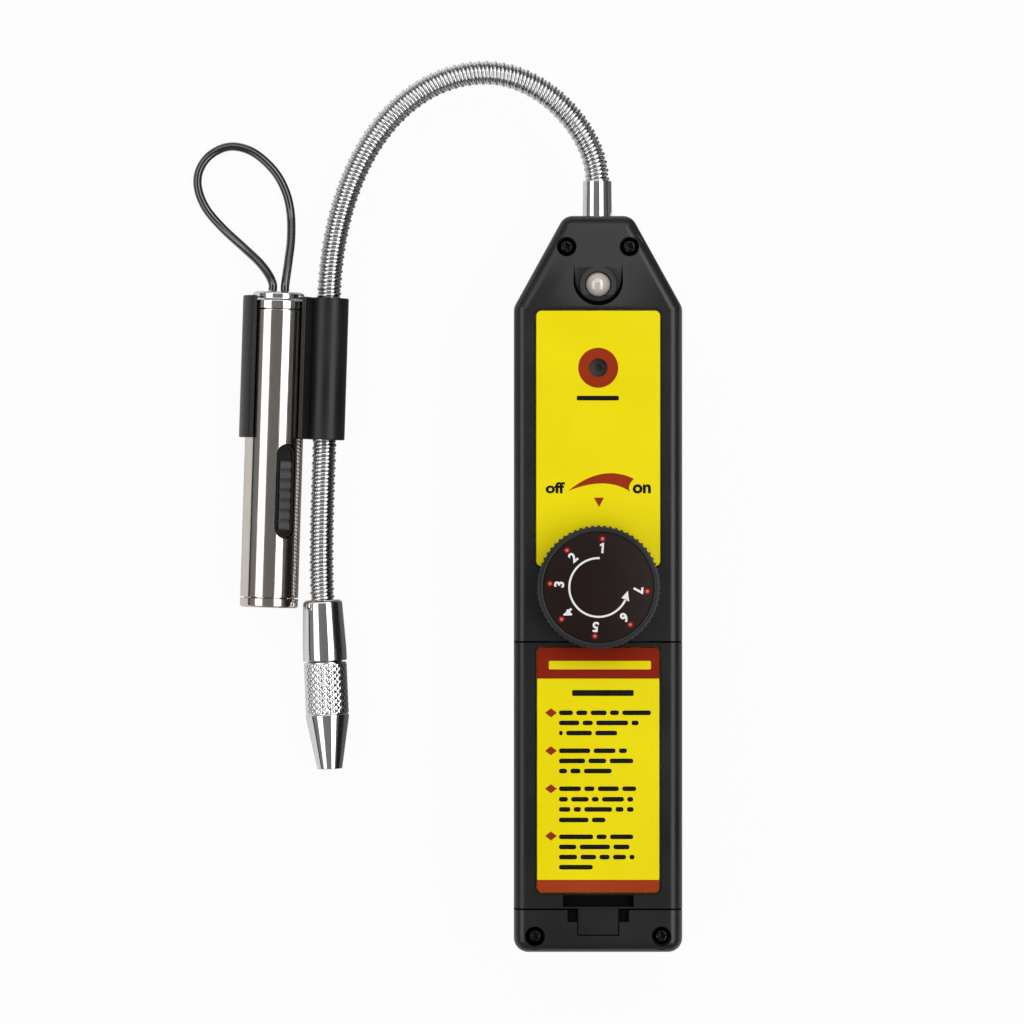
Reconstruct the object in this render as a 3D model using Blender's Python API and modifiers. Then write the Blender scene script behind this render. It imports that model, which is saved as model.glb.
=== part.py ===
"""Refrigerant leak detector with a gooseneck probe and a clip-on torch, lying on its back.

Metres, +Z up. The origin is the middle of the casing's flat back. The casing is long in Y,
with its neck at the +Y end, and its front face looks up. The probe and the torch lie to -X.
"""

import math

import bmesh
import bpy
from mathutils import Matrix, Vector
from mathutils.geometry import interpolate_bezier

# Fits
GAP = 0.0003
LABEL_GAP = 0.00015
SEAM = 0.0004
OVERCUT = 0.002
MERGE = 0.00001

# Casing
BODY_LENGTH = 0.1750
BODY_WIDTH = 0.0400
HEAD_LENGTH = 0.0219
HEAD_TOP_WIDTH = 0.0160
HEAD_DROP = 0.0047
EDGE_RADIUS = 0.0031
CORNER_RADIUS = 0.0003
SIDE_WALL = 0.0020
FRONT_WALL = 0.0022
BACK_WALL = 0.0020
RIB_WALL = 0.0015
ROOT_DEPTH = 0.0005

# Casing screws
SCREW_BOSS_RADIUS = 0.0034
SCREW_PILLAR_RADIUS = 0.0026
SCREW_HOLE_RADIUS = 0.00235
SCREW_HEAD_RADIUS = 0.0020
SCREW_HEAD_HEIGHT = 0.0014
SCREW_HEAD_TOP_RADIUS = 0.0014
SCREW_HEAD_ROUND = 0.0005
SCREW_SHANK_RADIUS = 0.0011
SCREW_SINK = 0.0013
SCREW_TIP_HEIGHT = 0.0050
TOP_SCREW_X = 0.00745
TOP_SCREW_FROM_END = 0.00745
BOTTOM_SCREW_X = 0.0150
BOTTOM_SCREW_FROM_END = 0.0039

# Front label
LABEL_WIDTH = 0.0297
LABEL_TOP_FROM_SHOULDER = 0.0007
LABEL_BOTTOM_ABOVE_DIAL = 0.0048
LABEL_CORNER = 0.0014
LABEL_SHEET = 0.00035
LABEL_MARGIN = 0.0003

# Sensitivity dial
DIAL_ABOVE_DOOR = 0.0132
DIAL_RADIUS = 0.0147
DIAL_TOOTH_DEPTH = 0.0004
DIAL_TEETH = 64
DIAL_CLEARANCE = 0.0015
DIAL_HEIGHT = 0.0065
DIAL_RIM_WALL = 0.0014
DIAL_TOP_WALL = 0.0022
DIAL_HUB_RADIUS = 0.0050
DIAL_HUB_LIFT = 0.0003
DIAL_PLATE_RADIUS = 0.0130
DIAL_PLATE_SHEET = 0.00045
POT_RADIUS = 0.0080
POT_HEIGHT = 0.0055
POT_BUSH_RADIUS = 0.0045
POT_SHAFT_RADIUS = 0.0030
POT_SHAFT_FOOT = 0.0030
POT_NUT_FLATS = 0.0120
POT_NUT_HEIGHT = 0.0009

# Indicator lamp and its pocket
LAMP_Y_FROM_END = 0.01655
LAMP_RADIUS = 0.0029
LAMP_FLANGE_RADIUS = 0.0034
LAMP_FLANGE_HEIGHT = 0.0010
LAMP_SHOULDER_SINK = 0.0020
LAMP_COLLAR_WALL = 0.0011
LAMP_COLLAR_HEIGHT = 0.0014
LAMP_POCKET_RADIUS = 0.0059
LAMP_POCKET_SHIFT = 0.0009
LAMP_POCKET_TOP_HALF_WIDTH = 0.0053
LAMP_POCKET_DEPTH = 0.00205
LAMP_BOSS_RADIUS = 0.0074
LAMP_BOSS_DEPTH = 0.0041
LAMP_DOME_STEPS = 4

# Buzzer
BUZZER_BELOW_SHOULDER = 0.0144
BUZZER_RADIUS = 0.0060
BUZZER_PORT_RADIUS = 0.0010
BUZZER_HOLE_RADIUS = 0.00226

# Circuit board; what it carries stands at places measured from the middle of the shoulder
BOARD_BELOW_FRONT = 0.0088
BOARD_SHEET = 0.0016
BOARD_SIDE_ROOM = 0.0030
BOARD_ABOVE_DOOR = 0.0035
BOARD_SHOULDER_FROM_END = 0.0275
BOARD_NECK_HALF_WIDTH = 0.0080
BOARD_NECK_FROM_END = 0.0185
BOARD_TOP_FROM_END = 0.0120
BOARD_POST_RADIUS = 0.0018
BOARD_POST_FROM_EDGE = 0.0025
BOARD_POST_ABOVE_DIAL = 0.0228
BOARD_POST_BELOW_SHOULDER = 0.0086
TRANSFORMER_SIZE = (0.0125, 0.0105, 0.0090)
TRANSFORMER_PLACE = (0.0040, -0.0136)
TRANSFORMER_FLANGE = 0.0030
TRANSFORMER_WINDOW = 0.0015
CHIP_SIZE = (0.0065, 0.0096, 0.0034)
CHIP_PLACE = (-0.0060, -0.0326)
CHIP_LEG = 0.0006
CHIP_LEG_COUNT = 4
CAPACITOR_RADIUS = 0.0032
CAPACITOR_HEIGHT = 0.0085
CAPACITOR_PLACES = ((0.0080, -0.0296), (0.0080, -0.0386))

# Battery bay
CELL_RADIUS = 0.00725
CELL_LENGTH = 0.0495
CELL_NUB_RADIUS = 0.00275
CELL_NUB_HEIGHT = 0.0010
CELL_SPACING = 0.0150
CELL_LAYER_STEP = 0.0148
CELL_HEADROOM = 0.0014
PLATE_SHEET = 0.0005
PLATE_HALF_HEIGHT = 0.0058
PLATE_HALF_WIDTH = 0.0060
SPRING_WIRE_RADIUS = 0.0004
SPRING_BASE_RADIUS = 0.0042
SPRING_TIP_RADIUS = 0.0024
SPRING_ROOM = 0.0083
SPRING_TURNS = 3
SPRING_POINTS_PER_TURN = 6
BAY_RIB_HEIGHT = 0.0120
BAY_RIB_INSET = 0.0145

# Battery door
DOOR_FROM_END = 0.0105
DOOR_SKIRT = 0.0060
DOOR_WALL = 0.0020
DOOR_LABEL_WIDTH = 0.0293
DOOR_LABEL_TOP = 0.0010
DOOR_LABEL_END = 0.0036
DOOR_SLOT_WIDTH = 0.0168
DOOR_SLOT_LENGTH = 0.0028
DOOR_SLOT_WALL = 0.0008
DOOR_TAB_WIDTH = 0.0040
DOOR_TAB_X = 0.0100
DOOR_TAB_REACH = 0.0019
DOOR_TAB_SHEET = 0.0012
DOOR_TAB_FOOT = 0.00285
DOOR_RIB_HALF_WIDTH = 0.0025
DOOR_RIB_INSET = 0.0218
LATCH_WIDTH = 0.0094
LATCH_LENGTH = 0.0062
LATCH_SHEET = 0.0020
LATCH_STEP = 0.0003
LATCH_NOTCH_WIDTH = 0.0140
LATCH_NOTCH_LENGTH = 0.0032
LATCH_NOTCH_DEPTH = 0.0016

# Gooseneck
NECK_RADIUS = 0.00295
NECK_GROOVE_RADIUS = 0.00255
NECK_BORE_RADIUS = 0.0016
NECK_PITCH = 0.00183
NECK_SIDES = 8
NECK_BORE_STEP = 0.0062
NECK_APEX_RISE = 0.0350
NECK_APEX_X = -0.0270
NECK_APEX_HEIGHT = 0.0142
NECK_RISE_PULL = 0.0115
NECK_APEX_PULL = 0.0145
NECK_FALL_PULL = 0.0200
NECK_LEG_PULL = 0.0335
NECK_SAMPLES = 60

# Neck ferrule and nut
FERRULE_RADIUS = 0.0035
FERRULE_MOUTH_RADIUS = 0.0034
FERRULE_TAIL_RADIUS = 0.0033
FERRULE_REACH = 0.0088
FERRULE_TAIL = 0.0046
NECK_SEAT_DEPTH = 0.0020
NECK_FIT = 0.00015
NECK_NUT_FLATS = 0.0090
NECK_NUT_HEIGHT = 0.0016

# Sensor lead
LEAD_RADIUS = 0.0008
LEAD_STEP = 0.0070
LEAD_BEND_SAMPLES = 7
LEAD_BOARD_Y_FROM_END = 0.0140

# Leg of the neck, with the torch holder on it
LEG_X = -0.0651
LEG_HEIGHT = 0.0076
LEG_TILT = math.radians(1.8)
HOLDER_Y = 0.0515
HOLDER_LENGTH = 0.0342
HOLDER_TURN = math.radians(-5.7)
CLIP_SPACING = 0.0122
CLIP_WALL = 0.0012
CLIP_OPENING = math.radians(90.0)
SLEEVE_WALL = 0.00155
CLIP_ARC_STEPS = 18
SLEEVE_ARC_STEPS = 12
LIP_ARC_STEPS = 3

# Where the neck is bent when its free end is turned aside
NECK_BEND_PLACE = (-0.0330, 0.1060, 0.0120)

# Probe
PROBE_X = -0.06615
PROBE_TOP_Y = -0.0042
PROBE_TILT = math.radians(-2.5)
BARREL_LENGTH = 0.0147
BARREL_TAPER = 0.0118
BARREL_TOP_RADIUS = 0.00475
BARREL_RADIUS = 0.0053
BARREL_CHAMFER = 0.0006
BARREL_SOCKET_DEPTH = 0.0060
BARREL_CAVITY_RADIUS = 0.0036
SPIGOT_RADIUS = 0.0041
SPIGOT_LENGTH = 0.0045
GUARD_KNURL_LENGTH = 0.0128
GUARD_CONE_LENGTH = 0.0130
GUARD_RADIUS = 0.0053
GUARD_KNURL_DEPTH = 0.0003
GUARD_KNURL_COLUMNS = 12
GUARD_KNURL_ROWS = 6
GUARD_MOUTH_RADIUS = 0.0030
GUARD_WALL = 0.0007
SENSOR_SOCKET_LENGTH = 0.0085
SENSOR_CAN_RADIUS = 0.0026
SENSOR_CAN_LENGTH = 0.0110
SENSOR_PIN_RADIUS = 0.0008
SENSOR_PIN_LENGTH = 0.0050

# Torch
TORCH_RADIUS = 0.0070
TORCH_TOP_Y = 0.0696
TORCH_WALL = 0.0007
TORCH_CAP_CROWN = 0.0021
TORCH_CAP_RING = 0.0020
TORCH_CAP_PLUG = 0.0108
TORCH_CAP_EDGE = 0.0008
TORCH_HEAD_RING = 0.0022
TORCH_HEAD_PLUG = 0.0040
TORCH_LENS_RADIUS = 0.0050
TORCH_LENS_SHEET = 0.0012
TORCH_LAMP_RADIUS = 0.0025
TORCH_LAMP_HEIGHT = 0.0060
TORCH_LAMP_REACH = 0.0020
TORCH_LAMP_DOME_STEPS = 3
TORCH_LAMP_HOLDER_LENGTH = 0.0052
TORCH_CELL_RADIUS = 0.00525
TORCH_CELL_LENGTH = 0.0445
TORCH_SLOT_TURN = math.radians(24.0)
TORCH_SLOT_WIDTH = 0.0052
TORCH_SLOT_LENGTH = 0.0228
TORCH_SLOT_SHORT_OF_CELL = 0.0004
TORCH_BEZEL_WALL = 0.0006
TORCH_SLIDER_WIDTH = 0.0029
TORCH_SLIDER_LENGTH = 0.0168
TORCH_SLIDER_OFFSET = 0.0022
TORCH_SLIDER_NOTCHES = 6
TORCH_SLIDER_NOTCH_DEPTH = 0.0005

# Hand loop of the torch, a soft cord
LOOP_RADIUS = 0.00105
LOOP_LEG_SPACING = 0.0030
LOOP_STRAIGHT = 0.0016
LOOP_POINTS = 24
LOOP_FLOOR = 0.00135

# The hand loop's way: sideways and upwards from the tail cap's middle, and its height
LOOP_ROUTE = (
    (-0.0025, 0.0040, 0.0076),
    (-0.0048, 0.0070, 0.0058),
    (-0.0087, 0.0107, 0.0034),
    (-0.0137, 0.0153, 0.0016),
    (-0.0178, 0.0201, LOOP_FLOOR),
    (-0.0198, 0.0250, LOOP_FLOOR),
    (-0.0195, 0.0294, LOOP_FLOOR),
    (-0.0168, 0.0332, LOOP_FLOOR),
    (-0.0120, 0.0352, LOOP_FLOOR),
    (-0.0066, 0.0339, LOOP_FLOOR),
    (-0.0016, 0.0296, LOOP_FLOOR),
    (0.0013, 0.0246, LOOP_FLOOR),
    (0.0026, 0.0192, 0.0016),
    (0.0028, 0.0130, 0.0038),
    (0.0023, 0.0076, 0.0064),
)

# Faces round each turned or bored form
FINE_SIDES = 24
PLAIN_SIDES = 16
ROUND_SIDES = 12
SMALL_SIDES = 10
SLOT_END_STEPS = 6
ROUTE_SAMPLES = 12
SMOOTH_ANGLE = math.radians(40.0)

# Heights worked out from two layers of cells between the back wall and the battery door
LOW_CELL_HEIGHT = BACK_WALL + GAP + CELL_RADIUS
CELL_TOP = LOW_CELL_HEIGHT + CELL_LAYER_STEP + CELL_RADIUS
BODY_DEPTH = CELL_TOP + CELL_HEADROOM + DOOR_WALL
PARTING_HEIGHT = BODY_DEPTH / 2
REAR_TOP = PARTING_HEIGHT - GAP / 2
FRONT_BOTTOM = PARTING_HEIGHT + GAP / 2
FRONT_INSIDE = BODY_DEPTH - FRONT_WALL
BOARD_HEIGHT = FRONT_INSIDE - BOARD_BELOW_FRONT
BOARD_TOP = BOARD_HEIGHT + BOARD_SHEET
DIAL_BOTTOM = BODY_DEPTH + DIAL_CLEARANCE
LAMP_SHOULDER_HEIGHT = BODY_DEPTH - LAMP_SHOULDER_SINK
LAMP_POCKET_FLOOR = BODY_DEPTH - LAMP_POCKET_DEPTH
LAMP_BOSS_BOTTOM = BODY_DEPTH - LAMP_BOSS_DEPTH
DOOR_EDGE_HEIGHT = BODY_DEPTH - DOOR_SKIRT
BAY_WALL_TOP = DOOR_EDGE_HEIGHT - GAP
DOOR_SLOT_FLOOR = CELL_TOP + GAP + DOOR_SLOT_WALL

# Places along the casing, from its two ends and the length of a cell with its contacts
BODY_TOP = BODY_LENGTH / 2
BODY_BOTTOM = -BODY_LENGTH / 2
SHOULDER_Y = BODY_TOP - HEAD_LENGTH
LAMP_Y = BODY_TOP - LAMP_Y_FROM_END
BUZZER_Y = SHOULDER_Y - BUZZER_BELOW_SHOULDER
CONTACT_LENGTH = RIB_WALL + GAP + PLATE_SHEET + GAP
DOOR_LENGTH = CELL_LENGTH + SPRING_ROOM + 2 * CONTACT_LENGTH
DOOR_BOTTOM_Y = BODY_BOTTOM + DOOR_FROM_END
DOOR_TOP_Y = DOOR_BOTTOM_Y + DOOR_LENGTH
DIAL_Y = DOOR_TOP_Y + DIAL_ABOVE_DOOR
BAY_TOP_Y = DOOR_TOP_Y - RIB_WALL
BAY_BOTTOM_Y = DOOR_BOTTOM_Y + RIB_WALL
INNER_HALF_WIDTH = BODY_WIDTH / 2 - SIDE_WALL
BOARD_HALF_WIDTH = INNER_HALF_WIDTH - BOARD_SIDE_ROOM
BOARD_POST_X = BOARD_HALF_WIDTH - BOARD_POST_FROM_EDGE

# Places along the torch, from its tail cap to its head ring
TORCH_CELL_TOP = TORCH_CAP_CROWN + TORCH_CAP_RING + TORCH_CAP_PLUG + GAP
TORCH_CELL_END = TORCH_CELL_TOP + TORCH_CELL_LENGTH
TORCH_LAMP_TOP = TORCH_CELL_END + GAP + TORCH_LAMP_HOLDER_LENGTH + GAP
TORCH_LAMP_END = TORCH_LAMP_TOP + TORCH_LAMP_HEIGHT
TORCH_TUBE_END = TORCH_LAMP_END - TORCH_LAMP_REACH + TORCH_HEAD_PLUG
TORCH_LENGTH = TORCH_TUBE_END + GAP + TORCH_HEAD_RING
TORCH_SLOT_END = TORCH_CELL_END - TORCH_SLOT_SHORT_OF_CELL

# The neck's start, and how its leg and the probe run down
NECK_ORIGIN = Vector((0.0, BODY_TOP, PARTING_HEIGHT))
LEG_DOWN = Vector((-math.sin(LEG_TILT), -math.cos(LEG_TILT), 0.0))
PROBE_DOWN = Vector((-math.sin(PROBE_TILT), -math.cos(PROBE_TILT), 0.0))


def clear_scene():
    for obj in list(bpy.data.objects):
        bpy.data.objects.remove(obj, do_unlink=True)


def new_collection(name):
    collection = bpy.data.collections.new(name)
    bpy.context.scene.collection.children.link(collection)
    return collection


def new_material(name, colour, roughness, metallic=0.0):
    material = bpy.data.materials.new(name)
    material.use_nodes = True
    shader = material.node_tree.nodes["Principled BSDF"]
    shader.inputs["Base Color"].default_value = (*colour, 1.0)
    shader.inputs["Roughness"].default_value = roughness
    shader.inputs["Metallic"].default_value = metallic
    return material


clear_scene()
PARTS = new_collection("refrigerant_leak_detector")
CUTTERS = new_collection("cutters")

CASING_PLASTIC = new_material("charcoal casing plastic", (0.030, 0.030, 0.031), 0.42)
DOOR_PLASTIC = new_material("charcoal door plastic", (0.026, 0.026, 0.027), 0.42)
DIAL_PLASTIC = new_material("black dial plastic", (0.020, 0.019, 0.020), 0.38)
DIAL_FACE = new_material("printed dial face", (0.013, 0.009, 0.008), 0.35)
LABEL_YELLOW = new_material("yellow label film", (0.900, 0.750, 0.004), 0.38)
LAMP_PLASTIC = new_material("milky lamp plastic", (0.750, 0.680, 0.600), 0.25)
BOARD_GREEN = new_material("green board laminate", (0.015, 0.120, 0.035), 0.45)
PART_BLACK = new_material("black component plastic", (0.015, 0.015, 0.015), 0.45)
PART_BLUE = new_material("blue component sleeve", (0.020, 0.060, 0.250), 0.40)
CORE_BROWN = new_material("varnished transformer", (0.220, 0.120, 0.040), 0.50)
BRIGHT_NICKEL = new_material("bright nickel plate", (0.720, 0.720, 0.730), 0.16, 1.0)
CHROME_PLATE = new_material("chrome plate", (0.780, 0.780, 0.790), 0.08, 1.0)
SPRING_STEEL = new_material("neck spring steel", (0.560, 0.560, 0.570), 0.20, 1.0)
TORCH_STEEL = new_material("brushed torch steel", (0.600, 0.580, 0.550), 0.28, 1.0)
SCREW_STEEL = new_material("black screw steel", (0.040, 0.040, 0.042), 0.40, 1.0)
CELL_SLEEVE = new_material("cell sleeve", (0.045, 0.100, 0.060), 0.40)
HOLDER_RUBBER = new_material("black holder rubber", (0.018, 0.018, 0.018), 0.55)
CORD_BLACK = new_material("glossy loop cord", (0.030, 0.030, 0.030), 0.25)
LEAD_GREY = new_material("sensor lead sleeve", (0.150, 0.150, 0.155), 0.50)
LENS_CLEAR = new_material("clear lens plastic", (0.800, 0.850, 0.880), 0.05)
SENSOR_CERAMIC = new_material("sensor ceramic", (0.700, 0.660, 0.580), 0.50)


def finish(obj, material, smooth_angle=None):
    """Gives a finished mesh its material, and its shading where it is round."""
    obj.data.materials.clear()
    obj.data.materials.append(material)
    if smooth_angle is not None:
        obj.data.shade_smooth()
        obj.data.set_sharp_from_angle(angle=smooth_angle)
    return obj


def place(obj, parent, material=None):
    """Links an object as a part, or as a cutter where it has no material, on its parent."""
    if material is None:
        CUTTERS.objects.link(obj)
        obj.hide_render = True
        obj.display_type = "WIRE"
    else:
        PARTS.objects.link(obj)
        finish(obj, material, SMOOTH_ANGLE if obj.type == "MESH" else None)
    if parent is not None:
        obj.parent = parent
    return obj


def hang(obj, parent):
    """Puts an object that already stands in its place on the parent that it moves with."""
    bpy.context.view_layer.update()
    obj.parent = parent
    obj.matrix_parent_inverse = parent.matrix_world.inverted()


def empty_at(name, x, y, z=0.0):
    """An empty that stands upright on a piece's axis."""
    empty = bpy.data.objects.new(name, None)
    CUTTERS.objects.link(empty)
    empty.location = (x, y, z)
    return empty


def frame_empty(name, origin, down, front=Vector((0.0, 0.0, 1.0)), turn=0.0):
    """An empty whose Z runs along a piece and whose Y looks to the front, turned about Z."""
    axis_z = down.normalized()
    axis_y = (front - front.dot(axis_z) * axis_z).normalized()
    axis_x = axis_y.cross(axis_z)
    rotation = Matrix((axis_x, axis_y, axis_z)).transposed().to_4x4()
    empty = bpy.data.objects.new(name, None)
    CUTTERS.objects.link(empty)
    empty.matrix_world = Matrix.Translation(origin) @ rotation @ Matrix.Rotation(turn, 4, "Z")
    return empty


def mesh_from(name, bm):
    mesh = bpy.data.meshes.new(name)
    bm.to_mesh(mesh)
    bm.free()
    return mesh


def box(name, low, high, parent=None, material=None):
    """A block between two corners."""
    bm = bmesh.new()
    bmesh.ops.create_cube(bm, size=1.0)
    size = [b - a for a, b in zip(low, high)]
    middle = [(a + b) / 2 for a, b in zip(low, high)]
    bmesh.ops.scale(bm, vec=size, verts=bm.verts)
    bmesh.ops.translate(bm, vec=middle, verts=bm.verts)
    return place(bpy.data.objects.new(name, mesh_from(name, bm)), parent, material)


def rod(name, radius, low, high, x=0.0, y=0.0, sides=PLAIN_SIDES, parent=None, material=None):
    """An upright cylinder between two heights."""
    bm = bmesh.new()
    bmesh.ops.create_cone(
        bm, cap_ends=True, segments=sides, radius1=radius, radius2=radius, depth=high - low
    )
    bmesh.ops.translate(bm, vec=(x, y, (low + high) / 2), verts=bm.verts)
    return place(bpy.data.objects.new(name, mesh_from(name, bm)), parent, material)


def turned(name, outline, sides, parent=None, material=None):
    """A turned piece from the closed outline (radius, height) of half its section."""
    area = 0.0
    for (r0, z0), (r1, z1) in zip(outline, outline[1:] + outline[:1]):
        area += r0 * z1 - r1 * z0
    points = outline if area < 0 else outline[::-1]
    mesh = bpy.data.meshes.new(name)
    edges = []
    for index in range(len(points)):
        after = (index + 1) % len(points)
        if points[index][0] > 0 or points[after][0] > 0:
            edges.append((index, after))
    mesh.from_pydata([(r, 0.0, z) for r, z in points], edges, [])
    obj = place(bpy.data.objects.new(name, mesh), parent, material)
    screw = obj.modifiers.new("turn", "SCREW")
    screw.axis = "Z"
    screw.angle = math.tau
    screw.steps = sides
    screw.render_steps = sides
    screw.use_merge_vertices = True
    screw.merge_threshold = MERGE
    screw.use_smooth_shade = False
    return obj


def curve_mesh(name, curve):
    """The mesh of a curve, its caps welded."""
    holder = bpy.data.objects.new(name + " curve", curve)
    CUTTERS.objects.link(holder)
    graph = bpy.context.evaluated_depsgraph_get()
    mesh = bpy.data.meshes.new_from_object(holder.evaluated_get(graph))
    mesh.name = name
    bm = bmesh.new()
    bm.from_mesh(mesh)
    bmesh.ops.remove_doubles(bm, verts=bm.verts, dist=MERGE)
    bm.to_mesh(mesh)
    bm.free()
    bpy.data.objects.remove(holder, do_unlink=True)
    return mesh


def flat(name, outlines, low, high, parent=None, material=None, edge=0.0, edge_steps=2):
    """A flat shape with one or more outlines between two heights, its edges rounded by edge."""
    curve = bpy.data.curves.new(name, "CURVE")
    curve.dimensions = "2D"
    curve.fill_mode = "BOTH"
    curve.extrude = (high - low) / 2 - edge
    curve.bevel_depth = edge
    curve.bevel_resolution = edge_steps
    for outline in outlines:
        spline = curve.splines.new("POLY")
        spline.points.add(len(outline) - 1)
        for point, (x, y) in zip(spline.points, outline):
            point.co = (x, y, 0.0, 1.0)
        spline.use_cyclic_u = True
    mesh = curve_mesh(name, curve)
    mesh.transform(Matrix.Translation((0.0, 0.0, (low + high) / 2)))
    return place(bpy.data.objects.new(name, mesh), parent, material)


def tube(name, points, radius, resolution, parent=None, material=None):
    """A round wire or cord along a list of points."""
    curve = bpy.data.curves.new(name, "CURVE")
    curve.dimensions = "3D"
    curve.bevel_depth = radius
    curve.bevel_resolution = resolution
    curve.use_fill_caps = True
    spline = curve.splines.new("POLY")
    spline.points.add(len(points) - 1)
    for point, place_of in zip(spline.points, points):
        point.co = (*place_of, 1.0)
    return place(bpy.data.objects.new(name, curve), parent, material)


def cut(target, *cutters):
    for cutter in cutters:
        modifier = target.modifiers.new("cut " + cutter.name, "BOOLEAN")
        modifier.operation = "DIFFERENCE"
        modifier.object = cutter


def add(target, *pieces):
    for piece in pieces:
        modifier = target.modifiers.new("add " + piece.name, "BOOLEAN")
        modifier.operation = "UNION"
        modifier.object = piece


def keep_inside(target, piece):
    modifier = target.modifiers.new("keep inside " + piece.name, "BOOLEAN")
    modifier.operation = "INTERSECT"
    modifier.object = piece


def rounded(corners, radius, steps=3):
    """A convex outline with each of its corners turned into an arc."""
    points = []
    count = len(corners)
    for index in range(count):
        here = Vector(corners[index])
        back = (Vector(corners[index - 1]) - here).normalized()
        ahead = (Vector(corners[(index + 1) % count]) - here).normalized()
        half = back.angle(ahead) / 2
        centre = here + (back + ahead).normalized() * (radius / math.sin(half))
        start = here + back * (radius / math.tan(half)) - centre
        sweep = math.pi - 2 * half
        side = 1.0 if back.cross(ahead) < 0 else -1.0
        for step in range(steps + 1):
            spoke = start.copy()
            spoke.rotate(Matrix.Rotation(side * sweep * step / steps, 2))
            points.append(tuple(centre + spoke))
    return points


def inset(corners, distance):
    """A convex outline, listed anticlockwise, moved inwards by a distance."""
    count = len(corners)
    moved = []
    for index in range(count):
        here = Vector(corners[index])
        back = (here - Vector(corners[index - 1])).normalized()
        ahead = (Vector(corners[(index + 1) % count]) - here).normalized()
        normal_back = Vector((-back.y, back.x))
        normal_ahead = Vector((-ahead.y, ahead.x))
        mitre = (normal_back + normal_ahead).normalized()
        moved.append(tuple(here + mitre * (distance / mitre.dot(normal_back))))
    return moved


def rectangle(x_low, y_low, x_high, y_high):
    return [(x_low, y_low), (x_high, y_low), (x_high, y_high), (x_low, y_high)]


def circle(radius, sides, x=0.0, y=0.0):
    angles = [math.tau * index / sides for index in range(sides)]
    return [(x + radius * math.cos(angle), y + radius * math.sin(angle)) for angle in angles]


def hexagon(flats):
    return circle(flats / math.sqrt(3.0), 6)


def front_height(y):
    """The height of the casing's front face, which falls away over the head."""
    return BODY_DEPTH - HEAD_DROP * max(0.0, y - SHOULDER_Y) / HEAD_LENGTH


def casing_block(name, wall, low, high, edge, material=None):
    """The casing's whole outside, or its inside at a wall's depth, with rounded long edges."""
    half = BODY_WIDTH / 2
    corners = [
        (-half, BODY_BOTTOM),
        (half, BODY_BOTTOM),
        (half, SHOULDER_Y),
        (HEAD_TOP_WIDTH / 2, BODY_TOP),
        (-HEAD_TOP_WIDTH / 2, BODY_TOP),
        (-half, SHOULDER_Y),
    ]
    outline = rounded(inset(corners, wall + edge), CORNER_RADIUS)
    obj = flat(name, [outline], low, high, None, material, edge)
    bm = bmesh.new()
    bm.from_mesh(obj.data)
    bmesh.ops.bisect_plane(
        bm,
        geom=bm.verts[:] + bm.edges[:] + bm.faces[:],
        plane_co=(0.0, SHOULDER_Y, 0.0),
        plane_no=(0.0, 1.0, 0.0),
    )
    for vertex in bm.verts:
        if vertex.co.z > PARTING_HEIGHT:
            share = (vertex.co.z - PARTING_HEIGHT) / (BODY_DEPTH - PARTING_HEIGHT)
            vertex.co.z -= share * (BODY_DEPTH - front_height(vertex.co.y))
    bm.to_mesh(obj.data)
    bm.free()
    return obj


def screw_places():
    top_y = BODY_TOP - TOP_SCREW_FROM_END
    bottom_y = BODY_BOTTOM + BOTTOM_SCREW_FROM_END
    return [
        (-TOP_SCREW_X, top_y),
        (TOP_SCREW_X, top_y),
        (-BOTTOM_SCREW_X, bottom_y),
        (BOTTOM_SCREW_X, bottom_y),
    ]


def screw_seat(y):
    """The height of the face that a screw's head sits over."""
    return front_height(y) - SCREW_SINK - SCREW_HEAD_HEIGHT - GAP


def bay_walls(prefix, low, high):
    """The two cross walls that close the ends of the battery bay."""
    half = INNER_HALF_WIDTH + ROOT_DEPTH
    return [
        box(prefix + " upper bay wall", (-half, BAY_TOP_Y, low), (half, DOOR_TOP_Y, high)),
        box(prefix + " lower bay wall", (-half, DOOR_BOTTOM_Y, low), (half, BAY_BOTTOM_Y, high)),
    ]


def casing_cavity(name):
    return casing_block(name, SIDE_WALL, BACK_WALL, FRONT_INSIDE, EDGE_RADIUS - SIDE_WALL)


def neck_hole(name):
    """The hole for the ferrule, half in each half of the casing."""
    frame = frame_empty(name + " axis", NECK_ORIGIN, Vector((0.0, 1.0, 0.0)))
    radius = FERRULE_RADIUS + GAP
    depth = SIDE_WALL + OVERCUT
    return rod(name, radius, -depth, OVERCUT, sides=ROUND_SIDES, parent=frame)


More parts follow.
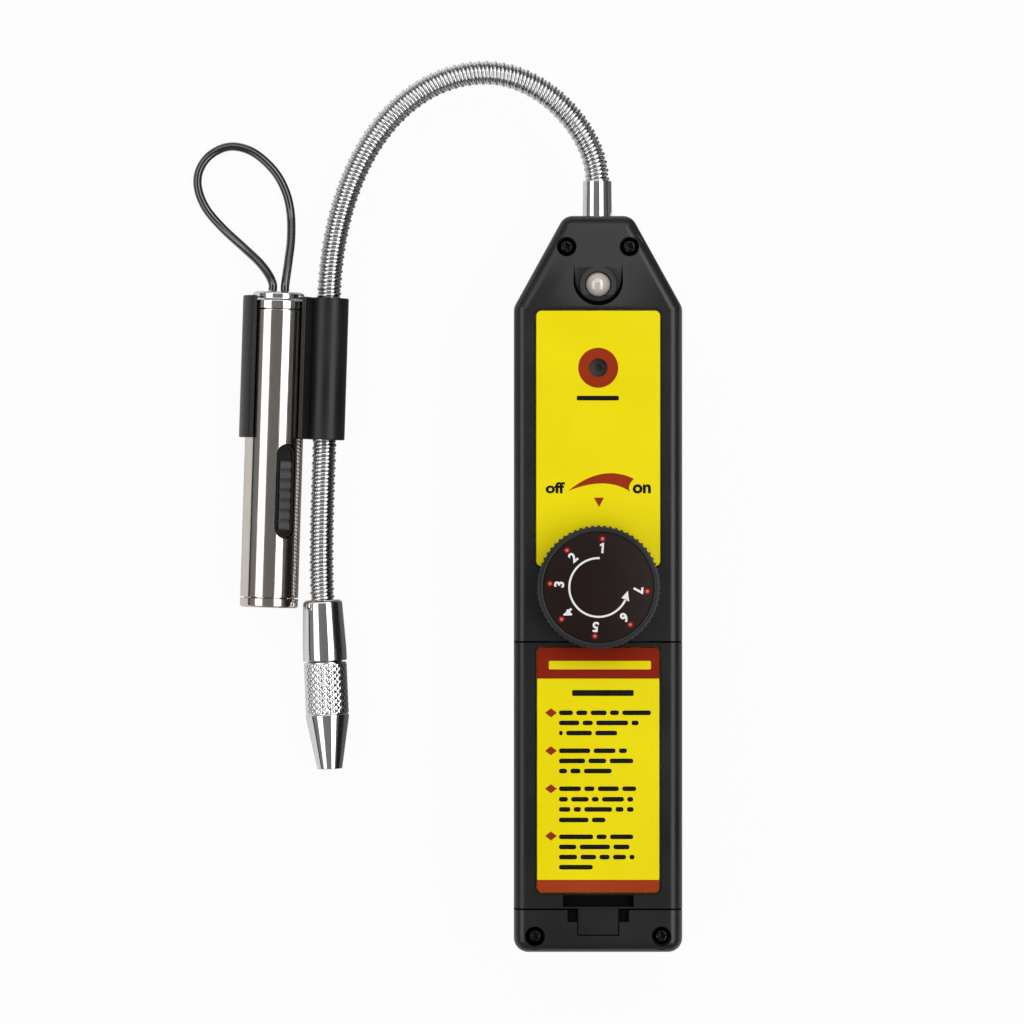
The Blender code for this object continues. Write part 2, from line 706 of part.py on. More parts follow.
def make_rear_casing():
    casing = casing_block("rear_casing", 0.0, 0.0, BODY_DEPTH, EDGE_RADIUS, CASING_PLASTIC)
    half = BODY_WIDTH / 2 + OVERCUT
    reach = BODY_LENGTH / 2 + OVERCUT
    top = BODY_DEPTH + OVERCUT
    cut(casing, casing_cavity("rear cavity"))
    cut(casing, box("above rear casing", (-half, -reach, REAR_TOP), (half, reach, top)))
    add(casing, *bay_walls("rear", BACK_WALL - ROOT_DEPTH, REAR_TOP - GAP))
    rib_x = CELL_SPACING / 2 + CELL_RADIUS + GAP
    rib_foot = BACK_WALL - ROOT_DEPTH
    rib_top = BACK_WALL + BAY_RIB_HEIGHT
    for side in (-1.0, 1.0):
        xs = sorted((side * rib_x, side * (rib_x + RIB_WALL)))
        low = (xs[0], BAY_BOTTOM_Y + BAY_RIB_INSET, rib_foot)
        high = (xs[1], BAY_TOP_Y - BAY_RIB_INSET, rib_top)
        add(casing, box("cell rib", low, high))
    for x, y in screw_places():
        pillar = rod(
            "rear pillar", SCREW_PILLAR_RADIUS, BACK_WALL / 2, REAR_TOP, x, y, SMALL_SIDES
        )
        add(casing, pillar)
        bore = SCREW_SHANK_RADIUS + GAP
        low = SCREW_TIP_HEIGHT - 2 * GAP
        cut(casing, rod("pilot hole", bore, low, PARTING_HEIGHT + OVERCUT, x, y, SMALL_SIDES))
    cut(casing, neck_hole("rear neck hole"))
    return casing


def lamp_pocket():
    """The horseshoe pocket round the lamp, with the lamp's collar left standing in it."""
    y = LAMP_Y + LAMP_POCKET_SHIFT
    radius = LAMP_POCKET_RADIUS
    far = BODY_TOP
    steps = PLAIN_SIDES // 2
    outline = []
    for step in range(steps + 1):
        angle = math.pi + math.pi * step / steps
        outline.append((radius * math.cos(angle), y + radius * math.sin(angle)))
    outline.append((LAMP_POCKET_TOP_HALF_WIDTH, far))
    outline.append((-LAMP_POCKET_TOP_HALF_WIDTH, far))
    pocket = flat("lamp pocket", [outline], LAMP_POCKET_FLOOR, BODY_DEPTH + OVERCUT)
    collar = LAMP_RADIUS + GAP + LAMP_COLLAR_WALL
    top = LAMP_POCKET_FLOOR + LAMP_COLLAR_HEIGHT
    cut(pocket, rod("lamp collar", collar, LAMP_POCKET_FLOOR - OVERCUT, top, 0.0, LAMP_Y))
    return pocket


def make_front_casing():
    casing = casing_block("front_casing", 0.0, 0.0, BODY_DEPTH, EDGE_RADIUS, CASING_PLASTIC)
    half = BODY_WIDTH / 2 + OVERCUT
    reach = BODY_LENGTH / 2 + OVERCUT
    cut(casing, casing_cavity("front cavity"))
    cut(casing, box("below front casing", (-half, -reach, -OVERCUT), (half, reach, FRONT_BOTTOM)))
    add(casing, *bay_walls("front", FRONT_BOTTOM + GAP, BAY_WALL_TOP + ROOT_DEPTH))

    # The seat of the battery door, over the full width
    door_room = box(
        "door room",
        (-half, DOOR_BOTTOM_Y - SEAM, BAY_WALL_TOP),
        (half, DOOR_TOP_Y + SEAM, BODY_DEPTH + OVERCUT),
    )
    cut(casing, door_room)
    latch_floor = BODY_DEPTH - LATCH_STEP - LATCH_SHEET - GAP
    tongue_half = LATCH_WIDTH / 2 + GAP
    notch_half = LATCH_NOTCH_WIDTH / 2 + GAP
    shelf = box(
        "latch shelf",
        (-notch_half - RIB_WALL, BODY_BOTTOM + SIDE_WALL / 2, latch_floor - FRONT_WALL),
        (notch_half + RIB_WALL, DOOR_BOTTOM_Y - SEAM, FRONT_INSIDE + GAP),
    )
    add(casing, shelf)
    tongue_end = DOOR_BOTTOM_Y - LATCH_LENGTH - GAP
    tongue_room = box(
        "tongue room",
        (-tongue_half, tongue_end, latch_floor),
        (tongue_half, DOOR_BOTTOM_Y + OVERCUT, BODY_DEPTH + OVERCUT),
    )
    cut(casing, tongue_room)
    notch_floor = BODY_DEPTH - LATCH_NOTCH_DEPTH
    notch_room = box(
        "notch room",
        (-notch_half, DOOR_BOTTOM_Y - LATCH_NOTCH_LENGTH, notch_floor),
        (notch_half, DOOR_BOTTOM_Y + OVERCUT, BODY_DEPTH + OVERCUT),
    )
    cut(casing, notch_room)

    # Screw pillars, board posts and the lamp's seat
    for x, y in screw_places():
        top = FRONT_INSIDE - BODY_DEPTH + front_height(y) + FRONT_WALL / 2
        pillar = rod("front pillar", SCREW_BOSS_RADIUS, FRONT_BOTTOM, top, x, y, SMALL_SIDES)
        add(casing, pillar)
        bore = SCREW_SHANK_RADIUS + GAP
        low = PARTING_HEIGHT - OVERCUT
        cut(casing, rod("shank hole", bore, low, BODY_DEPTH, x, y, SMALL_SIDES))
        seat = screw_seat(y)
        head_room = rod("head hole", SCREW_HOLE_RADIUS, seat, BODY_DEPTH + OVERCUT, x, y, ROUND_SIDES)
        cut(casing, head_room)
    for y in (DIAL_Y + BOARD_POST_ABOVE_DIAL, SHOULDER_Y - BOARD_POST_BELOW_SHOULDER):
        for x in (-BOARD_POST_X, BOARD_POST_X):
            top = FRONT_INSIDE + FRONT_WALL / 2
            post = rod("board post", BOARD_POST_RADIUS, BOARD_TOP + GAP, top, x, y, SMALL_SIDES)
            add(casing, post)
    seat_top = LAMP_POCKET_FLOOR - GAP
    lamp_seat = rod("lamp seat", LAMP_BOSS_RADIUS, LAMP_BOSS_BOTTOM, seat_top, 0.0, LAMP_Y)
    under_face = BODY_DEPTH - FRONT_WALL / 2
    extent = casing_block("lamp seat extent", SIDE_WALL / 2, BACK_WALL, under_face, EDGE_RADIUS / 2)
    keep_inside(lamp_seat, extent)
    add(casing, lamp_seat)
    cut(casing, lamp_pocket())

    # Holes through the front wall, and the label's recess
    over = BODY_DEPTH + OVERCUT
    under = LAMP_BOSS_BOTTOM - OVERCUT
    cut(casing, rod("lamp hole", LAMP_RADIUS + GAP, under, over, 0.0, LAMP_Y))
    cut(casing, rod("buzzer hole", BUZZER_HOLE_RADIUS, under, over, 0.0, BUZZER_Y, ROUND_SIDES))
    cut(casing, rod("dial hole", POT_BUSH_RADIUS + GAP, under, over, 0.0, DIAL_Y, ROUND_SIDES))
    recess = rounded(label_corners(LABEL_MARGIN), LABEL_CORNER)
    recess_floor = BODY_DEPTH - LABEL_SHEET - LABEL_GAP
    cut(casing, flat("label recess", [recess], recess_floor, over))
    cut(casing, neck_hole("front neck hole"))
    return casing


def label_corners(margin):
    half = LABEL_WIDTH / 2 + margin
    top = SHOULDER_Y - LABEL_TOP_FROM_SHOULDER
    bottom = DIAL_Y + LABEL_BOTTOM_ABOVE_DIAL
    return rectangle(-half, bottom - margin, half, top + margin)


def make_front_label():
    outline = rounded(label_corners(0.0), LABEL_CORNER)
    hole = circle(BUZZER_HOLE_RADIUS, PLAIN_SIDES, 0.0, BUZZER_Y)
    low = BODY_DEPTH - LABEL_SHEET
    return flat("front_label", [outline, hole], low, BODY_DEPTH, None, LABEL_YELLOW)


def door_label_corners(margin):
    half = DOOR_LABEL_WIDTH / 2 + margin
    top = DOOR_TOP_Y - DOOR_LABEL_TOP
    bottom = DOOR_BOTTOM_Y + DOOR_LABEL_END
    return rectangle(-half, bottom - margin, half, top + margin)


def make_battery_door():
    """The battery door with its tabs, its latch tongue and the finger slot above the tongue."""
    door = casing_block("battery_door", 0.0, 0.0, BODY_DEPTH, EDGE_RADIUS, DOOR_PLASTIC)
    half = BODY_WIDTH / 2 + OVERCUT
    inside = BODY_DEPTH - DOOR_WALL
    kept = box(
        "door extent",
        (-half, DOOR_BOTTOM_Y, DOOR_EDGE_HEIGHT),
        (half, DOOR_TOP_Y, BODY_DEPTH + OVERCUT),
    )
    keep_inside(door, kept)
    hollow = casing_block("door hollow", DOOR_WALL, BACK_WALL, inside, EDGE_RADIUS - DOOR_WALL)
    cut(door, hollow)

    # Two tabs that hook under the front casing, and ribs that press on the cells
    tab_top = FRONT_INSIDE - GAP
    tab_y = DOOR_TOP_Y - DOOR_TAB_FOOT
    for side in (-1.0, 1.0):
        x_low = side * DOOR_TAB_X - DOOR_TAB_WIDTH / 2
        x_high = side * DOOR_TAB_X + DOOR_TAB_WIDTH / 2
        low = (x_low, tab_y, tab_top - DOOR_TAB_SHEET)
        foot = box("door tab foot", low, (x_high, DOOR_TOP_Y - GAP, inside + GAP))
        tab = box("door tab", low, (x_high, DOOR_TOP_Y + DOOR_TAB_REACH, tab_top))
        add(door, foot, tab)
        rib_x = side * CELL_SPACING / 2
        rib = box(
            "cell press rib",
            (rib_x - DOOR_RIB_HALF_WIDTH, BAY_BOTTOM_Y + DOOR_RIB_INSET, CELL_TOP + GAP),
            (rib_x + DOOR_RIB_HALF_WIDTH, BAY_TOP_Y - DOOR_RIB_INSET, inside + GAP),
        )
        add(door, rib)

    # The latch tongue and the finger slot above it
    tongue_top = BODY_DEPTH - LATCH_STEP
    tongue = box(
        "latch tongue",
        (-LATCH_WIDTH / 2, DOOR_BOTTOM_Y - LATCH_LENGTH, tongue_top - LATCH_SHEET),
        (LATCH_WIDTH / 2, DOOR_BOTTOM_Y + SIDE_WALL, tongue_top),
    )
    add(door, tongue)
    slot_end = DOOR_BOTTOM_Y + SEAM + DOOR_SLOT_LENGTH
    slot_wall_x = DOOR_SLOT_WIDTH / 2 + DOOR_SLOT_WALL
    slot_box = box(
        "finger slot box",
        (-slot_wall_x, DOOR_BOTTOM_Y, DOOR_SLOT_FLOOR - DOOR_SLOT_WALL),
        (slot_wall_x, slot_end + DOOR_SLOT_WALL, BODY_DEPTH - DOOR_WALL / 2),
    )
    add(door, slot_box)
    slot = box(
        "finger slot",
        (-DOOR_SLOT_WIDTH / 2, DOOR_BOTTOM_Y + SEAM, DOOR_SLOT_FLOOR),
        (DOOR_SLOT_WIDTH / 2, slot_end, BODY_DEPTH + OVERCUT),
    )
    cut(door, slot)
    recess = rounded(door_label_corners(LABEL_MARGIN), LABEL_CORNER)
    floor = BODY_DEPTH - LABEL_SHEET - LABEL_GAP
    cut(door, flat("door label recess", [recess], floor, BODY_DEPTH + OVERCUT))
    return door


def make_door_label():
    outline = rounded(door_label_corners(0.0), LABEL_CORNER)
    low = BODY_DEPTH - LABEL_SHEET
    return flat("door_label", [outline], low, BODY_DEPTH, None, LABEL_YELLOW)


def make_casing_screws():
    for index, (x, y) in enumerate(screw_places(), start=1):
        seat = screw_seat(y) + GAP
        head_top = seat + SCREW_HEAD_HEIGHT
        frame = empty_at("screw place", x, y)
        outline = [
            (0.0, SCREW_TIP_HEIGHT),
            (SCREW_SHANK_RADIUS, SCREW_TIP_HEIGHT + SCREW_SHANK_RADIUS),
            (SCREW_SHANK_RADIUS, seat),
            (SCREW_HEAD_RADIUS, seat),
            (SCREW_HEAD_RADIUS, head_top - SCREW_HEAD_ROUND),
            (SCREW_HEAD_TOP_RADIUS, head_top),
            (0.0, head_top),
        ]
        turned("casing_screw_" + str(index), outline, SMALL_SIDES, frame, SCREW_STEEL)


def make_dial():
    """The knurled sensitivity dial, its printed plate and the potentiometer below it."""
    spindle = empty_at("dial spindle axis", 0.0, DIAL_Y)
    top = DIAL_BOTTOM + DIAL_HEIGHT
    knurl = []
    for tooth in range(DIAL_TEETH):
        for radius, share in ((DIAL_RADIUS - DIAL_TOOTH_DEPTH, 0.0), (DIAL_RADIUS, 0.5)):
            angle = math.tau * (tooth + share) / DIAL_TEETH
            knurl.append((radius * math.cos(angle), radius * math.sin(angle)))
    dial = flat("sensitivity_dial", [knurl], DIAL_BOTTOM, top, spindle, DIAL_PLASTIC)
    rim_inside = DIAL_RADIUS - DIAL_TOOTH_DEPTH - DIAL_RIM_WALL
    plate_floor = top - DIAL_PLATE_SHEET - GAP
    ceiling = plate_floor - DIAL_TOP_WALL
    hub_bottom = DIAL_BOTTOM + DIAL_HUB_LIFT
    shaft_top = ceiling - GAP
    bore = POT_SHAFT_RADIUS + GAP
    underside = [
        (0.0, DIAL_BOTTOM - OVERCUT),
        (rim_inside, DIAL_BOTTOM - OVERCUT),
        (rim_inside, ceiling),
        (DIAL_HUB_RADIUS, ceiling),
        (DIAL_HUB_RADIUS, hub_bottom),
        (bore, hub_bottom),
        (bore, ceiling),
        (0.0, ceiling),
    ]
    cut(dial, turned("dial hollow", underside, PLAIN_SIDES, spindle))
    plate_room = rod(
        "dial plate room", DIAL_PLATE_RADIUS + GAP, plate_floor, top + OVERCUT,
        sides=FINE_SIDES, parent=spindle
    )
    cut(dial, plate_room)
    rod(
        "dial_plate", DIAL_PLATE_RADIUS, top - DIAL_PLATE_SHEET, top, sides=FINE_SIDES,
        parent=spindle, material=DIAL_FACE
    )
    shaft_bottom = BOARD_TOP + POT_SHAFT_FOOT
    rod(
        "dial_shaft", POT_SHAFT_RADIUS, shaft_bottom, shaft_top, sides=PLAIN_SIDES,
        parent=spindle, material=BRIGHT_NICKEL
    )
    body_top = BOARD_TOP + GAP + POT_HEIGHT
    bush_top = BODY_DEPTH + GAP + POT_NUT_HEIGHT
    potentiometer = [
        (0.0, BOARD_TOP + GAP),
        (POT_RADIUS, BOARD_TOP + GAP),
        (POT_RADIUS, body_top),
        (POT_BUSH_RADIUS, body_top),
        (POT_BUSH_RADIUS, bush_top),
        (bore, bush_top),
        (bore, shaft_bottom - GAP),
        (0.0, shaft_bottom - GAP),
    ]
    turned("potentiometer", potentiometer, PLAIN_SIDES, spindle, BRIGHT_NICKEL)
    nut_bore = circle(POT_BUSH_RADIUS + GAP, PLAIN_SIDES)
    nut_bottom = BODY_DEPTH + GAP
    flat(
        "dial_nut", [hexagon(POT_NUT_FLATS), nut_bore], nut_bottom, nut_bottom + POT_NUT_HEIGHT,
        spindle, BRIGHT_NICKEL
    )


def make_lamp():
    place_of = empty_at("lamp place", 0.0, LAMP_Y)
    flange_top = LAMP_BOSS_BOTTOM - GAP
    flange_bottom = flange_top - LAMP_FLANGE_HEIGHT
    outline = [
        (0.0, flange_bottom),
        (LAMP_FLANGE_RADIUS, flange_bottom),
        (LAMP_FLANGE_RADIUS, flange_top),
        (LAMP_RADIUS, flange_top),
    ]
    for step in range(LAMP_DOME_STEPS):
        angle = math.pi / 2 * step / LAMP_DOME_STEPS
        height = LAMP_SHOULDER_HEIGHT + LAMP_RADIUS * math.sin(angle)
        outline.append((LAMP_RADIUS * math.cos(angle), height))
    outline.append((0.0, LAMP_SHOULDER_HEIGHT + LAMP_RADIUS))
    turned("indicator_lamp", outline, PLAIN_SIDES, place_of, LAMP_PLASTIC)
    rod(
        "lamp_spacer", LAMP_FLANGE_RADIUS, BOARD_TOP + GAP, flange_bottom - GAP, sides=SMALL_SIDES,
        parent=place_of, material=PART_BLACK
    )


def make_buzzer():
    buzzer_top = FRONT_INSIDE - GAP
    buzzer = rod(
        "buzzer", BUZZER_RADIUS, BOARD_TOP + GAP, buzzer_top, 0.0, BUZZER_Y, PLAIN_SIDES,
        material=PART_BLACK
    )
    port = rod(
        "buzzer port", BUZZER_PORT_RADIUS, buzzer_top - BUZZER_PORT_RADIUS, buzzer_top + OVERCUT,
        0.0, BUZZER_Y, SMALL_SIDES
    )
    cut(buzzer, port)


def make_board():
    bottom_y = DOOR_TOP_Y + BOARD_ABOVE_DOOR
    shoulder_y = BODY_TOP - BOARD_SHOULDER_FROM_END
    neck_y = BODY_TOP - BOARD_NECK_FROM_END
    top_y = BODY_TOP - BOARD_TOP_FROM_END
    outline = [
        (-BOARD_HALF_WIDTH, bottom_y),
        (BOARD_HALF_WIDTH, bottom_y),
        (BOARD_HALF_WIDTH, shoulder_y),
        (BOARD_NECK_HALF_WIDTH, neck_y),
        (BOARD_NECK_HALF_WIDTH, top_y),
        (-BOARD_NECK_HALF_WIDTH, top_y),
        (-BOARD_NECK_HALF_WIDTH, neck_y),
        (-BOARD_HALF_WIDTH, shoulder_y),
    ]
    flat("main_board", [outline], BOARD_HEIGHT, BOARD_TOP, None, BOARD_GREEN)
    ceiling = BOARD_HEIGHT - GAP

    # The boost transformer: a bobbin between the two flanges of its core
    width, length, height = TRANSFORMER_SIZE
    x, y = TRANSFORMER_PLACE
    y += SHOULDER_Y
    core = box(
        "boost_transformer", (x - width / 2, y - length / 2, ceiling - height),
        (x + width / 2, y + length / 2, ceiling), None, CORE_BROWN
    )
    for side in (-1.0, 1.0):
        outer = y + side * (length / 2 + OVERCUT)
        inner = y + side * (length / 2 - TRANSFORMER_WINDOW)
        window = box(
            "winding window",
            (x - width, min(outer, inner), ceiling - height + TRANSFORMER_FLANGE),
            (x + width, max(outer, inner), ceiling - TRANSFORMER_FLANGE),
        )
        cut(core, window)

    # The driver chip, with a leg under each side
    width, length, height = CHIP_SIZE
    x, y = CHIP_PLACE
    y += SHOULDER_Y
    chip_top = ceiling - CHIP_LEG
    chip = box(
        "driver_chip", (x - width / 2, y - length / 2, chip_top - height),
        (x + width / 2, y + length / 2, chip_top), None, PART_BLACK
    )
    pitch = length / CHIP_LEG_COUNT
    for side in (-1.0, 1.0):
        for leg in range(CHIP_LEG_COUNT):
            leg_y = y + (leg - (CHIP_LEG_COUNT - 1) / 2) * pitch
            leg_x = x + side * width / 2
            foot = box(
                "chip leg",
                (leg_x - CHIP_LEG, leg_y - CHIP_LEG / 2, chip_top - height / 2),
                (leg_x + CHIP_LEG, leg_y + CHIP_LEG / 2, ceiling),
            )
            add(chip, foot)
    for index, (x, y) in enumerate(CAPACITOR_PLACES, start=1):
        rod(
            "filter_capacitor_" + str(index), CAPACITOR_RADIUS, ceiling - CAPACITOR_HEIGHT, ceiling,
            x, SHOULDER_Y + y, SMALL_SIDES, material=PART_BLUE
        )


def make_cells():
    """Four cells in two layers, with contact plates and springs at the ends of the bay."""
    upper_face = BAY_TOP_Y - GAP - PLATE_SHEET
    lower_face = BAY_BOTTOM_Y + GAP + PLATE_SHEET
    shoulder = CELL_LENGTH - CELL_NUB_HEIGHT
    cell_outline = [
        (0.0, 0.0),
        (CELL_RADIUS, 0.0),
        (CELL_RADIUS, shoulder),
        (CELL_NUB_RADIUS, shoulder),
        (CELL_NUB_RADIUS, CELL_LENGTH),
        (0.0, CELL_LENGTH),
    ]
    spring_mesh = None
    places = []
    for layer in (0, 1):
        for side in (-1.0, 1.0):
            places.append((side * CELL_SPACING / 2, LOW_CELL_HEIGHT + layer * CELL_LAYER_STEP))
    for index, (x, z) in enumerate(places, start=1):
        nub_up = index % 2 == 1
        if nub_up:
            base = Vector((x, upper_face - GAP - CELL_LENGTH, z))
            direction = Vector((0.0, 1.0, 0.0))
            spring_base = Vector((x, lower_face, z))
        else:
            base = Vector((x, lower_face + GAP + CELL_LENGTH, z))
            direction = Vector((0.0, -1.0, 0.0))
            spring_base = Vector((x, upper_face, z))
        frame = frame_empty("cell axis", base, direction)
        turned("battery_cell_" + str(index), cell_outline, ROUND_SIDES, frame, CELL_SLEEVE)
        spring_frame = frame_empty("spring axis", spring_base, direction)
        name = "contact_spring_" + str(index)
        if spring_mesh is None:
            spring_mesh = spring_curve(name)
        spring = bpy.data.objects.new(name, spring_mesh)
        place(spring, spring_frame, BRIGHT_NICKEL)

    # One plate joins the two cells of a layer below; three plates stand above
    low, high = places[0][1], places[2][1]
    left, right = places[0][0], places[1][0]
    tall = PLATE_HALF_HEIGHT
    wide = PLATE_HALF_WIDTH
    plates = [
        (lower_face, left - wide, right + wide, low - tall, low + tall),
        (lower_face, left - wide, right + wide, high - tall, high + tall),
        (upper_face + PLATE_SHEET, left - wide, left + wide, low - tall, low + tall),
        (upper_face + PLATE_SHEET, left - wide, left + wide, high - tall, high + tall),
        (upper_face + PLATE_SHEET, right - wide, right + wide, low - tall, high + tall),
    ]
    for index, (y, x_low, x_high, z_low, z_high) in enumerate(plates, start=1):
        box(
            "contact_plate_" + str(index), (x_low, y - PLATE_SHEET, z_low), (x_high, y, z_high),
            None, BRIGHT_NICKEL
        )


def spring_curve(name):
    """A conical contact spring, wide at its plate and narrow at its cell."""
    curve = bpy.data.curves.new(name, "CURVE")
    curve.dimensions = "3D"
    curve.bevel_depth = SPRING_WIRE_RADIUS
    curve.bevel_resolution = 0
    curve.use_fill_caps = True
    count = SPRING_TURNS * SPRING_POINTS_PER_TURN
    spline = curve.splines.new("POLY")
    spline.points.add(count)
    low = SPRING_WIRE_RADIUS + GAP
    high = SPRING_ROOM - SPRING_WIRE_RADIUS
    for index in range(count + 1):
        share = index / count
        angle = math.tau * index / SPRING_POINTS_PER_TURN
        radius = SPRING_BASE_RADIUS + (SPRING_TIP_RADIUS - SPRING_BASE_RADIUS) * share
        z = low + (high - low) * share
        spline.points[index].co = (radius * math.cos(angle), radius * math.sin(angle), z, 1.0)
    return curve


def straight(a, b):
    """The four Bezier points of a straight span."""
    return a, a.lerp(b, 1 / 3), a.lerp(b, 2 / 3), b


def neck_route():
    """The neck's centre line, as close points from inside its ferrule to inside the barrel."""
    up = Vector((0.0, 1.0, 0.0))
    left = Vector((-1.0, 0.0, 0.0))
    start = NECK_ORIGIN + up * NECK_SEAT_DEPTH
    mouth = NECK_ORIGIN + up * FERRULE_REACH
    apex = Vector((NECK_APEX_X, BODY_TOP + NECK_APEX_RISE, NECK_APEX_HEIGHT))
    way_down = NECK_APEX_RISE + BODY_TOP - HOLDER_Y - NECK_APEX_X
    fall = (LEG_HEIGHT - PARTING_HEIGHT) / way_down
    apex_way = Vector((left.x, 0.0, fall)).normalized()
    leg_middle = Vector((LEG_X, HOLDER_Y, LEG_HEIGHT))
    leg_top = leg_middle - LEG_DOWN * (HOLDER_LENGTH / 2)
    leg_bottom = leg_middle + LEG_DOWN * (HOLDER_LENGTH / 2)
    probe = Vector((PROBE_X, PROBE_TOP_Y, LEG_HEIGHT))
    end = probe + PROBE_DOWN * (BARREL_SOCKET_DEPTH - GAP)
    third = (leg_bottom - probe).length / 3
    spans = [
        straight(start, mouth),
        (mouth, mouth + up * NECK_RISE_PULL, apex - apex_way * NECK_APEX_PULL, apex),
        (apex, apex + apex_way * NECK_FALL_PULL, leg_top - LEG_DOWN * NECK_LEG_PULL, leg_top),
        straight(leg_top, leg_bottom),
        (leg_bottom, leg_bottom + LEG_DOWN * third, probe - PROBE_DOWN * third, probe),
        straight(probe, end),
    ]
    points = []
    for a, handle_a, handle_b, b in spans:
        samples = interpolate_bezier(a, handle_a, handle_b, b, NECK_SAMPLES)
        points.extend(samples[:-1] if b is not end else samples)
    return points


class Route:
    """A smooth line that gives its point and its cross axes at any distance along it."""

    def __init__(self, points):
        self.points = [Vector(point) for point in points]
        self.distances = [0.0]
        for before, after in zip(self.points, self.points[1:]):
            self.distances.append(self.distances[-1] + (after - before).length)
        self.length = self.distances[-1]
        self.ways = []
        self.sides = []
        side = Vector((0.0, 0.0, 1.0))
        for index in range(len(self.points)):
            before = self.points[max(index - 1, 0)]
            after = self.points[min(index + 1, len(self.points) - 1)]
            way = (after - before).normalized()
            side = (side - side.dot(way) * way).normalized()
            self.ways.append(way)
            self.sides.append(side.copy())

    def at(self, distance):
        distance = min(max(distance, 0.0), self.length)
        low, high = 0, len(self.distances) - 1
        while high - low > 1:
            middle = (low + high) // 2
            if self.distances[middle] <= distance:
                low = middle
            else:
                high = middle
        span = self.distances[high] - self.distances[low]
        share = (distance - self.distances[low]) / span
        point = self.points[low].lerp(self.points[high], share)
        way = self.ways[low].lerp(self.ways[high], share).normalized()
        side = self.sides[low].lerp(self.sides[high], share)
        side = (side - side.dot(way) * way).normalized()
        return point, side, way.cross(side)

    def ring_point(self, distance, angle, radius):
        point, side, across = self.at(distance)
        return point + radius * (math.cos(angle) * side + math.sin(angle) * across)


def make_gooseneck(route):
    """The wound neck: one ridge that climbs round the tube, with a bore for the lead.

    Each row of points climbs one pitch in a turn, so the last point of a row is also the
    first point of the row that starts one pitch further on.
    """
    bm = bmesh.new()
    turns = int(route.length / NECK_PITCH) - 1
    rows = 2 * turns
    start = (route.length - (turns + 1) * NECK_PITCH) / 2
    shell = []
    for row in range(rows + 1):
        radius = NECK_RADIUS if row % 2 else NECK_GROOVE_RADIUS
        ring = []
        for column in range(NECK_SIDES):
            angle = math.tau * column / NECK_SIDES
            climb = NECK_PITCH * column / NECK_SIDES
            distance = start + row * NECK_PITCH / 2 + climb
            ring.append(bm.verts.new(route.ring_point(distance, angle, radius)))
        shell.append(ring)
    last_seam = []
    for row in (rows + 1, rows + 2):
        radius = NECK_RADIUS if row % 2 else NECK_GROOVE_RADIUS
        distance = start + row * NECK_PITCH / 2
        last_seam.append(bm.verts.new(route.ring_point(distance, 0.0, radius)))

    def shell_vertex(row, column):
        if column < NECK_SIDES:
            return shell[row][column]
        if row + 2 <= rows:
            return shell[row + 2][0]
        return last_seam[row + 2 - rows - 1]

    for row in range(rows):
        for column in range(NECK_SIDES):
            bm.faces.new((
                shell_vertex(row, column),
                shell_vertex(row, column + 1),
                shell_vertex(row + 1, column + 1),
                shell_vertex(row + 1, column),
            ))

    # The bore, and the two ends that join it to the ridge
    bore = []
    bore_rings = int(route.length / NECK_BORE_STEP)
    first = start + NECK_PITCH / 2
    last = start + (rows + 1) * NECK_PITCH / 2
    for index in range(bore_rings + 1):
        distance = first + (last - first) * index / bore_rings
        ring = []
        for column in range(NECK_SIDES):
            angle = math.tau * column / NECK_SIDES
            ring.append(bm.verts.new(route.ring_point(distance, angle, NECK_BORE_RADIUS)))
        bore.append(ring)
    for index in range(bore_rings):
        for column in range(NECK_SIDES):
            after = (column + 1) % NECK_SIDES
            bm.faces.new((
                bore[index][after], bore[index][column],
                bore[index + 1][column], bore[index + 1][after],
            ))
    for column in range(NECK_SIDES):
        after = (column + 1) % NECK_SIDES
        bm.faces.new((
            shell_vertex(0, column + 1), shell_vertex(0, column), bore[0][column], bore[0][after]
        ))
        bm.faces.new((
            shell_vertex(rows, column), shell_vertex(rows, column + 1),
            bore[-1][after], bore[-1][column],
        ))
    bm.faces.new((bore[0][0], shell[0][0], shell[1][0]))
    bm.faces.new((bore[0][0], shell[1][0], shell[2][0]))
    bm.faces.new((bore[-1][0], last_seam[1], last_seam[0]))
    bm.faces.new((bore[-1][0], last_seam[0], shell[rows][0]))
    bmesh.ops.recalc_face_normals(bm, faces=bm.faces)
    obj = bpy.data.objects.new("gooseneck", mesh_from("gooseneck", bm))
    return place(obj, None, SPRING_STEEL)


def make_neck_fittings():
    """The ferrule that carries the neck, and the nut that holds it in the casing's top end."""
    frame = frame_empty("neck axis", NECK_ORIGIN, Vector((0.0, 1.0, 0.0)))
    seat = NECK_RADIUS + NECK_FIT
    lead_bore = NECK_BORE_RADIUS + GAP
    outline = [
        (FERRULE_TAIL_RADIUS, -FERRULE_TAIL),
        (FERRULE_TAIL_RADIUS, -SIDE_WALL),
        (FERRULE_RADIUS, -SIDE_WALL),
        (FERRULE_RADIUS, GAP),
        (FERRULE_MOUTH_RADIUS, FERRULE_REACH),
        (seat, FERRULE_REACH),
        (seat, NECK_SEAT_DEPTH - GAP),
        (lead_bore, NECK_SEAT_DEPTH - GAP),
        (lead_bore, -FERRULE_TAIL),
    ]
    turned("neck_ferrule", outline, PLAIN_SIDES, frame, CHROME_PLATE)
    nut_top = -SIDE_WALL - GAP
    nut_bore = circle(FERRULE_TAIL_RADIUS + GAP, PLAIN_SIDES)
    flat(
        "neck_nut", [hexagon(NECK_NUT_FLATS), nut_bore], nut_top - NECK_NUT_HEIGHT, nut_top, frame,
        BRIGHT_NICKEL
    )


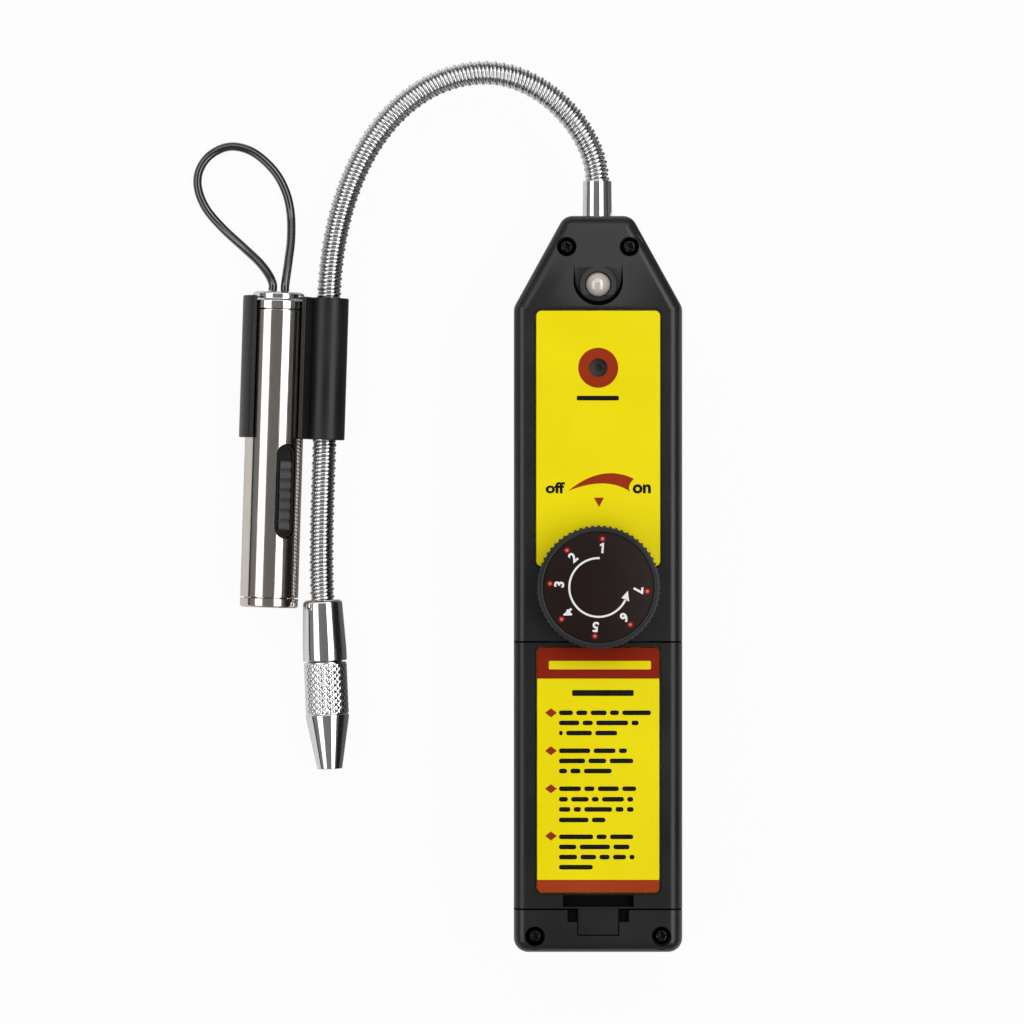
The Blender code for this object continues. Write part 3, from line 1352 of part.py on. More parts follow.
def make_sensor_lead(route):
    """The sensor's sleeved lead, from under the board through the neck to its socket."""
    inside_end = NECK_ORIGIN - Vector((0.0, FERRULE_TAIL + 2 * LEAD_RADIUS, 0.0))
    board_end = Vector((0.0, BODY_TOP - LEAD_BOARD_Y_FROM_END, BOARD_HEIGHT - GAP))
    bend = (board_end.z - inside_end.z) / 2
    back = Vector((0.0, -1.0, 0.0))
    down = Vector((0.0, 0.0, -1.0))
    points = interpolate_bezier(
        board_end, board_end + down * bend, inside_end + back * bend, inside_end, LEAD_BEND_SAMPLES
    )
    count = int(route.length / LEAD_STEP)
    for index in range(count + 1):
        points.append(route.at(route.length * index / count)[0])
    tube("sensor_lead", points, LEAD_RADIUS, 1, None, LEAD_GREY)


def make_light_holder(holder_frame):
    """The rubber holder: a clip for the torch beside a sleeve for the neck."""
    clip_inside = TORCH_RADIUS + GAP
    clip_outside = clip_inside + CLIP_WALL
    sleeve_inside = NECK_RADIUS + GAP
    sleeve_outside = sleeve_inside + SLEEVE_WALL
    torch_x = -CLIP_SPACING
    lip = CLIP_WALL / 2
    lip_turn = lip / (clip_inside + lip)
    reach = (CLIP_SPACING ** 2 + clip_outside ** 2 - sleeve_outside ** 2) / (2 * CLIP_SPACING)
    meet = math.acos(reach / clip_outside)
    sleeve_meet = math.acos((CLIP_SPACING - reach) / sleeve_outside)
    lip_right = math.pi / 2 - CLIP_OPENING / 2 - lip_turn
    lip_left = math.pi / 2 + CLIP_OPENING / 2 + lip_turn

    def arc(cx, radius, first, last, steps):
        spots = []
        for step in range(steps + 1):
            angle = first + (last - first) * step / steps
            spots.append((cx + radius * math.cos(angle), radius * math.sin(angle)))
        return spots

    def lip_arc(angle, first, last):
        centre_x = torch_x + (clip_inside + lip) * math.cos(angle)
        centre_y = (clip_inside + lip) * math.sin(angle)
        return [(x + centre_x, y + centre_y) for x, y in arc(0.0, lip, first, last, LIP_ARC_STEPS)]

    sleeve_turn = math.pi - sleeve_meet
    outline = arc(torch_x, clip_outside, lip_left, math.tau - meet, CLIP_ARC_STEPS)
    outline += arc(0.0, sleeve_outside, -sleeve_turn, sleeve_turn, SLEEVE_ARC_STEPS)
    if lip_right > meet:
        outline += arc(torch_x, clip_outside, meet, lip_right, 1)[1:]
    outline += lip_arc(lip_right, lip_right, lip_right + math.pi)[1:-1]
    outline += arc(torch_x, clip_inside, lip_right, lip_left - math.tau, CLIP_ARC_STEPS)
    outline += lip_arc(lip_left, lip_left - math.pi, lip_left)[1:-1]
    bore = circle(sleeve_inside, PLAIN_SIDES)
    flat(
        "light_holder", [outline, bore], -HOLDER_LENGTH / 2, HOLDER_LENGTH / 2, holder_frame,
        HOLDER_RUBBER
    )


def make_probe(probe_frame):
    """The barrel, the sensor in its socket, and the knurled guard that screws over it."""
    neck_seat = NECK_RADIUS + GAP
    lead_bore = LEAD_RADIUS + 2 * GAP
    shoulder = BARREL_SOCKET_DEPTH + 2 * GAP
    outline = [
        (neck_seat, 0.0),
        (BARREL_TOP_RADIUS - BARREL_CHAMFER, 0.0),
        (BARREL_TOP_RADIUS, BARREL_CHAMFER),
        (BARREL_RADIUS, BARREL_TAPER),
        (BARREL_RADIUS, BARREL_LENGTH),
        (SPIGOT_RADIUS, BARREL_LENGTH),
        (SPIGOT_RADIUS, BARREL_LENGTH + SPIGOT_LENGTH),
        (BARREL_CAVITY_RADIUS, BARREL_LENGTH + SPIGOT_LENGTH),
        (BARREL_CAVITY_RADIUS, shoulder + BARREL_CHAMFER),
        (lead_bore, shoulder + BARREL_CHAMFER),
        (lead_bore, shoulder),
        (neck_seat, shoulder),
    ]
    turned("probe_barrel", outline, PLAIN_SIDES, probe_frame, CHROME_PLATE)

    socket_top = shoulder + BARREL_CHAMFER + GAP
    socket_end = socket_top + SENSOR_SOCKET_LENGTH
    rod(
        "sensor_socket", BARREL_CAVITY_RADIUS - GAP, socket_top, socket_end, sides=SMALL_SIDES,
        parent=probe_frame, material=PART_BLACK
    )
    can_top = socket_end + GAP
    can_end = can_top + SENSOR_CAN_LENGTH
    sensor = [
        (0.0, can_top),
        (SENSOR_CAN_RADIUS, can_top),
        (SENSOR_CAN_RADIUS, can_end),
        (SENSOR_PIN_RADIUS, can_end),
        (SENSOR_PIN_RADIUS, can_end + SENSOR_PIN_LENGTH),
        (0.0, can_end + SENSOR_PIN_LENGTH),
    ]
    turned("sensor_element", sensor, SMALL_SIDES, probe_frame, SENSOR_CERAMIC)
    make_tip_guard(probe_frame)


def make_tip_guard(probe_frame):
    """A turned guard whose first stretch carries a raised diamond knurl."""
    top = BARREL_LENGTH + GAP
    cone_top = top + GUARD_KNURL_LENGTH
    end = cone_top + GUARD_CONE_LENGTH
    columns = 2 * GUARD_KNURL_COLUMNS
    rings = []
    root = GUARD_RADIUS - GUARD_KNURL_DEPTH
    rings.append([(root, top)] * columns)
    for row in range(1, 2 * GUARD_KNURL_ROWS):
        z = top + GUARD_KNURL_LENGTH * row / (2 * GUARD_KNURL_ROWS)
        ring = []
        for column in range(columns):
            ring.append((GUARD_RADIUS if (row + column) % 2 else root, z))
        rings.append(ring)
    rings.append([(root, cone_top)] * columns)
    rings.append([(GUARD_RADIUS - GUARD_KNURL_DEPTH / 2, cone_top + GUARD_KNURL_DEPTH)] * columns)
    rings.append([(GUARD_MOUTH_RADIUS, end)] * columns)
    thread = SPIGOT_RADIUS + GAP
    mouth = GUARD_MOUTH_RADIUS - GUARD_WALL
    rings.append([(mouth, end)] * columns)
    rings.append([(thread - GUARD_WALL / 2, cone_top)] * columns)
    rings.append([(thread, cone_top - GUARD_WALL)] * columns)
    rings.append([(thread, top)] * columns)
    bm = bmesh.new()
    verts = []
    for ring in rings:
        row_verts = []
        for column, (radius, z) in enumerate(ring):
            angle = math.tau * column / columns
            row_verts.append(bm.verts.new((radius * math.cos(angle), radius * math.sin(angle), z)))
        verts.append(row_verts)
    for index in range(len(rings)):
        upper = verts[index]
        lower = verts[(index + 1) % len(rings)]
        for column in range(columns):
            after = (column + 1) % columns
            bm.faces.new((upper[column], upper[after], lower[after], lower[column]))
    bmesh.ops.recalc_face_normals(bm, faces=bm.faces)
    obj = bpy.data.objects.new("tip_guard", mesh_from("tip_guard", bm))
    place(obj, probe_frame, CHROME_PLATE)


def stadium(half_length, width):
    """A slot's outline, with round ends."""
    radius = width / 2
    points = []
    for centre, first in ((half_length - radius, 0.0), (radius - half_length, math.pi)):
        for step in range(SLOT_END_STEPS + 1):
            angle = first + math.pi * step / SLOT_END_STEPS
            points.append((radius * math.cos(angle), centre + radius * math.sin(angle)))
    return points


def make_torch(torch_frame):
    """The clip-on torch: steel tube, caps, cell, lamp and the switch in its long slot."""
    inside = TORCH_RADIUS - TORCH_WALL
    tube_top = TORCH_CAP_CROWN + TORCH_CAP_RING + GAP
    body = turned(
        "torch_tube",
        [
            (TORCH_RADIUS, tube_top),
            (TORCH_RADIUS, TORCH_TUBE_END),
            (inside, TORCH_TUBE_END),
            (inside, tube_top),
        ],
        FINE_SIDES, torch_frame, TORCH_STEEL
    )

    # The slot lies across a frame whose Z looks out of the tube and whose Y runs to the tail
    slot_middle = TORCH_SLOT_END - TORCH_SLOT_LENGTH / 2
    slot_frame = bpy.data.objects.new("switch frame", None)
    CUTTERS.objects.link(slot_frame)
    slot_frame.parent = torch_frame
    slot_frame.matrix_local = (
        Matrix.Rotation(-TORCH_SLOT_TURN, 4, "Z")
        @ Matrix.Translation((0.0, 0.0, slot_middle))
        @ Matrix.Rotation(-math.pi / 2, 4, "X")
    )
    half = TORCH_SLOT_LENGTH / 2
    slot = flat(
        "switch slot", [stadium(half, TORCH_SLOT_WIDTH)], inside / 2,
        TORCH_RADIUS + OVERCUT, slot_frame
    )
    cut(body, slot)

    # The black liner that fills the slot, open on top for the slider
    liner_width = TORCH_SLOT_WIDTH - 2 * GAP
    liner_half = half - GAP
    edge_height = math.sqrt(TORCH_RADIUS ** 2 - (TORCH_SLOT_WIDTH / 2) ** 2)
    liner_bottom = TORCH_CELL_RADIUS + GAP
    room_width = liner_width - 2 * TORCH_BEZEL_WALL
    room_half = liner_half - TORCH_BEZEL_WALL
    floor = liner_bottom + TORCH_BEZEL_WALL / 2
    liner = flat(
        "switch_liner", [stadium(liner_half, liner_width)], liner_bottom,
        edge_height, slot_frame, PART_BLACK
    )
    room = flat(
        "slider room", [stadium(room_half, room_width)], floor,
        TORCH_RADIUS + OVERCUT, slot_frame
    )
    cut(liner, room)

    # The slider: a low bar with ramps at its ends and a row of finger notches
    low = floor + GAP
    high = TORCH_RADIUS - GAP
    ramp = high - low
    first = -TORCH_SLIDER_OFFSET / 2 - TORCH_SLIDER_LENGTH / 2
    last = first + TORCH_SLIDER_LENGTH
    profile = [(first, low), (last, low), (last - ramp, high)]
    pitch = (TORCH_SLIDER_LENGTH - 2 * ramp) / (TORCH_SLIDER_NOTCHES + 0.5)
    for notch in range(TORCH_SLIDER_NOTCHES):
        edge = last - ramp - (notch + 0.5) * pitch
        profile.append((edge, high))
        profile.append((edge - pitch / 4, high - TORCH_SLIDER_NOTCH_DEPTH))
        profile.append((edge - pitch / 2, high))
    profile.append((first + ramp, high))
    slider_frame = bpy.data.objects.new("slider frame", None)
    CUTTERS.objects.link(slider_frame)
    slider_frame.parent = slot_frame
    slider_frame.matrix_local = Matrix(
        ((0.0, 0.0, 1.0, 0.0), (1.0, 0.0, 0.0, 0.0), (0.0, 1.0, 0.0, 0.0), (0.0, 0.0, 0.0, 1.0))
    )
    width = TORCH_SLIDER_WIDTH
    flat("switch_slider", [profile], -width / 2, width / 2, slider_frame, PART_BLACK)

    # The tail cap, with a turned crown and two holes that the hand loop goes into
    plug = inside - GAP
    crown = TORCH_RADIUS - TORCH_CAP_EDGE
    cap = turned(
        "torch_tail_cap",
        [
            (0.0, 0.0),
            (crown - TORCH_CAP_EDGE, 0.0),
            (crown, TORCH_CAP_EDGE / 2),
            (crown, TORCH_CAP_CROWN - TORCH_CAP_EDGE / 2),
            (TORCH_RADIUS, TORCH_CAP_CROWN),
            (TORCH_RADIUS, TORCH_CAP_CROWN + TORCH_CAP_RING),
            (plug, TORCH_CAP_CROWN + TORCH_CAP_RING),
            (plug, TORCH_CAP_CROWN + TORCH_CAP_RING + TORCH_CAP_PLUG),
            (0.0, TORCH_CAP_CROWN + TORCH_CAP_RING + TORCH_CAP_PLUG),
        ],
        PLAIN_SIDES, torch_frame, CHROME_PLATE
    )
    for side in (-1.0, 1.0):
        x = side * LOOP_LEG_SPACING / 2
        hole = rod(
            "loop hole", LOOP_RADIUS + GAP / 2, -OVERCUT, TORCH_CAP_CROWN, x, 0.0, SMALL_SIDES,
            parent=torch_frame
        )
        cut(cap, hole)

    # The cell, and the lamp on its board behind the head ring
    nub_radius = CELL_NUB_RADIUS / 2
    nub_foot = TORCH_CELL_END - CELL_NUB_HEIGHT
    turned(
        "torch_cell",
        [
            (0.0, TORCH_CELL_TOP),
            (TORCH_CELL_RADIUS, TORCH_CELL_TOP),
            (TORCH_CELL_RADIUS, nub_foot),
            (nub_radius, nub_foot),
            (nub_radius, TORCH_CELL_END),
            (0.0, TORCH_CELL_END),
        ],
        ROUND_SIDES, torch_frame, CELL_SLEEVE
    )
    rod(
        "torch_lamp_holder", plug, TORCH_CELL_END + GAP, TORCH_LAMP_TOP - GAP,
        parent=torch_frame, material=PART_BLACK
    )
    shoulder = TORCH_LAMP_END - TORCH_LAMP_RADIUS
    lamp = [(0.0, TORCH_LAMP_TOP), (TORCH_LAMP_RADIUS, TORCH_LAMP_TOP)]
    for step in range(TORCH_LAMP_DOME_STEPS):
        angle = math.pi / 2 * step / TORCH_LAMP_DOME_STEPS
        height = shoulder + TORCH_LAMP_RADIUS * math.sin(angle)
        lamp.append((TORCH_LAMP_RADIUS * math.cos(angle), height))
    lamp.append((0.0, TORCH_LAMP_END))
    turned("torch_lamp", lamp, SMALL_SIDES, torch_frame, LAMP_PLASTIC)

    # The head ring screws into the tube and holds the lens
    ring_plug_top = TORCH_TUBE_END - TORCH_HEAD_PLUG
    ring_top = TORCH_LENGTH - TORCH_HEAD_RING
    mouth = TORCH_LENS_RADIUS - TORCH_BEZEL_WALL
    lens_top = TORCH_LENGTH - TORCH_LENS_SHEET - 3 * GAP
    turned(
        "torch_head_ring",
        [
            (plug, ring_plug_top),
            (plug, ring_top),
            (TORCH_RADIUS, ring_top),
            (TORCH_RADIUS, TORCH_LENGTH - TORCH_CAP_EDGE / 2),
            (TORCH_RADIUS - TORCH_CAP_EDGE / 2, TORCH_LENGTH),
            (TORCH_LENS_RADIUS + GAP, TORCH_LENGTH),
            (TORCH_LENS_RADIUS + GAP, lens_top - GAP),
            (mouth, lens_top - GAP),
            (mouth, ring_plug_top),
        ],
        FINE_SIDES, torch_frame, TORCH_STEEL
    )
    rod(
        "torch_lens", TORCH_LENS_RADIUS, lens_top, lens_top + TORCH_LENS_SHEET, sides=PLAIN_SIDES,
        parent=torch_frame, material=LENS_CLEAR
    )


def smooth_route(points, count):
    """Points spaced evenly along one smooth curve through the route's own points."""
    dense = []
    last = len(points) - 1
    for index in range(last):
        before = points[max(index - 1, 0)]
        here = points[index]
        after = points[index + 1]
        beyond = points[min(index + 2, last)]
        handle_a = here + (after - before) / 6
        handle_b = after - (beyond - here) / 6
        samples = interpolate_bezier(here, handle_a, handle_b, after, ROUTE_SAMPLES)
        dense.extend(samples if index == last - 1 else samples[:-1])
    route = Route(dense)
    return [route.at(route.length * step / count)[0] for step in range(count + 1)]


def make_hand_loop(torch_frame):
    """The hand loop: out of the tail cap, down to the surface, round, and back into the cap."""
    bpy.context.view_layer.update()
    world = torch_frame.matrix_world
    left_exit = world @ Vector((-LOOP_LEG_SPACING / 2, 0.0, -GAP))
    right_exit = world @ Vector((LOOP_LEG_SPACING / 2, 0.0, -GAP))
    cap = (left_exit + right_exit) / 2
    step = -LEG_DOWN * LOOP_STRAIGHT
    lying = [Vector((cap.x + x, cap.y + y, z)) for x, y, z in LOOP_ROUTE]
    points = [left_exit, left_exit + step] + lying + [right_exit + step, right_exit]
    tube("hand_loop", smooth_route(points, LOOP_POINTS), LOOP_RADIUS, 2, None, CORD_BLACK)


def main():
    make_rear_casing()
    make_front_casing()
    make_front_label()
    hinge = empty_at("door hinge", 0.0, DOOR_TOP_Y, BODY_DEPTH)
    hang(make_battery_door(), hinge)
    hang(make_door_label(), hinge)
    make_casing_screws()
    make_dial()
    make_lamp()
    make_buzzer()
    make_board()
    make_cells()
    route = Route(neck_route())
    make_gooseneck(route)
    make_neck_fittings()
    make_sensor_lead(route)

    # The probe and the torch holder ride on the neck's free end, the torch on its holder
    neck_bend = empty_at("neck bend", *NECK_BEND_PLACE)
    leg_middle = Vector((LEG_X, HOLDER_Y, LEG_HEIGHT))
    holder_frame = frame_empty("holder axis", leg_middle, LEG_DOWN, turn=HOLDER_TURN)
    probe_top = Vector((PROBE_X, PROBE_TOP_Y, LEG_HEIGHT))
    probe_frame = frame_empty("probe axis", probe_top, PROBE_DOWN)
    hang(holder_frame, neck_bend)
    hang(probe_frame, neck_bend)
    make_light_holder(holder_frame)
    make_probe(probe_frame)
    bpy.context.view_layer.update()
    torch_rise = (TORCH_TOP_Y - HOLDER_Y) / math.cos(LEG_TILT)
    torch_top = holder_frame.matrix_world @ Vector((-CLIP_SPACING, 0.0, -torch_rise))
    torch_frame = frame_empty("torch axis", torch_top, LEG_DOWN, turn=HOLDER_TURN)
    hang(torch_frame, holder_frame)
    make_torch(torch_frame)
    make_hand_loop(torch_frame)


main()
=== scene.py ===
"""The looks of the refrigerant leak detector: its finishes, fine forms, print and light.

Metres, +Z up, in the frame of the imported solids: the origin is the middle of the casing's flat
back, +Y runs towards the neck, and the front face looks up.
"""

import math
from contextlib import contextmanager

import bmesh
import bpy
from mathutils import Matrix, Vector
from mathutils.geometry import interpolate_bezier


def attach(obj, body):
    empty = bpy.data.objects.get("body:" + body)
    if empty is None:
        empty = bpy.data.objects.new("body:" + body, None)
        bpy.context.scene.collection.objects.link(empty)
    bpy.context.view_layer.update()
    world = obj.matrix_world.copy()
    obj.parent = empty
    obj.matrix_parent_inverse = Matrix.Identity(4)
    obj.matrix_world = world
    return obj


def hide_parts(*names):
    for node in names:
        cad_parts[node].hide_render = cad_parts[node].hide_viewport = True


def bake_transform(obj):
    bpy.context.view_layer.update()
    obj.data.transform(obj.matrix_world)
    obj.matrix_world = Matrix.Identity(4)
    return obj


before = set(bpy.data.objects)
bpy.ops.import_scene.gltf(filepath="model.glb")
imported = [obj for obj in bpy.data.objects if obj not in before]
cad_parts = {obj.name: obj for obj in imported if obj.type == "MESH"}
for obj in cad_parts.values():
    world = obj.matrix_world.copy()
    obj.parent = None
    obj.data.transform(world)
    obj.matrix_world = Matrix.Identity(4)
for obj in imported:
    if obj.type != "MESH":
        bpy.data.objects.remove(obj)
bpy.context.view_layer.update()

# Casing, as in the solids
GAP = 0.0003
BODY_LENGTH = 0.1750
BODY_WIDTH = 0.0400
BODY_DEPTH = 0.0350
HEAD_LENGTH = 0.0219
HEAD_TOP_WIDTH = 0.0160
HEAD_DROP = 0.0047
EDGE_RADIUS = 0.0031
CORNER_RADIUS = 0.0003
LIP_SHARES = (0.4, 0.8)
SIDE_WALL = 0.0020
FRONT_WALL = 0.0022
BACK_WALL = 0.0020
PARTING_HEIGHT = 0.0175
RIB_WALL = 0.0015
ROOT_DEPTH = 0.0005
OVERCUT = 0.0020
BODY_TOP = BODY_LENGTH / 2
BODY_BOTTOM = -BODY_LENGTH / 2
SHOULDER_Y = BODY_TOP - HEAD_LENGTH
FRONT_INSIDE = BODY_DEPTH - FRONT_WALL
REAR_TOP = PARTING_HEIGHT - GAP / 2
EDGE_BREAK = 0.00013

# Casing screws
SCREW_PLACES = ((-0.00745, 0.08005), (0.00745, 0.08005), (-0.0150, -0.0836), (0.0150, -0.0836))
SCREW_TURNS = (0.35, 1.10, 0.80, 0.20)
SCREW_HOLE_RADIUS = 0.00235
SCREW_BOSS_RADIUS = 0.0034
SCREW_HEAD_RADIUS = 0.0020
SCREW_HEAD_HEIGHT = 0.0014
SCREW_SHANK_RADIUS = 0.0011
SCREW_SINK = 0.0013
SCREW_LENGTH = 0.0236
SCREW_PILLAR_RADIUS = 0.0026
SCREW_PILOT_FLOOR = 0.0044
SCREW_CROSS_LENGTH = 0.0024
SCREW_CROSS_WIDTH = 0.0005
SCREW_CROSS_DEPTH = 0.0008
SCREW_CROSS_EDGE = 0.00005
SCREW_DOME_SHARE = 0.6
SCREW_SOFTENING = 0.00035

# Labels
LABEL_HALF_WIDTH = 0.01485
LABEL_TOP = 0.0649
LABEL_BOTTOM = 0.0040
LABEL_CORNER = 0.0014
LABEL_SHEET = 0.00035
LABEL_GAP = 0.00015
LABEL_MARGIN = 0.0003
DOOR_LABEL_HALF_WIDTH = 0.01465
DOOR_LABEL_TOP = -0.0150
DOOR_LABEL_BOTTOM = -0.0734
FILM_EDGE = 0.00006
INK = 0.00002

# Sensitivity dial
DIAL_Y = -0.0008
DIAL_BOTTOM = 0.0365
DIAL_TOP = 0.0430
DIAL_RADIUS = 0.0147
DIAL_TOOTH_RADIUS = 0.00034
DIAL_TEETH = 64
DIAL_TOOTH_START = 0.0003
DIAL_TOOTH_DROP = 0.00003
DIAL_RIM = 0.01315
DIAL_CEILING = 0.03992
DIAL_HOLLOW_RADIUS = 0.0129
DIAL_HUB_RADIUS = 0.0050
DIAL_BORE = 0.0033
DIAL_FACE_RADIUS = 0.01295
DIAL_FACE_TOP = 0.04286
DIAL_FACE_BOTTOM = 0.04242
DIAL_FACE_SOFTENING = 0.00008
DIAL_SOFTENING = 0.00025

# Indicator lamp and its pocket
LAMP_Y = 0.07095
LAMP_RADIUS = 0.0029
LAMP_FLANGE_RADIUS = 0.0034
LAMP_FLANGE_BOTTOM = 0.0296
LAMP_FLANGE_TOP = 0.0306
LAMP_SHOULDER = 0.0330
LAMP_COLLAR_WALL = 0.0011
LAMP_COLLAR_TOP = 0.03435
LAMP_POCKET_RADIUS = 0.0059
LAMP_POCKET_SHIFT = 0.0009
LAMP_POCKET_TOP_HALF_WIDTH = 0.0053
LAMP_POCKET_FLOOR = 0.03295
LAMP_GROOVE_WIDTH = 0.0011
LAMP_GROOVE_DEPTH = 0.0010
LAMP_GROOVE_TIP = 0.0046
LAMP_GROOVE_END_SHARE = 0.45
LAMP_BOSS_RADIUS = 0.0074
LAMP_BOSS_BOTTOM = 0.0309
BUZZER_Y = 0.0512
BUZZER_HOLE_RADIUS = 0.00226
DIAL_HOLE_RADIUS = 0.0048

# Board, its posts and the battery bay
BOARD_HEIGHT = 0.0240
BOARD_TOP = 0.0256
BOARD_POST_RADIUS = 0.0018
BOARD_POST_PLACES = ((-0.0125, 0.0220), (0.0125, 0.0220), (-0.0125, 0.0570), (0.0125, 0.0570))
CELL_RIB_X = 0.01505
CELL_RIB_INSET = 0.0160
CELL_RIB_HEIGHT = 0.0120
CELL_SPACING = 0.0150
CELL_TOP = 0.0316
LEAD_BOARD_Y = 0.0735

# Battery door
DOOR_TOP_Y = -0.0140
DOOR_BOTTOM_Y = -0.0770
DOOR_SKIRT_BOTTOM = 0.0290
DOOR_WALL = 0.0020
SEAM = 0.0004
FINGER_SLOT = (0.0168, 0.0028)
FINGER_SLOT_WALL = 0.0008
DOOR_TAB_X = 0.0100
DOOR_TAB_WIDTH = 0.0040
DOOR_TAB_REACH = 0.0019
DOOR_TAB_SHEET = 0.0012
DOOR_TAB_FOOT = 0.00285
DOOR_RIB_HALF_WIDTH = 0.0025
DOOR_RIB_INSET = 0.0233
LATCH_WIDTH = 0.0094
LATCH_LENGTH = 0.0062
LATCH_SHEET = 0.0020
LATCH_STEP = 0.0003
LATCH_NOTCH_WIDTH = 0.0140
LATCH_NOTCH_LENGTH = 0.0032
LATCH_NOTCH_DEPTH = 0.0016

# Gooseneck: a round wire and a lower wedge wire wound side by side
NECK_PITCH = 0.00183
NECK_WIRE_RADIUS = 0.00047
NECK_WIRE_COIL = 0.00248
NECK_WEDGE_RADIUS = 0.00044
NECK_WEDGE_COIL = 0.00231
NECK_CORE_RADIUS = 0.00222
NECK_CORE_RESOLUTION = 6
NECK_TURN_POINTS = 22.0
NECK_WIRE_SIDES = 9
NECK_WIRE_ANGLE = math.radians(60.0)
NECK_SPAN_POINTS = 60
NECK_APEX = (-0.0270, 0.1225, 0.0142)
NECK_RISE_PULL = 0.0115
NECK_APEX_PULL = 0.0145
NECK_FALL_PULL = 0.0200
NECK_LEG_PULL = 0.0335
NECK_SEAT_DEPTH = 0.0020
FERRULE_REACH = 0.0088
FERRULE_RADIUS = 0.0035
FERRULE_MOUTH_RADIUS = 0.0034
FERRULE_TAIL_RADIUS = 0.0033
FERRULE_TAIL = 0.0046
FERRULE_SOFTENING = 0.00022
NECK_FIT = 0.00015
LEAD_BORE = 0.0019
LEAD_RADIUS = 0.0008
LEAD_RESOLUTION = 2
LEAD_SPAN_POINTS = 16

# Leg of the neck, torch holder and probe
LEG_MIDDLE = (-0.0651, 0.0515, 0.0076)
LEG_TILT = math.radians(1.8)
HOLDER_LENGTH = 0.0342
HOLDER_TURN = math.radians(-5.7)
HOLDER_EDGE = 0.0003
HOLDER_STEPS = 56
HOLDER_LIP_STEPS = 8
CLIP_SPACING = 0.0122
CLIP_WALL = 0.0012
CLIP_OPENING = math.radians(90.0)
SLEEVE_WALL = 0.00155
NECK_RADIUS = 0.00295
PROBE_TOP = (-0.06615, -0.0042, 0.0076)
PROBE_TILT = math.radians(-2.5)
BARREL_LENGTH = 0.0147
BARREL_SOCKET_DEPTH = 0.0060
BARREL_RADIUS = 0.0053
BARREL_TOP_RADIUS = 0.00475
BARREL_TAPER = 0.0118
BARREL_CHAMFER = 0.0006
BARREL_CAVITY_RADIUS = 0.0036
SPIGOT_RADIUS = 0.0041
SPIGOT_LENGTH = 0.0045
GUARD_RADIUS = 0.0053
GUARD_WALL = 0.0007
GUARD_TOP = 0.0150
GUARD_CONE_TOP = 0.0278
GUARD_END = 0.0408
GUARD_MOUTH_RADIUS = 0.0030
GUARD_KNURL_DEPTH = 0.00028
GUARD_KNURL_COLUMNS = 21
GUARD_KNURL_ROWS = 8
GUARD_KNURL_FACES = 10
GUARD_KNURL_ANGLE = math.radians(25.0)
GUARD_KNURL_LAP = 0.00001
GUARD_STEP = 0.0002
GUARD_CONE_START = (0.00014, 0.0008)
GUARD_SOFTENING = 0.00022
PROBE_SOFTENING = 0.00025
KNURL_SHIFT = 100.0
KNURL_FLAT = 0.62
KNURL_FADE = 30.0
KNURL_WELD = 0.000002

# Torch
TORCH_RADIUS = 0.0070
TORCH_BORE = 0.0063
TORCH_LENGTH = 0.0760
TORCH_RISE = (0.0696 - LEG_MIDDLE[1]) / math.cos(LEG_TILT)
TORCH_TUBE_TOP = 0.0044
TORCH_TUBE_END = 0.0735
TORCH_CAP_CROWN = 0.0021
TORCH_CAP_RING = 0.0020
TORCH_CAP_EDGE = 0.0008
TORCH_CAP_END = 0.0149
TORCH_HEAD_RING = 0.0022
TORCH_HEAD_PLUG = 0.0040
TORCH_LENS_RADIUS = 0.0050
TORCH_LENS_SHEET = 0.0012
TORCH_SLOT_TURN = math.radians(24.0)
TORCH_SLOT_MIDDLE = 0.0479
TORCH_SLOT_LENGTH = 0.0228
TORCH_SLOT_WIDTH = 0.0052
TORCH_LINER_BOTTOM = 0.00555
TORCH_LINER_TOP = 0.00649
TORCH_LINER_WALL = 0.0006
TORCH_SLIDER_WIDTH = 0.0029
TORCH_SLIDER_LENGTH = 0.0168
TORCH_SLIDER_OFFSET = 0.0022
TORCH_SLIDER_NOTCHES = 6
TORCH_NOTCH_DEPTH = 0.0005
TORCH_TUBE_SOFTENING = 0.0001
TORCH_CAP_SOFTENING = 0.00018
TORCH_RING_SOFTENING = 0.00015
TORCH_SLOT_EDGE = 0.0002
TORCH_LINER_EDGE = 0.00008
TORCH_SLIDER_SOFTENING = 0.00012
TORCH_LENS_EDGE_SHARE = 0.6
TORCH_LENS_TURN_SHARE = 0.98
TORCH_LENS_STEPS = 8
LOOP_RADIUS = 0.00105
LOOP_LEG_SPACING = 0.0030
LOOP_POINTS = 144
LOOP_RESOLUTION = 5
LOOP_FLOOR = 0.00135
LOOP_STRAIGHT = 0.0016
LOOP_ROUTE = (
    (-0.0025, 0.0040, 0.0076),
    (-0.0048, 0.0070, 0.0058),
    (-0.0087, 0.0107, 0.0034),
    (-0.0137, 0.0153, 0.0016),
    (-0.0178, 0.0201, LOOP_FLOOR),
    (-0.0198, 0.0250, LOOP_FLOOR),
    (-0.0195, 0.0294, LOOP_FLOOR),
    (-0.0168, 0.0332, LOOP_FLOOR),
    (-0.0120, 0.0352, LOOP_FLOOR),
    (-0.0066, 0.0339, LOOP_FLOOR),
    (-0.0016, 0.0296, LOOP_FLOOR),
    (0.0013, 0.0246, LOOP_FLOOR),
    (0.0026, 0.0192, 0.0016),
    (0.0028, 0.0130, 0.0038),
    (0.0023, 0.0076, 0.0064),
)

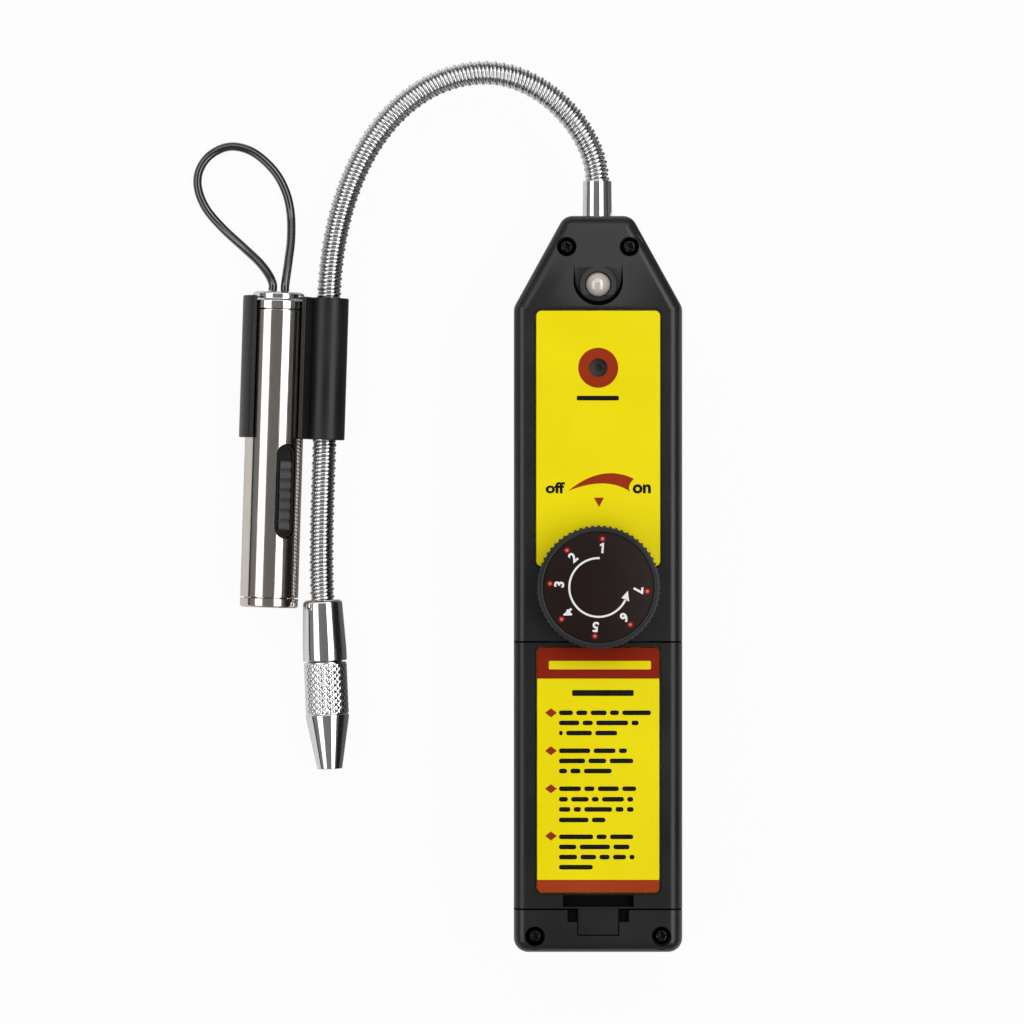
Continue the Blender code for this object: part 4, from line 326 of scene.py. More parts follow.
# Print on the labels and on the dial
TYPE_WEIGHT = 0.012
TYPE_RESOLUTION = 5
# The dark line round each label is painted shadow of the gap round it.
LABEL_SHADOW_LINE = 0.00016
LABEL_SHADOW_MARGIN = 0.00002
FIELD_INSET = 0.00005
BAR_CORNER = 0.0003
RING_OVERLAP = 0.00003
BUZZER_RING_RADIUS = 0.00474
BUZZER_BAR = (-0.0001, 0.0440, 0.0050, 0.00055)
SWELL_TOP = ((-0.00717, 0.02199), (0.00100, 0.02860), (0.00847, 0.02487))
SWELL_UNDER = ((-0.00717, 0.02199), (0.00190, 0.02560), (0.00752, 0.02187))
SWELL_HOLLOW = 0.0006
SWELL_HOLLOW_SHARES = (0.2, 0.4, 0.6, 0.8)
SWELL_STEPS = 24
POINTER_PLACE = (0.00018, 0.0194)
POINTER_HALF_WIDTH = 0.0012
POINTER_RISE = 0.0010
POINTER_FALL = 0.0012
SIGN_WEIGHT = 0.038
NUMBER_WEIGHT = 0.035
OFF_ON_SIGNS = (
    ("off", -0.01019, 0.02275, 0.0027, 0.00455), ("on", 0.01033, 0.02248, 0.0022, 0.0043)
)
HEADER_BOTTOM = -0.0225
FOOTER_TOP = -0.0702
HEADER_BAR = (0.0004, -0.0193, 0.0121, 0.0010)
TITLE_BAR = (0.0011, -0.0259, 0.0073, 0.0007)
DIAMOND_X = -0.0112
DIAMOND_HALF_WIDTH = 0.00142
DIAMOND_HALF_HEIGHT = 0.00107
DIAMOND_YS = (-0.0306, -0.0396, -0.0486, -0.0598)
TEXT_LEFT = -0.0093
TEXT_HALF = 0.00055
TEXT_SPACE = 0.0008
TEXT_CORNER_SHARE = 0.8
TEXT_ROWS = (
    (-0.0306, (0.0033, 0.0026, 0.0038, 0.0021, 0.0068)),
    (-0.0330, (0.0048, 0.0024, 0.0076, 0.0017)),
    (-0.0354, (0.0009, 0.0061, 0.0052)),
    (-0.0396, (0.0074, 0.0052, 0.0019)),
    (-0.0420, (0.0062, 0.0042, 0.0056)),
    (-0.0444, (0.0019, 0.0024, 0.0066)),
    (-0.0486, (0.0052, 0.0024, 0.0050, 0.0033)),
    (-0.0511, (0.0021, 0.0041, 0.0016, 0.0052, 0.0014)),
    (-0.0535, (0.0027, 0.0017, 0.0066, 0.0019, 0.0016)),
    (-0.0560, (0.0070, 0.0032)),
    (-0.0600, (0.0081, 0.0024, 0.0055)),
    (-0.0624, (0.0041, 0.0072, 0.0038)),
    (-0.0648, (0.0043, 0.0037, 0.0024, 0.0031, 0.0012)),
    (-0.0672, (0.0080,)),
)
DIAL_NUMBERS = 7
DIAL_FIRST_ANGLE = math.radians(85.5)
DIAL_NUMBER_STEP = math.pi / 4
DIAL_NUMBER_RADIUS = 0.00934
DIAL_NUMBER_HEIGHT = 0.00243
DIAL_DOT_RADIUS = 0.01151
DIAL_DOT_SIZE = 0.00036
DIAL_DOT_EDGE = 0.00074
NUMBER_ONE = (
    (-0.01, -0.5), (0.19, -0.5), (0.19, 0.5), (0.05, 0.5), (-0.20, 0.33), (-0.20, 0.15),
    (-0.01, 0.26)
)
DIAL_ARROW_RADIUS = 0.00693
DIAL_ARROW_LINE = 0.00047
DIAL_ARROW_TURN = (math.radians(88.0), math.radians(337.0))
DIAL_ARROW_HEAD = 0.0020
DIAL_ARROW_HALF = 0.0010
DIAL_ARROW_STEPS = 72
DIAL_ARROW_LAP = 0.03

# Camera, floor and lamps
CAMERA_PLACE = (-0.02044, 0.0170, 1.6)
CAMERA_LENS = 232.1
CAMERA_SENSOR = 36.0
CAMERA_CLIPS = (0.05, 20.0)
FLOOR_HALF = 3.0
FLOOR_HEIGHT = -0.00005
FLOOR_GREY = 0.75
FLOOR_ROUGHNESS = 0.9
FLOOR_SHARE = 0.95
FLOOR_MIRROR_SHARE = 0.28
# The floor darker to mirror rays right of the torch, the neck and the probe: painted reflection
# shade.
FLOOR_SHADE = 0.85
FLOOR_SHADE_RAMP = (0.10, 0.50)
FLOOR_SHADE_LIMITS = (-0.018, 0.090)
LAMP_AIM = (-0.04, 0.02, 0.015)
RIGHT_LAMP = ((0.461, 0.02, 0.731), (1.44, 0.456), 5.2)
LEFT_LAMP = ((-0.464, 0.02, 0.470), (0.90, 0.32), 1.6)
TOP_LAMP = ((0.0, 0.75, 0.80), (1.20, 0.80), 3.3)
WORLD_LEVELS = ((0.0, 0.02), (0.10, 0.03), (0.17, 0.21), (0.55, 0.24), (0.90, 0.22), (1.0, 0.19))
WORLD_RIGHT = (0.12, 0.60, 0.55)

# Finish of the forms
FINE_TURN = 96
ROUND_TURN = 48
SCREW_TURN = 32
SMALL_TURN = 24
TOOTH_TURN = 10
CAP_STEPS = 24
SMOOTH_ANGLE = math.radians(32.0)
FLAT_ANGLE = math.radians(0.5)
BROKEN_ANGLE = math.radians(40.0)
FLAT_WEIGHT = 80
SOFTENED_SHARE = 0.45
AXIS_REACH = 0.0000001
WELD = 0.000004
TYPE_WELD = 0.000001
NOISE_MIDDLE = (0.3, 0.7)
SMUDGE_SCALE = 140.0
SCATTER_REACH = (0.0020, 0.0016, 0.0012)
CUT, ADD, KEEP = "DIFFERENCE", "UNION", "INTERSECT"

# Worked-out places: the neck's seat, and how the leg and the probe run down from its arch
NECK_PLACE = (
    Matrix.Translation((0.0, BODY_TOP, PARTING_HEIGHT)) @ Matrix.Rotation(-math.pi / 2, 4, "X")
)
LEG_DOWN = Vector((-math.sin(LEG_TILT), -math.cos(LEG_TILT), 0.0))
PROBE_DOWN = Vector((-math.sin(PROBE_TILT), -math.cos(PROBE_TILT), 0.0))


# Node groups and finishes

def new_node(tree, kind, **settings):
    made = tree.nodes.new(kind)
    for name, value in settings.items():
        setattr(made, name, value)
    return made


def given(node, values):
    """A node with some of its inputs set, by their labels."""
    for label, value in values.items():
        node.inputs[label].default_value = value
    return node


def join(tree, out, into):
    tree.links.new(out, into)


def scalar(tree, operation, *values):
    """A math node on one or two values, each a socket or a number."""
    made = new_node(tree, "ShaderNodeMath", operation=operation)
    for socket, value in zip(made.inputs, values):
        if isinstance(value, (int, float)):
            socket.default_value = value
        else:
            join(tree, value, socket)
    return made.outputs["Value"]


def times(tree, *values):
    """The product of two or more values."""
    product = values[0]
    for value in values[1:]:
        product = scalar(tree, "MULTIPLY", product, value)
    return product


def vector_math(tree, operation, a, b):
    """A vector node on two vectors."""
    made = new_node(tree, "ShaderNodeVectorMath", operation=operation)
    join(tree, a, made.inputs[0])
    join(tree, b, made.inputs[1])
    return made.outputs["Vector"]


def parted(tree, vector):
    """The X, Y and Z of a vector."""
    parts = new_node(tree, "ShaderNodeSeparateXYZ")
    join(tree, vector, parts.inputs["Vector"])
    return parts.outputs


def node_group(tree_type, name, sockets_in, sockets_out):
    """A node group with its sockets: (name, kind, default) in and (name, kind) out."""
    group = bpy.data.node_groups.new(name, tree_type)
    for label, kind, default in sockets_in:
        socket = group.interface.new_socket(label, in_out="INPUT", socket_type="NodeSocket" + kind)
        if default is not None:
            socket.default_value = default
    for label, kind in sockets_out:
        group.interface.new_socket(label, in_out="OUTPUT", socket_type="NodeSocket" + kind)
    return group, group.nodes.new("NodeGroupInput"), group.nodes.new("NodeGroupOutput")


def noise(tree, vector, scale, **values):
    """The value of a noise; its scale is a socket or a number."""
    texture = given(new_node(tree, "ShaderNodeTexNoise"), values)
    join(tree, vector, texture.inputs["Vector"])
    if isinstance(scale, float):
        texture.inputs["Scale"].default_value = scale
    else:
        join(tree, scale, texture.inputs["Scale"])
    return texture.outputs["Fac"]


def mould_grain_group():
    """Fine eroded grain of a mould, with the slow change of shade over a large moulding."""
    group, inside, outside = node_group(
        "ShaderNodeTree", "mould grain",
        [
            ("Vector", "Vector", None), ("Grain Scale", "Float", 3000.0),
            ("Shade Scale", "Float", 60.0),
        ],
        [("Grain", "Float"), ("Shade", "Float")],
    )
    place, grain_scale, shade_scale = inside.outputs[:3]
    grain = noise(group, place, grain_scale, Detail=3.0, Roughness=0.6)
    join(group, grain, outside.inputs["Grain"])
    join(group, noise(group, place, shade_scale, Detail=2.0), outside.inputs["Shade"])
    return group


def draw_lines_group():
    """The long fine lines that drawing, turning or brushing leaves on metal."""
    group, inside, outside = node_group(
        "ShaderNodeTree", "draw lines",
        [
            ("Vector", "Vector", None), ("Stretch", "Vector", (1.0, 1.0, 1.0)),
            ("Line Scale", "Float", 2500.0),
        ],
        [("Lines", "Float"), ("Smudge", "Float")],
    )
    place, stretch, line_scale = inside.outputs[:3]
    drawn = vector_math(group, "MULTIPLY", place, stretch)
    join(group, noise(group, drawn, line_scale, Detail=4.0, Roughness=0.7), outside.inputs["Lines"])
    join(group, noise(group, place, SMUDGE_SCALE, Detail=3.0), outside.inputs["Smudge"])
    return group


MOULD_GRAIN = mould_grain_group()
DRAW_LINES = draw_lines_group()


def start_material(name):
    material = bpy.data.materials.new(name)
    material.use_nodes = True
    tree = material.node_tree
    shader = tree.nodes["Principled BSDF"]
    place = new_node(tree, "ShaderNodeTexCoord")
    return material, tree, shader, place.outputs["Object"]


def ranged(tree, value, low, high, source=NOISE_MIDDLE):
    """A value mapped from its source range, which for a noise lies round its middle."""
    start, end = source
    spread = given(new_node(tree, "ShaderNodeMapRange"), {
        "From Min": start, "From Max": end, "To Min": low, "To Max": high
    })
    join(tree, value, spread.inputs["Value"])
    return spread.outputs["Result"]


def mixed(tree, share, colour_a, colour_b):
    blend = new_node(tree, "ShaderNodeMix", data_type="RGBA")
    join(tree, share, blend.inputs["Factor"])
    blend.inputs["A"].default_value = (*colour_a, 1.0)
    blend.inputs["B"].default_value = (*colour_b, 1.0)
    return blend.outputs["Result"]


def bumped(tree, shader, height, distance):
    bump = given(new_node(tree, "ShaderNodeBump"), {"Distance": distance, "Strength": 1.0})
    join(tree, height, bump.inputs["Height"])
    join(tree, bump.outputs["Normal"], shader.inputs["Normal"])


def patterned(name, group, values, labels, colours, roughness, spread, depth):
    """A finish whose tint, gloss and relief follow three outputs of a shared pattern."""
    material, tree, shader, place = start_material(name)
    pattern = given(new_node(tree, "ShaderNodeGroup", node_tree=group), values)
    join(tree, place, pattern.inputs["Vector"])
    tint, gloss, relief = (pattern.outputs[label] for label in labels)
    join(tree, mixed(tree, ranged(tree, tint, 0.0, 1.0), *colours), shader.inputs["Base Color"])
    polish = ranged(tree, gloss, roughness - spread, roughness + spread)
    join(tree, polish, shader.inputs["Roughness"])
    bumped(tree, shader, relief, depth)
    return material, shader


def moulded(name, dark, light, roughness, spread=0.06, grain_scale=3000.0, grain_depth=0.0000018,
            coat=0.0, coat_roughness=0.1, scatter=0.0, ior=1.46):
    """A moulded, printed or sleeved finish with its grain, its slow shade and its gloss."""
    material, shader = patterned(
        name, MOULD_GRAIN, {"Grain Scale": grain_scale}, ("Shade", "Shade", "Grain"),
        (dark, light), roughness, spread, grain_depth
    )
    given(shader, {"IOR": ior, "Coat Weight": coat, "Coat Roughness": coat_roughness})
    if scatter > 0.0:
        given(shader, {"Subsurface Weight": scatter, "Subsurface Radius": SCATTER_REACH})
    return material


def ink(name, dark, light):
    """A printed colour: flat, fine-grained and low in gloss."""
    return moulded(name, dark, light, 0.45, 0.03, 1500.0, 0.0000012, ior=1.22)


def metal(name, dark, light, roughness, spread=0.04, stretch=(1.0, 1.0, 1.0), line_scale=2500.0,
          line_depth=0.0000006):
    """A metal finish with the lines of its making and faint smudges in its gloss."""
    material, shader = patterned(
        name, DRAW_LINES, {"Stretch": stretch, "Line Scale": line_scale},
        ("Lines", "Smudge", "Lines"), (dark, light), roughness, spread, line_depth
    )
    given(shader, {"Metallic": 1.0})
    return material


def clear_plastic(name, tint):
    material, tree, shader, place = start_material(name)
    grain = given(new_node(tree, "ShaderNodeGroup", node_tree=MOULD_GRAIN), {"Grain Scale": 900.0})
    join(tree, place, grain.inputs["Vector"])
    join(tree, ranged(tree, grain.outputs["Shade"], 0.02, 0.07), shader.inputs["Roughness"])
    given(shader, {"Base Color": (*tint, 1.0), "Transmission Weight": 1.0, "IOR": 1.49})
    return material


CASING = moulded(
    "charcoal casing plastic", (0.0125, 0.0120, 0.0120), (0.0165, 0.0160, 0.0160), 0.27, 0.04
)
DOOR = moulded(
    "charcoal door plastic", (0.0105, 0.0100, 0.0100), (0.0140, 0.0135, 0.0135), 0.30, 0.04,
    ior=1.42
)
DIAL_BLACK = moulded(
    "satin black dial", (0.0200, 0.0190, 0.0210), (0.0290, 0.0280, 0.0300), 0.24, 0.05
)
DIAL_FACE = moulded(
    "brown-black dial face", (0.0120, 0.0052, 0.0040), (0.0145, 0.0066, 0.0052), 0.42, 0.03,
    1800.0, 0.000004, ior=1.26
)
LABEL_YELLOW = moulded(
    "yellow label film", (0.84, 0.700, 0.0010), (0.88, 0.745, 0.0016), 0.45, 0.04,
    1500.0, 0.0000012, ior=1.22
)
INK_BROWN_RED = ink("brown-red ink", (0.29, 0.025, 0.0020), (0.33, 0.030, 0.0030))
INK_BLACK = ink("black ink", (0.0040, 0.0035, 0.0030), (0.0070, 0.0060, 0.0050))
INK_WHITE = ink("white ink", (0.78, 0.78, 0.77), (0.84, 0.84, 0.83))
INK_HEADER = ink("header red ink", (0.24, 0.012, 0.0010), (0.27, 0.015, 0.0015))
INK_FOOTER = ink("footer red ink", (0.33, 0.038, 0.0070), (0.37, 0.045, 0.0090))
INK_RED = ink("red dot ink", (0.68, 0.15, 0.105), (0.76, 0.18, 0.125))
INK_DEEP_RED = ink("deep red dot edge ink", (0.22, 0.007, 0.006), (0.27, 0.009, 0.007))
LAMP_MILKY = moulded(
    "milky lamp plastic", (0.50, 0.445, 0.395), (0.60, 0.535, 0.48), 0.14, 0.04, 900.0, 0.000002,
    coat=1.0, coat_roughness=0.05, scatter=0.35
)
given(LAMP_MILKY.node_tree.nodes["Principled BSDF"], {"Coat IOR": 2.0})
# A near-black that stands in for the shade in narrow recesses: painted shade.
RECESS_PAINTED_SHADE = moulded(
    "unlit black of a recess", (0.0016, 0.0016, 0.0016), (0.0026, 0.0026, 0.0026), 0.5, 0.05,
    ior=1.15
)
BED_BLACK = moulded(
    "dull black switch bed", (0.0035, 0.0035, 0.0035), (0.0060, 0.0060, 0.0060), 0.35, 0.05, ior=1.3
)
COMPONENT_BLACK = moulded(
    "black component plastic", (0.012, 0.012, 0.013), (0.020, 0.020, 0.021), 0.45
)
BUZZER_CAN = moulded("dim buzzer can", (0.060, 0.045, 0.040), (0.085, 0.065, 0.058), 0.40)
BOARD_GREEN = moulded(
    "green solder resist", (0.010, 0.095, 0.028), (0.018, 0.135, 0.042), 0.38, 0.05, 1600.0
)
SLEEVE_BLUE = moulded("blue shrink sleeve", (0.016, 0.050, 0.22), (0.024, 0.070, 0.28), 0.34)
CORE_BROWN = moulded(
    "varnished winding", (0.17, 0.09, 0.028), (0.26, 0.14, 0.050), 0.40, 0.08, 1400.0
)
CELL_SLEEVE = moulded("cell sleeve", (0.035, 0.085, 0.050), (0.055, 0.115, 0.072), 0.30, 0.05)
HOLDER_RUBBER = moulded(
    "matt black rubber", (0.009, 0.009, 0.009), (0.014, 0.014, 0.014), 0.34, 0.05,
    2200.0, 0.000003, ior=1.42
)
# A black switch's own colour, lightened to stand in for its glossy highlights: painted sheen.
SWITCH_BLACK_PAINTED_SHEEN = moulded(
    "glossy black switch", (0.046, 0.046, 0.048), (0.070, 0.070, 0.072), 0.20, 0.04,
    1600.0, 0.000003, coat=0.6, coat_roughness=0.08, ior=1.6
)
LOOP_CORD = moulded(
    "glossy black cord", (0.004, 0.004, 0.004), (0.008, 0.008, 0.007), 0.10, 0.03,
    1300.0, 0.000002, coat=1.0, coat_roughness=0.04, ior=1.7
)
LEAD_GREY = moulded("grey lead sleeve", (0.12, 0.12, 0.125), (0.17, 0.17, 0.175), 0.45)
CERAMIC = moulded("pale sensor ceramic", (0.62, 0.58, 0.50), (0.74, 0.70, 0.62), 0.55, 0.06, 1800.0)
CHROME = metal(
    "polished chrome", (0.72, 0.72, 0.73), (0.80, 0.80, 0.81), 0.07, 0.02, line_depth=0.0000002
)
NICKEL = metal("bright nickel", (0.62, 0.60, 0.56), (0.74, 0.72, 0.68), 0.18)
NECK_STEEL = metal(
    "bright spring wire", (0.62, 0.62, 0.63), (0.76, 0.76, 0.77), 0.07, 0.03,
    line_depth=0.0000003
)
# The neck's dark core stands in for the shade in the gaps between the wires: painted shade.
NECK_CORE_GROOVE_SHADE = metal("dark neck core", (0.030, 0.030, 0.030), (0.055, 0.055, 0.055), 0.45)
TORCH_STEEL = metal(
    "satin torch steel", (0.62, 0.570, 0.520), (0.70, 0.645, 0.595), 0.10, 0.03, (1.0, 0.03, 1.0),
    5200.0, 0.0000001
)
SCREW_STEEL = metal("black screw steel", (0.014, 0.014, 0.015), (0.030, 0.030, 0.032), 0.24, 0.06)
LENS = clear_plastic("clear torch lens", (0.92, 0.95, 0.97))


# Shapes

def show(name, data):
    obj = bpy.data.objects.new(name, data)
    bpy.context.scene.collection.objects.link(obj)
    return obj


def evaluated_mesh(*objs):
    """The finished mesh of the first object; the objects themselves go."""
    graph = bpy.context.evaluated_depsgraph_get()
    mesh = bpy.data.meshes.new_from_object(objs[0].evaluated_get(graph))
    for obj in objs:
        bpy.data.objects.remove(obj, do_unlink=True)
    return mesh


@contextmanager
def editing(mesh):
    bm = bmesh.new()
    bm.from_mesh(mesh)
    yield bm
    bm.to_mesh(mesh)
    bm.free()


def coated(name, mesh, material):
    """Shows a mesh under its name, all of it in one finish."""
    mesh.name = name
    mesh.materials.clear()
    mesh.materials.append(material)
    return show(name, mesh)


def rounded_shading(mesh, sharp=SMOOTH_ANGLE):
    """Shades a mesh smooth where it is round and crisp at its corners."""
    mesh.shade_smooth()
    mesh.set_sharp_from_angle(angle=sharp)
    return mesh


def piece(name, mesh, material, sharp=SMOOTH_ANGLE):
    """A finished piece at the origin."""
    return coated(name, rounded_shading(mesh, sharp), material)


def named(nodes):
    """Hides the solids that a piece stands for."""
    if nodes:
        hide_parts(*nodes)


def dress(obj, slot, body, *nodes):
    """Hangs a rigid piece on the body it moves with and hides the solids it stands for."""
    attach(obj, body)
    named(nodes)


def dress_bent(obj, slot, *nodes):
    """The same for a piece shaped along the neck, between the casing and the probe: its placing is
    baked into its mesh instead of hanging it on a body.
    """
    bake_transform(obj)
    named(nodes)


def together(name, meshes):
    """One mesh of several, each keeping its own faces."""
    bm = bmesh.new()
    for mesh in meshes:
        bm.from_mesh(mesh)
    whole = bpy.data.meshes.new(name)
    bm.to_mesh(whole)
    bm.free()
    return whole


def welded(mesh, distance=WELD):
    with editing(mesh) as bm:
        bmesh.ops.remove_doubles(bm, verts=bm.verts, dist=distance)
        bmesh.ops.recalc_face_normals(bm, faces=bm.faces)
    return mesh


def bow(start, pull, end, steps):
    """Points along the bow from a start to an end, pulled by the spot between them."""
    shares = [step / steps for step in range(steps + 1)]
    return [tuple(start * (1 - t) ** 2 + pull * 2 * t * (1 - t) + end * t ** 2) for t in shares]


def corners_of(corners):
    """Each corner of a closed outline with its neighbours behind and ahead, as vectors."""
    spots = [Vector(corner) for corner in corners]
    return list(zip(spots[-1:] + spots[:-1], spots, spots[1:] + spots[:1]))


def softened(corners, radius, steps=4, closed=True):
    """An outline or section with each corner turned into a small even curve."""
    points = []
    for index, (behind, here, beyond) in enumerate(corners_of(corners)):
        if not closed and index in (0, len(corners) - 1):
            points.append(tuple(here))
            continue
        back, ahead = behind - here, beyond - here
        reach = min(radius, SOFTENED_SHARE * back.length, SOFTENED_SHARE * ahead.length)
        start = here + back.normalized() * reach
        points += bow(start, here, here + ahead.normalized() * reach, steps)
    return points


def lathe(name, section, sides, place=Matrix(), closed=True):
    """A turned mesh from a section of (radius, height) points, round the place's Z axis."""
    bm = bmesh.new()
    rings = []
    for radius, height in section:
        spots = circle(radius, sides) if radius > AXIS_REACH else [(0.0, 0.0)]
        rings.append([bm.verts.new(place @ Vector((x, y, height))) for x, y in spots])
    pairs = list(zip(rings, rings[1:]))
    if closed:
        pairs.append((rings[-1], rings[0]))
    for low, high in pairs:
        for side in range(sides):
            after = (side + 1) % sides
            corners = [
                low[side % len(low)], low[after % len(low)],
                high[after % len(high)], high[side % len(high)],
            ]
            unique = list(dict.fromkeys(corners))
            if len(unique) > 2:
                bm.faces.new(unique)
    bmesh.ops.recalc_face_normals(bm, faces=bm.faces)
    mesh = bpy.data.meshes.new(name)
    bm.to_mesh(mesh)
    bm.free()
    return mesh


def add_line(curve, spots):
    """Adds a line of straight spans through the spots to a curve."""
    spline = curve.splines.new("POLY")
    spline.points.add(len(spots) - 1)
    for point, spot in zip(spline.points, spots):
        point.co = (*spot, 1.0)
    return spline


def plate(name, outlines, low, high, edge=0.0, place=Matrix(), edge_steps=3):
    """A flat mesh between two heights, its outline kept and its edges rounded."""
    curve = bpy.data.curves.new(name, "CURVE")
    curve.dimensions = "2D"
    curve.fill_mode = "BOTH"
    curve.extrude = (high - low) / 2 - edge
    curve.bevel_depth = edge
    curve.bevel_resolution = edge_steps
    curve.offset = -edge
    for outline in outlines:
        add_line(curve, [(x, y, 0.0) for x, y in outline]).use_cyclic_u = True
    mesh = evaluated_mesh(show(name, curve))
    mesh.transform(place @ Matrix.Translation((0.0, 0.0, (low + high) / 2)))
    return welded(mesh)


def block(name, low, high):
    return plate(name, [rectangle(*low[:2], *high[:2])], low[2], high[2])


def post(name, radius, low, high, x=0.0, y=0.0, sides=ROUND_TURN, place=Matrix()):
    section = [(0.0, low), (radius, low), (radius, high), (0.0, high)]
    return lathe(name, section, sides, place @ Matrix.Translation((x, y, 0.0)), closed=False)


def circle(radius, sides, x=0.0, y=0.0):
    angles = [math.tau * side / sides for side in range(sides)]
    return [(x + radius * math.cos(angle), y + radius * math.sin(angle)) for angle in angles]


def arc(x, y, radius, first, last, count):
    """Points along an arc about a centre, from a first angle to a last one."""
    angles = [first + (last - first) * step / count for step in range(count + 1)]
    return [(x + radius * math.cos(angle), y + radius * math.sin(angle)) for angle in angles]


def rectangle(x_low, y_low, x_high, y_high):
    return [(x_low, y_low), (x_high, y_low), (x_high, y_high), (x_low, y_high)]


def carved(name, body, steps, edge=0.0):
    """A mesh with others cut from it or added to it in turn, and its sharp edges just broken."""
    target = show(name, body)
    helpers = []
    for operation, mesh in steps:
        helper = show(mesh.name, mesh)
        modifier = target.modifiers.new(mesh.name, "BOOLEAN")
        modifier.operation = operation
        modifier.solver = "EXACT"
        modifier.object = helper
        helpers.append(helper)
    mesh = welded(evaluated_mesh(target, *helpers))
    return edges_broken(name, mesh, edge) if edge > 0.0 else mesh


def edges_broken(name, mesh, edge):
    """The mesh with a narrow rounded bevel on its sharp edges."""
    with editing(mesh) as bm:
        bmesh.ops.dissolve_limit(
            bm, angle_limit=FLAT_ANGLE, verts=bm.verts, edges=bm.edges,
            use_dissolve_boundaries=False
        )
    target = show(name, mesh)
    bevel = target.modifiers.new("broken edges", "BEVEL")
    bevel.width = edge
    bevel.segments = 2
    bevel.limit_method = "ANGLE"
    bevel.angle_limit = BROKEN_ANGLE
    bevel.use_clamp_overlap = True
    return evaluated_mesh(target)


def piece_frame(origin, down, turn=0.0):
    """The frame of a piece: Z along it, Y to the front and X to the right."""
    axis_z = down.normalized()
    front = Vector((0.0, 0.0, 1.0))
    axis_y = (front - front.dot(axis_z) * axis_z).normalized()
    axis_x = axis_y.cross(axis_z)
    rotation = Matrix((axis_x, axis_y, axis_z)).transposed().to_4x4()
    return Matrix.Translation(origin) @ rotation @ Matrix.Rotation(turn, 4, "Z")


def turned(name, section, place, material, slot, body, *nodes, closed=True):
    """A finished turned piece, with what is said about it."""
    mesh = lathe(name, section, FINE_TURN, place, closed)
    dress(piece(name, mesh, material), slot, body, *nodes)


# Geometry node trees

def geometry_tree(name, inputs):
    """A geometry tree with named inputs of (name, kind, default)."""
    through = ("Geometry", "Geometry")
    return node_group("GeometryNodeTree", name, [(*through, None), *inputs], [through])


def end_tree(tree, inside, outside, geometry):
    """Realizes what the tree made and gives it its material."""
    real = new_node(tree, "GeometryNodeRealizeInstances")
    finish = new_node(tree, "GeometryNodeSetMaterial")
    join(tree, geometry, real.inputs["Geometry"])
    join(tree, real.outputs["Geometry"], finish.inputs["Geometry"])
    join(tree, inside.outputs["Material"], finish.inputs["Material"])
    join(tree, finish.outputs["Geometry"], outside.inputs["Geometry"])


def grown(name, mesh, tree, values):
    """The plain mesh that a geometry tree makes from a starting mesh."""
    seed = show(name, mesh)
    modifier = seed.modifiers.new(tree.name, "NODES")
    modifier.node_group = tree
    for item in tree.interface.items_tree:
        if item.item_type == "SOCKET" and item.in_out == "INPUT" and item.name in values:
            modifier[item.identifier] = values[item.name]
    return evaluated_mesh(seed)


def scaled(tree, vector, amount):
    """A vector times a number."""
    made = new_node(tree, "ShaderNodeVectorMath", operation="SCALE")
    join(tree, vector, made.inputs[0])
    join(tree, amount, made.inputs["Scale"])
    return made.outputs["Vector"]


def wound_wire(tree, inside, line, prefix):
    """Winds one wire of the neck round the line and returns its geometry."""
    given_in = inside.outputs
    length = new_node(tree, "GeometryNodeCurveLength")
    join(tree, line, length.inputs["Curve"])
    turns = scalar(tree, "DIVIDE", length.outputs["Length"], given_in["Pitch"])
    spaced = new_node(tree, "GeometryNodeResampleCurve")
    join(tree, line, spaced.inputs["Curve"])
    join(tree, times(tree, turns, given_in["Points per Turn"]), spaced.inputs["Count"])
    along = new_node(tree, "GeometryNodeSplineParameter").outputs["Length"]
    share = scalar(tree, "DIVIDE", along, given_in["Pitch"])
    angle = times(tree, scalar(tree, "ADD", share, given_in[prefix + " Phase"]), math.tau)
    tangent = new_node(tree, "GeometryNodeInputTangent").outputs["Tangent"]
    normal = new_node(tree, "GeometryNodeInputNormal").outputs["Normal"]
    across = vector_math(tree, "CROSS_PRODUCT", tangent, normal)
    coil = given_in[prefix + " Coil Radius"]
    over = scaled(tree, normal, times(tree, scalar(tree, "COSINE", angle), coil))
    aside = scaled(tree, across, times(tree, scalar(tree, "SINE", angle), coil))
    helix = new_node(tree, "GeometryNodeSetPosition")
    join(tree, spaced.outputs["Curve"], helix.inputs["Geometry"])
    join(tree, vector_math(tree, "ADD", over, aside), helix.inputs["Offset"])
    section = new_node(tree, "GeometryNodeCurvePrimitiveCircle")
    join(tree, given_in["Wire Sides"], section.inputs["Resolution"])
    join(tree, given_in[prefix + " Radius"], section.inputs["Radius"])
    drawn = given(new_node(tree, "GeometryNodeCurveToMesh"), {"Fill Caps": True})
    join(tree, helix.outputs["Geometry"], drawn.inputs["Curve"])
    join(tree, section.outputs["Curve"], drawn.inputs["Profile Curve"])
    return drawn.outputs["Mesh"]


def gooseneck_tree():
    """The wound neck: a round wire with a wedge wire in its groove, along a line of points."""
    tree, inside, outside = geometry_tree("wound gooseneck", [
        ("Pitch", "Float", 0.002),
        ("Points per Turn", "Float", 20.0),
        ("Wire Sides", "Int", 8),
        ("Round Radius", "Float", 0.0005),
        ("Round Coil Radius", "Float", 0.0025),
        ("Round Phase", "Float", 0.0),
        ("Wedge Radius", "Float", 0.0004),
        ("Wedge Coil Radius", "Float", 0.0023),
        ("Wedge Phase", "Float", 0.5),
        ("Material", "Material", None),
    ])
    line = new_node(tree, "GeometryNodeMeshToCurve")
    join(tree, inside.outputs["Geometry"], line.inputs["Mesh"])
    both = new_node(tree, "GeometryNodeJoinGeometry")
    for prefix in ("Round", "Wedge"):
        join(tree, wound_wire(tree, inside, line.outputs["Curve"], prefix), both.inputs["Geometry"])
    end_tree(tree, inside, outside, both.outputs["Geometry"])
    return tree


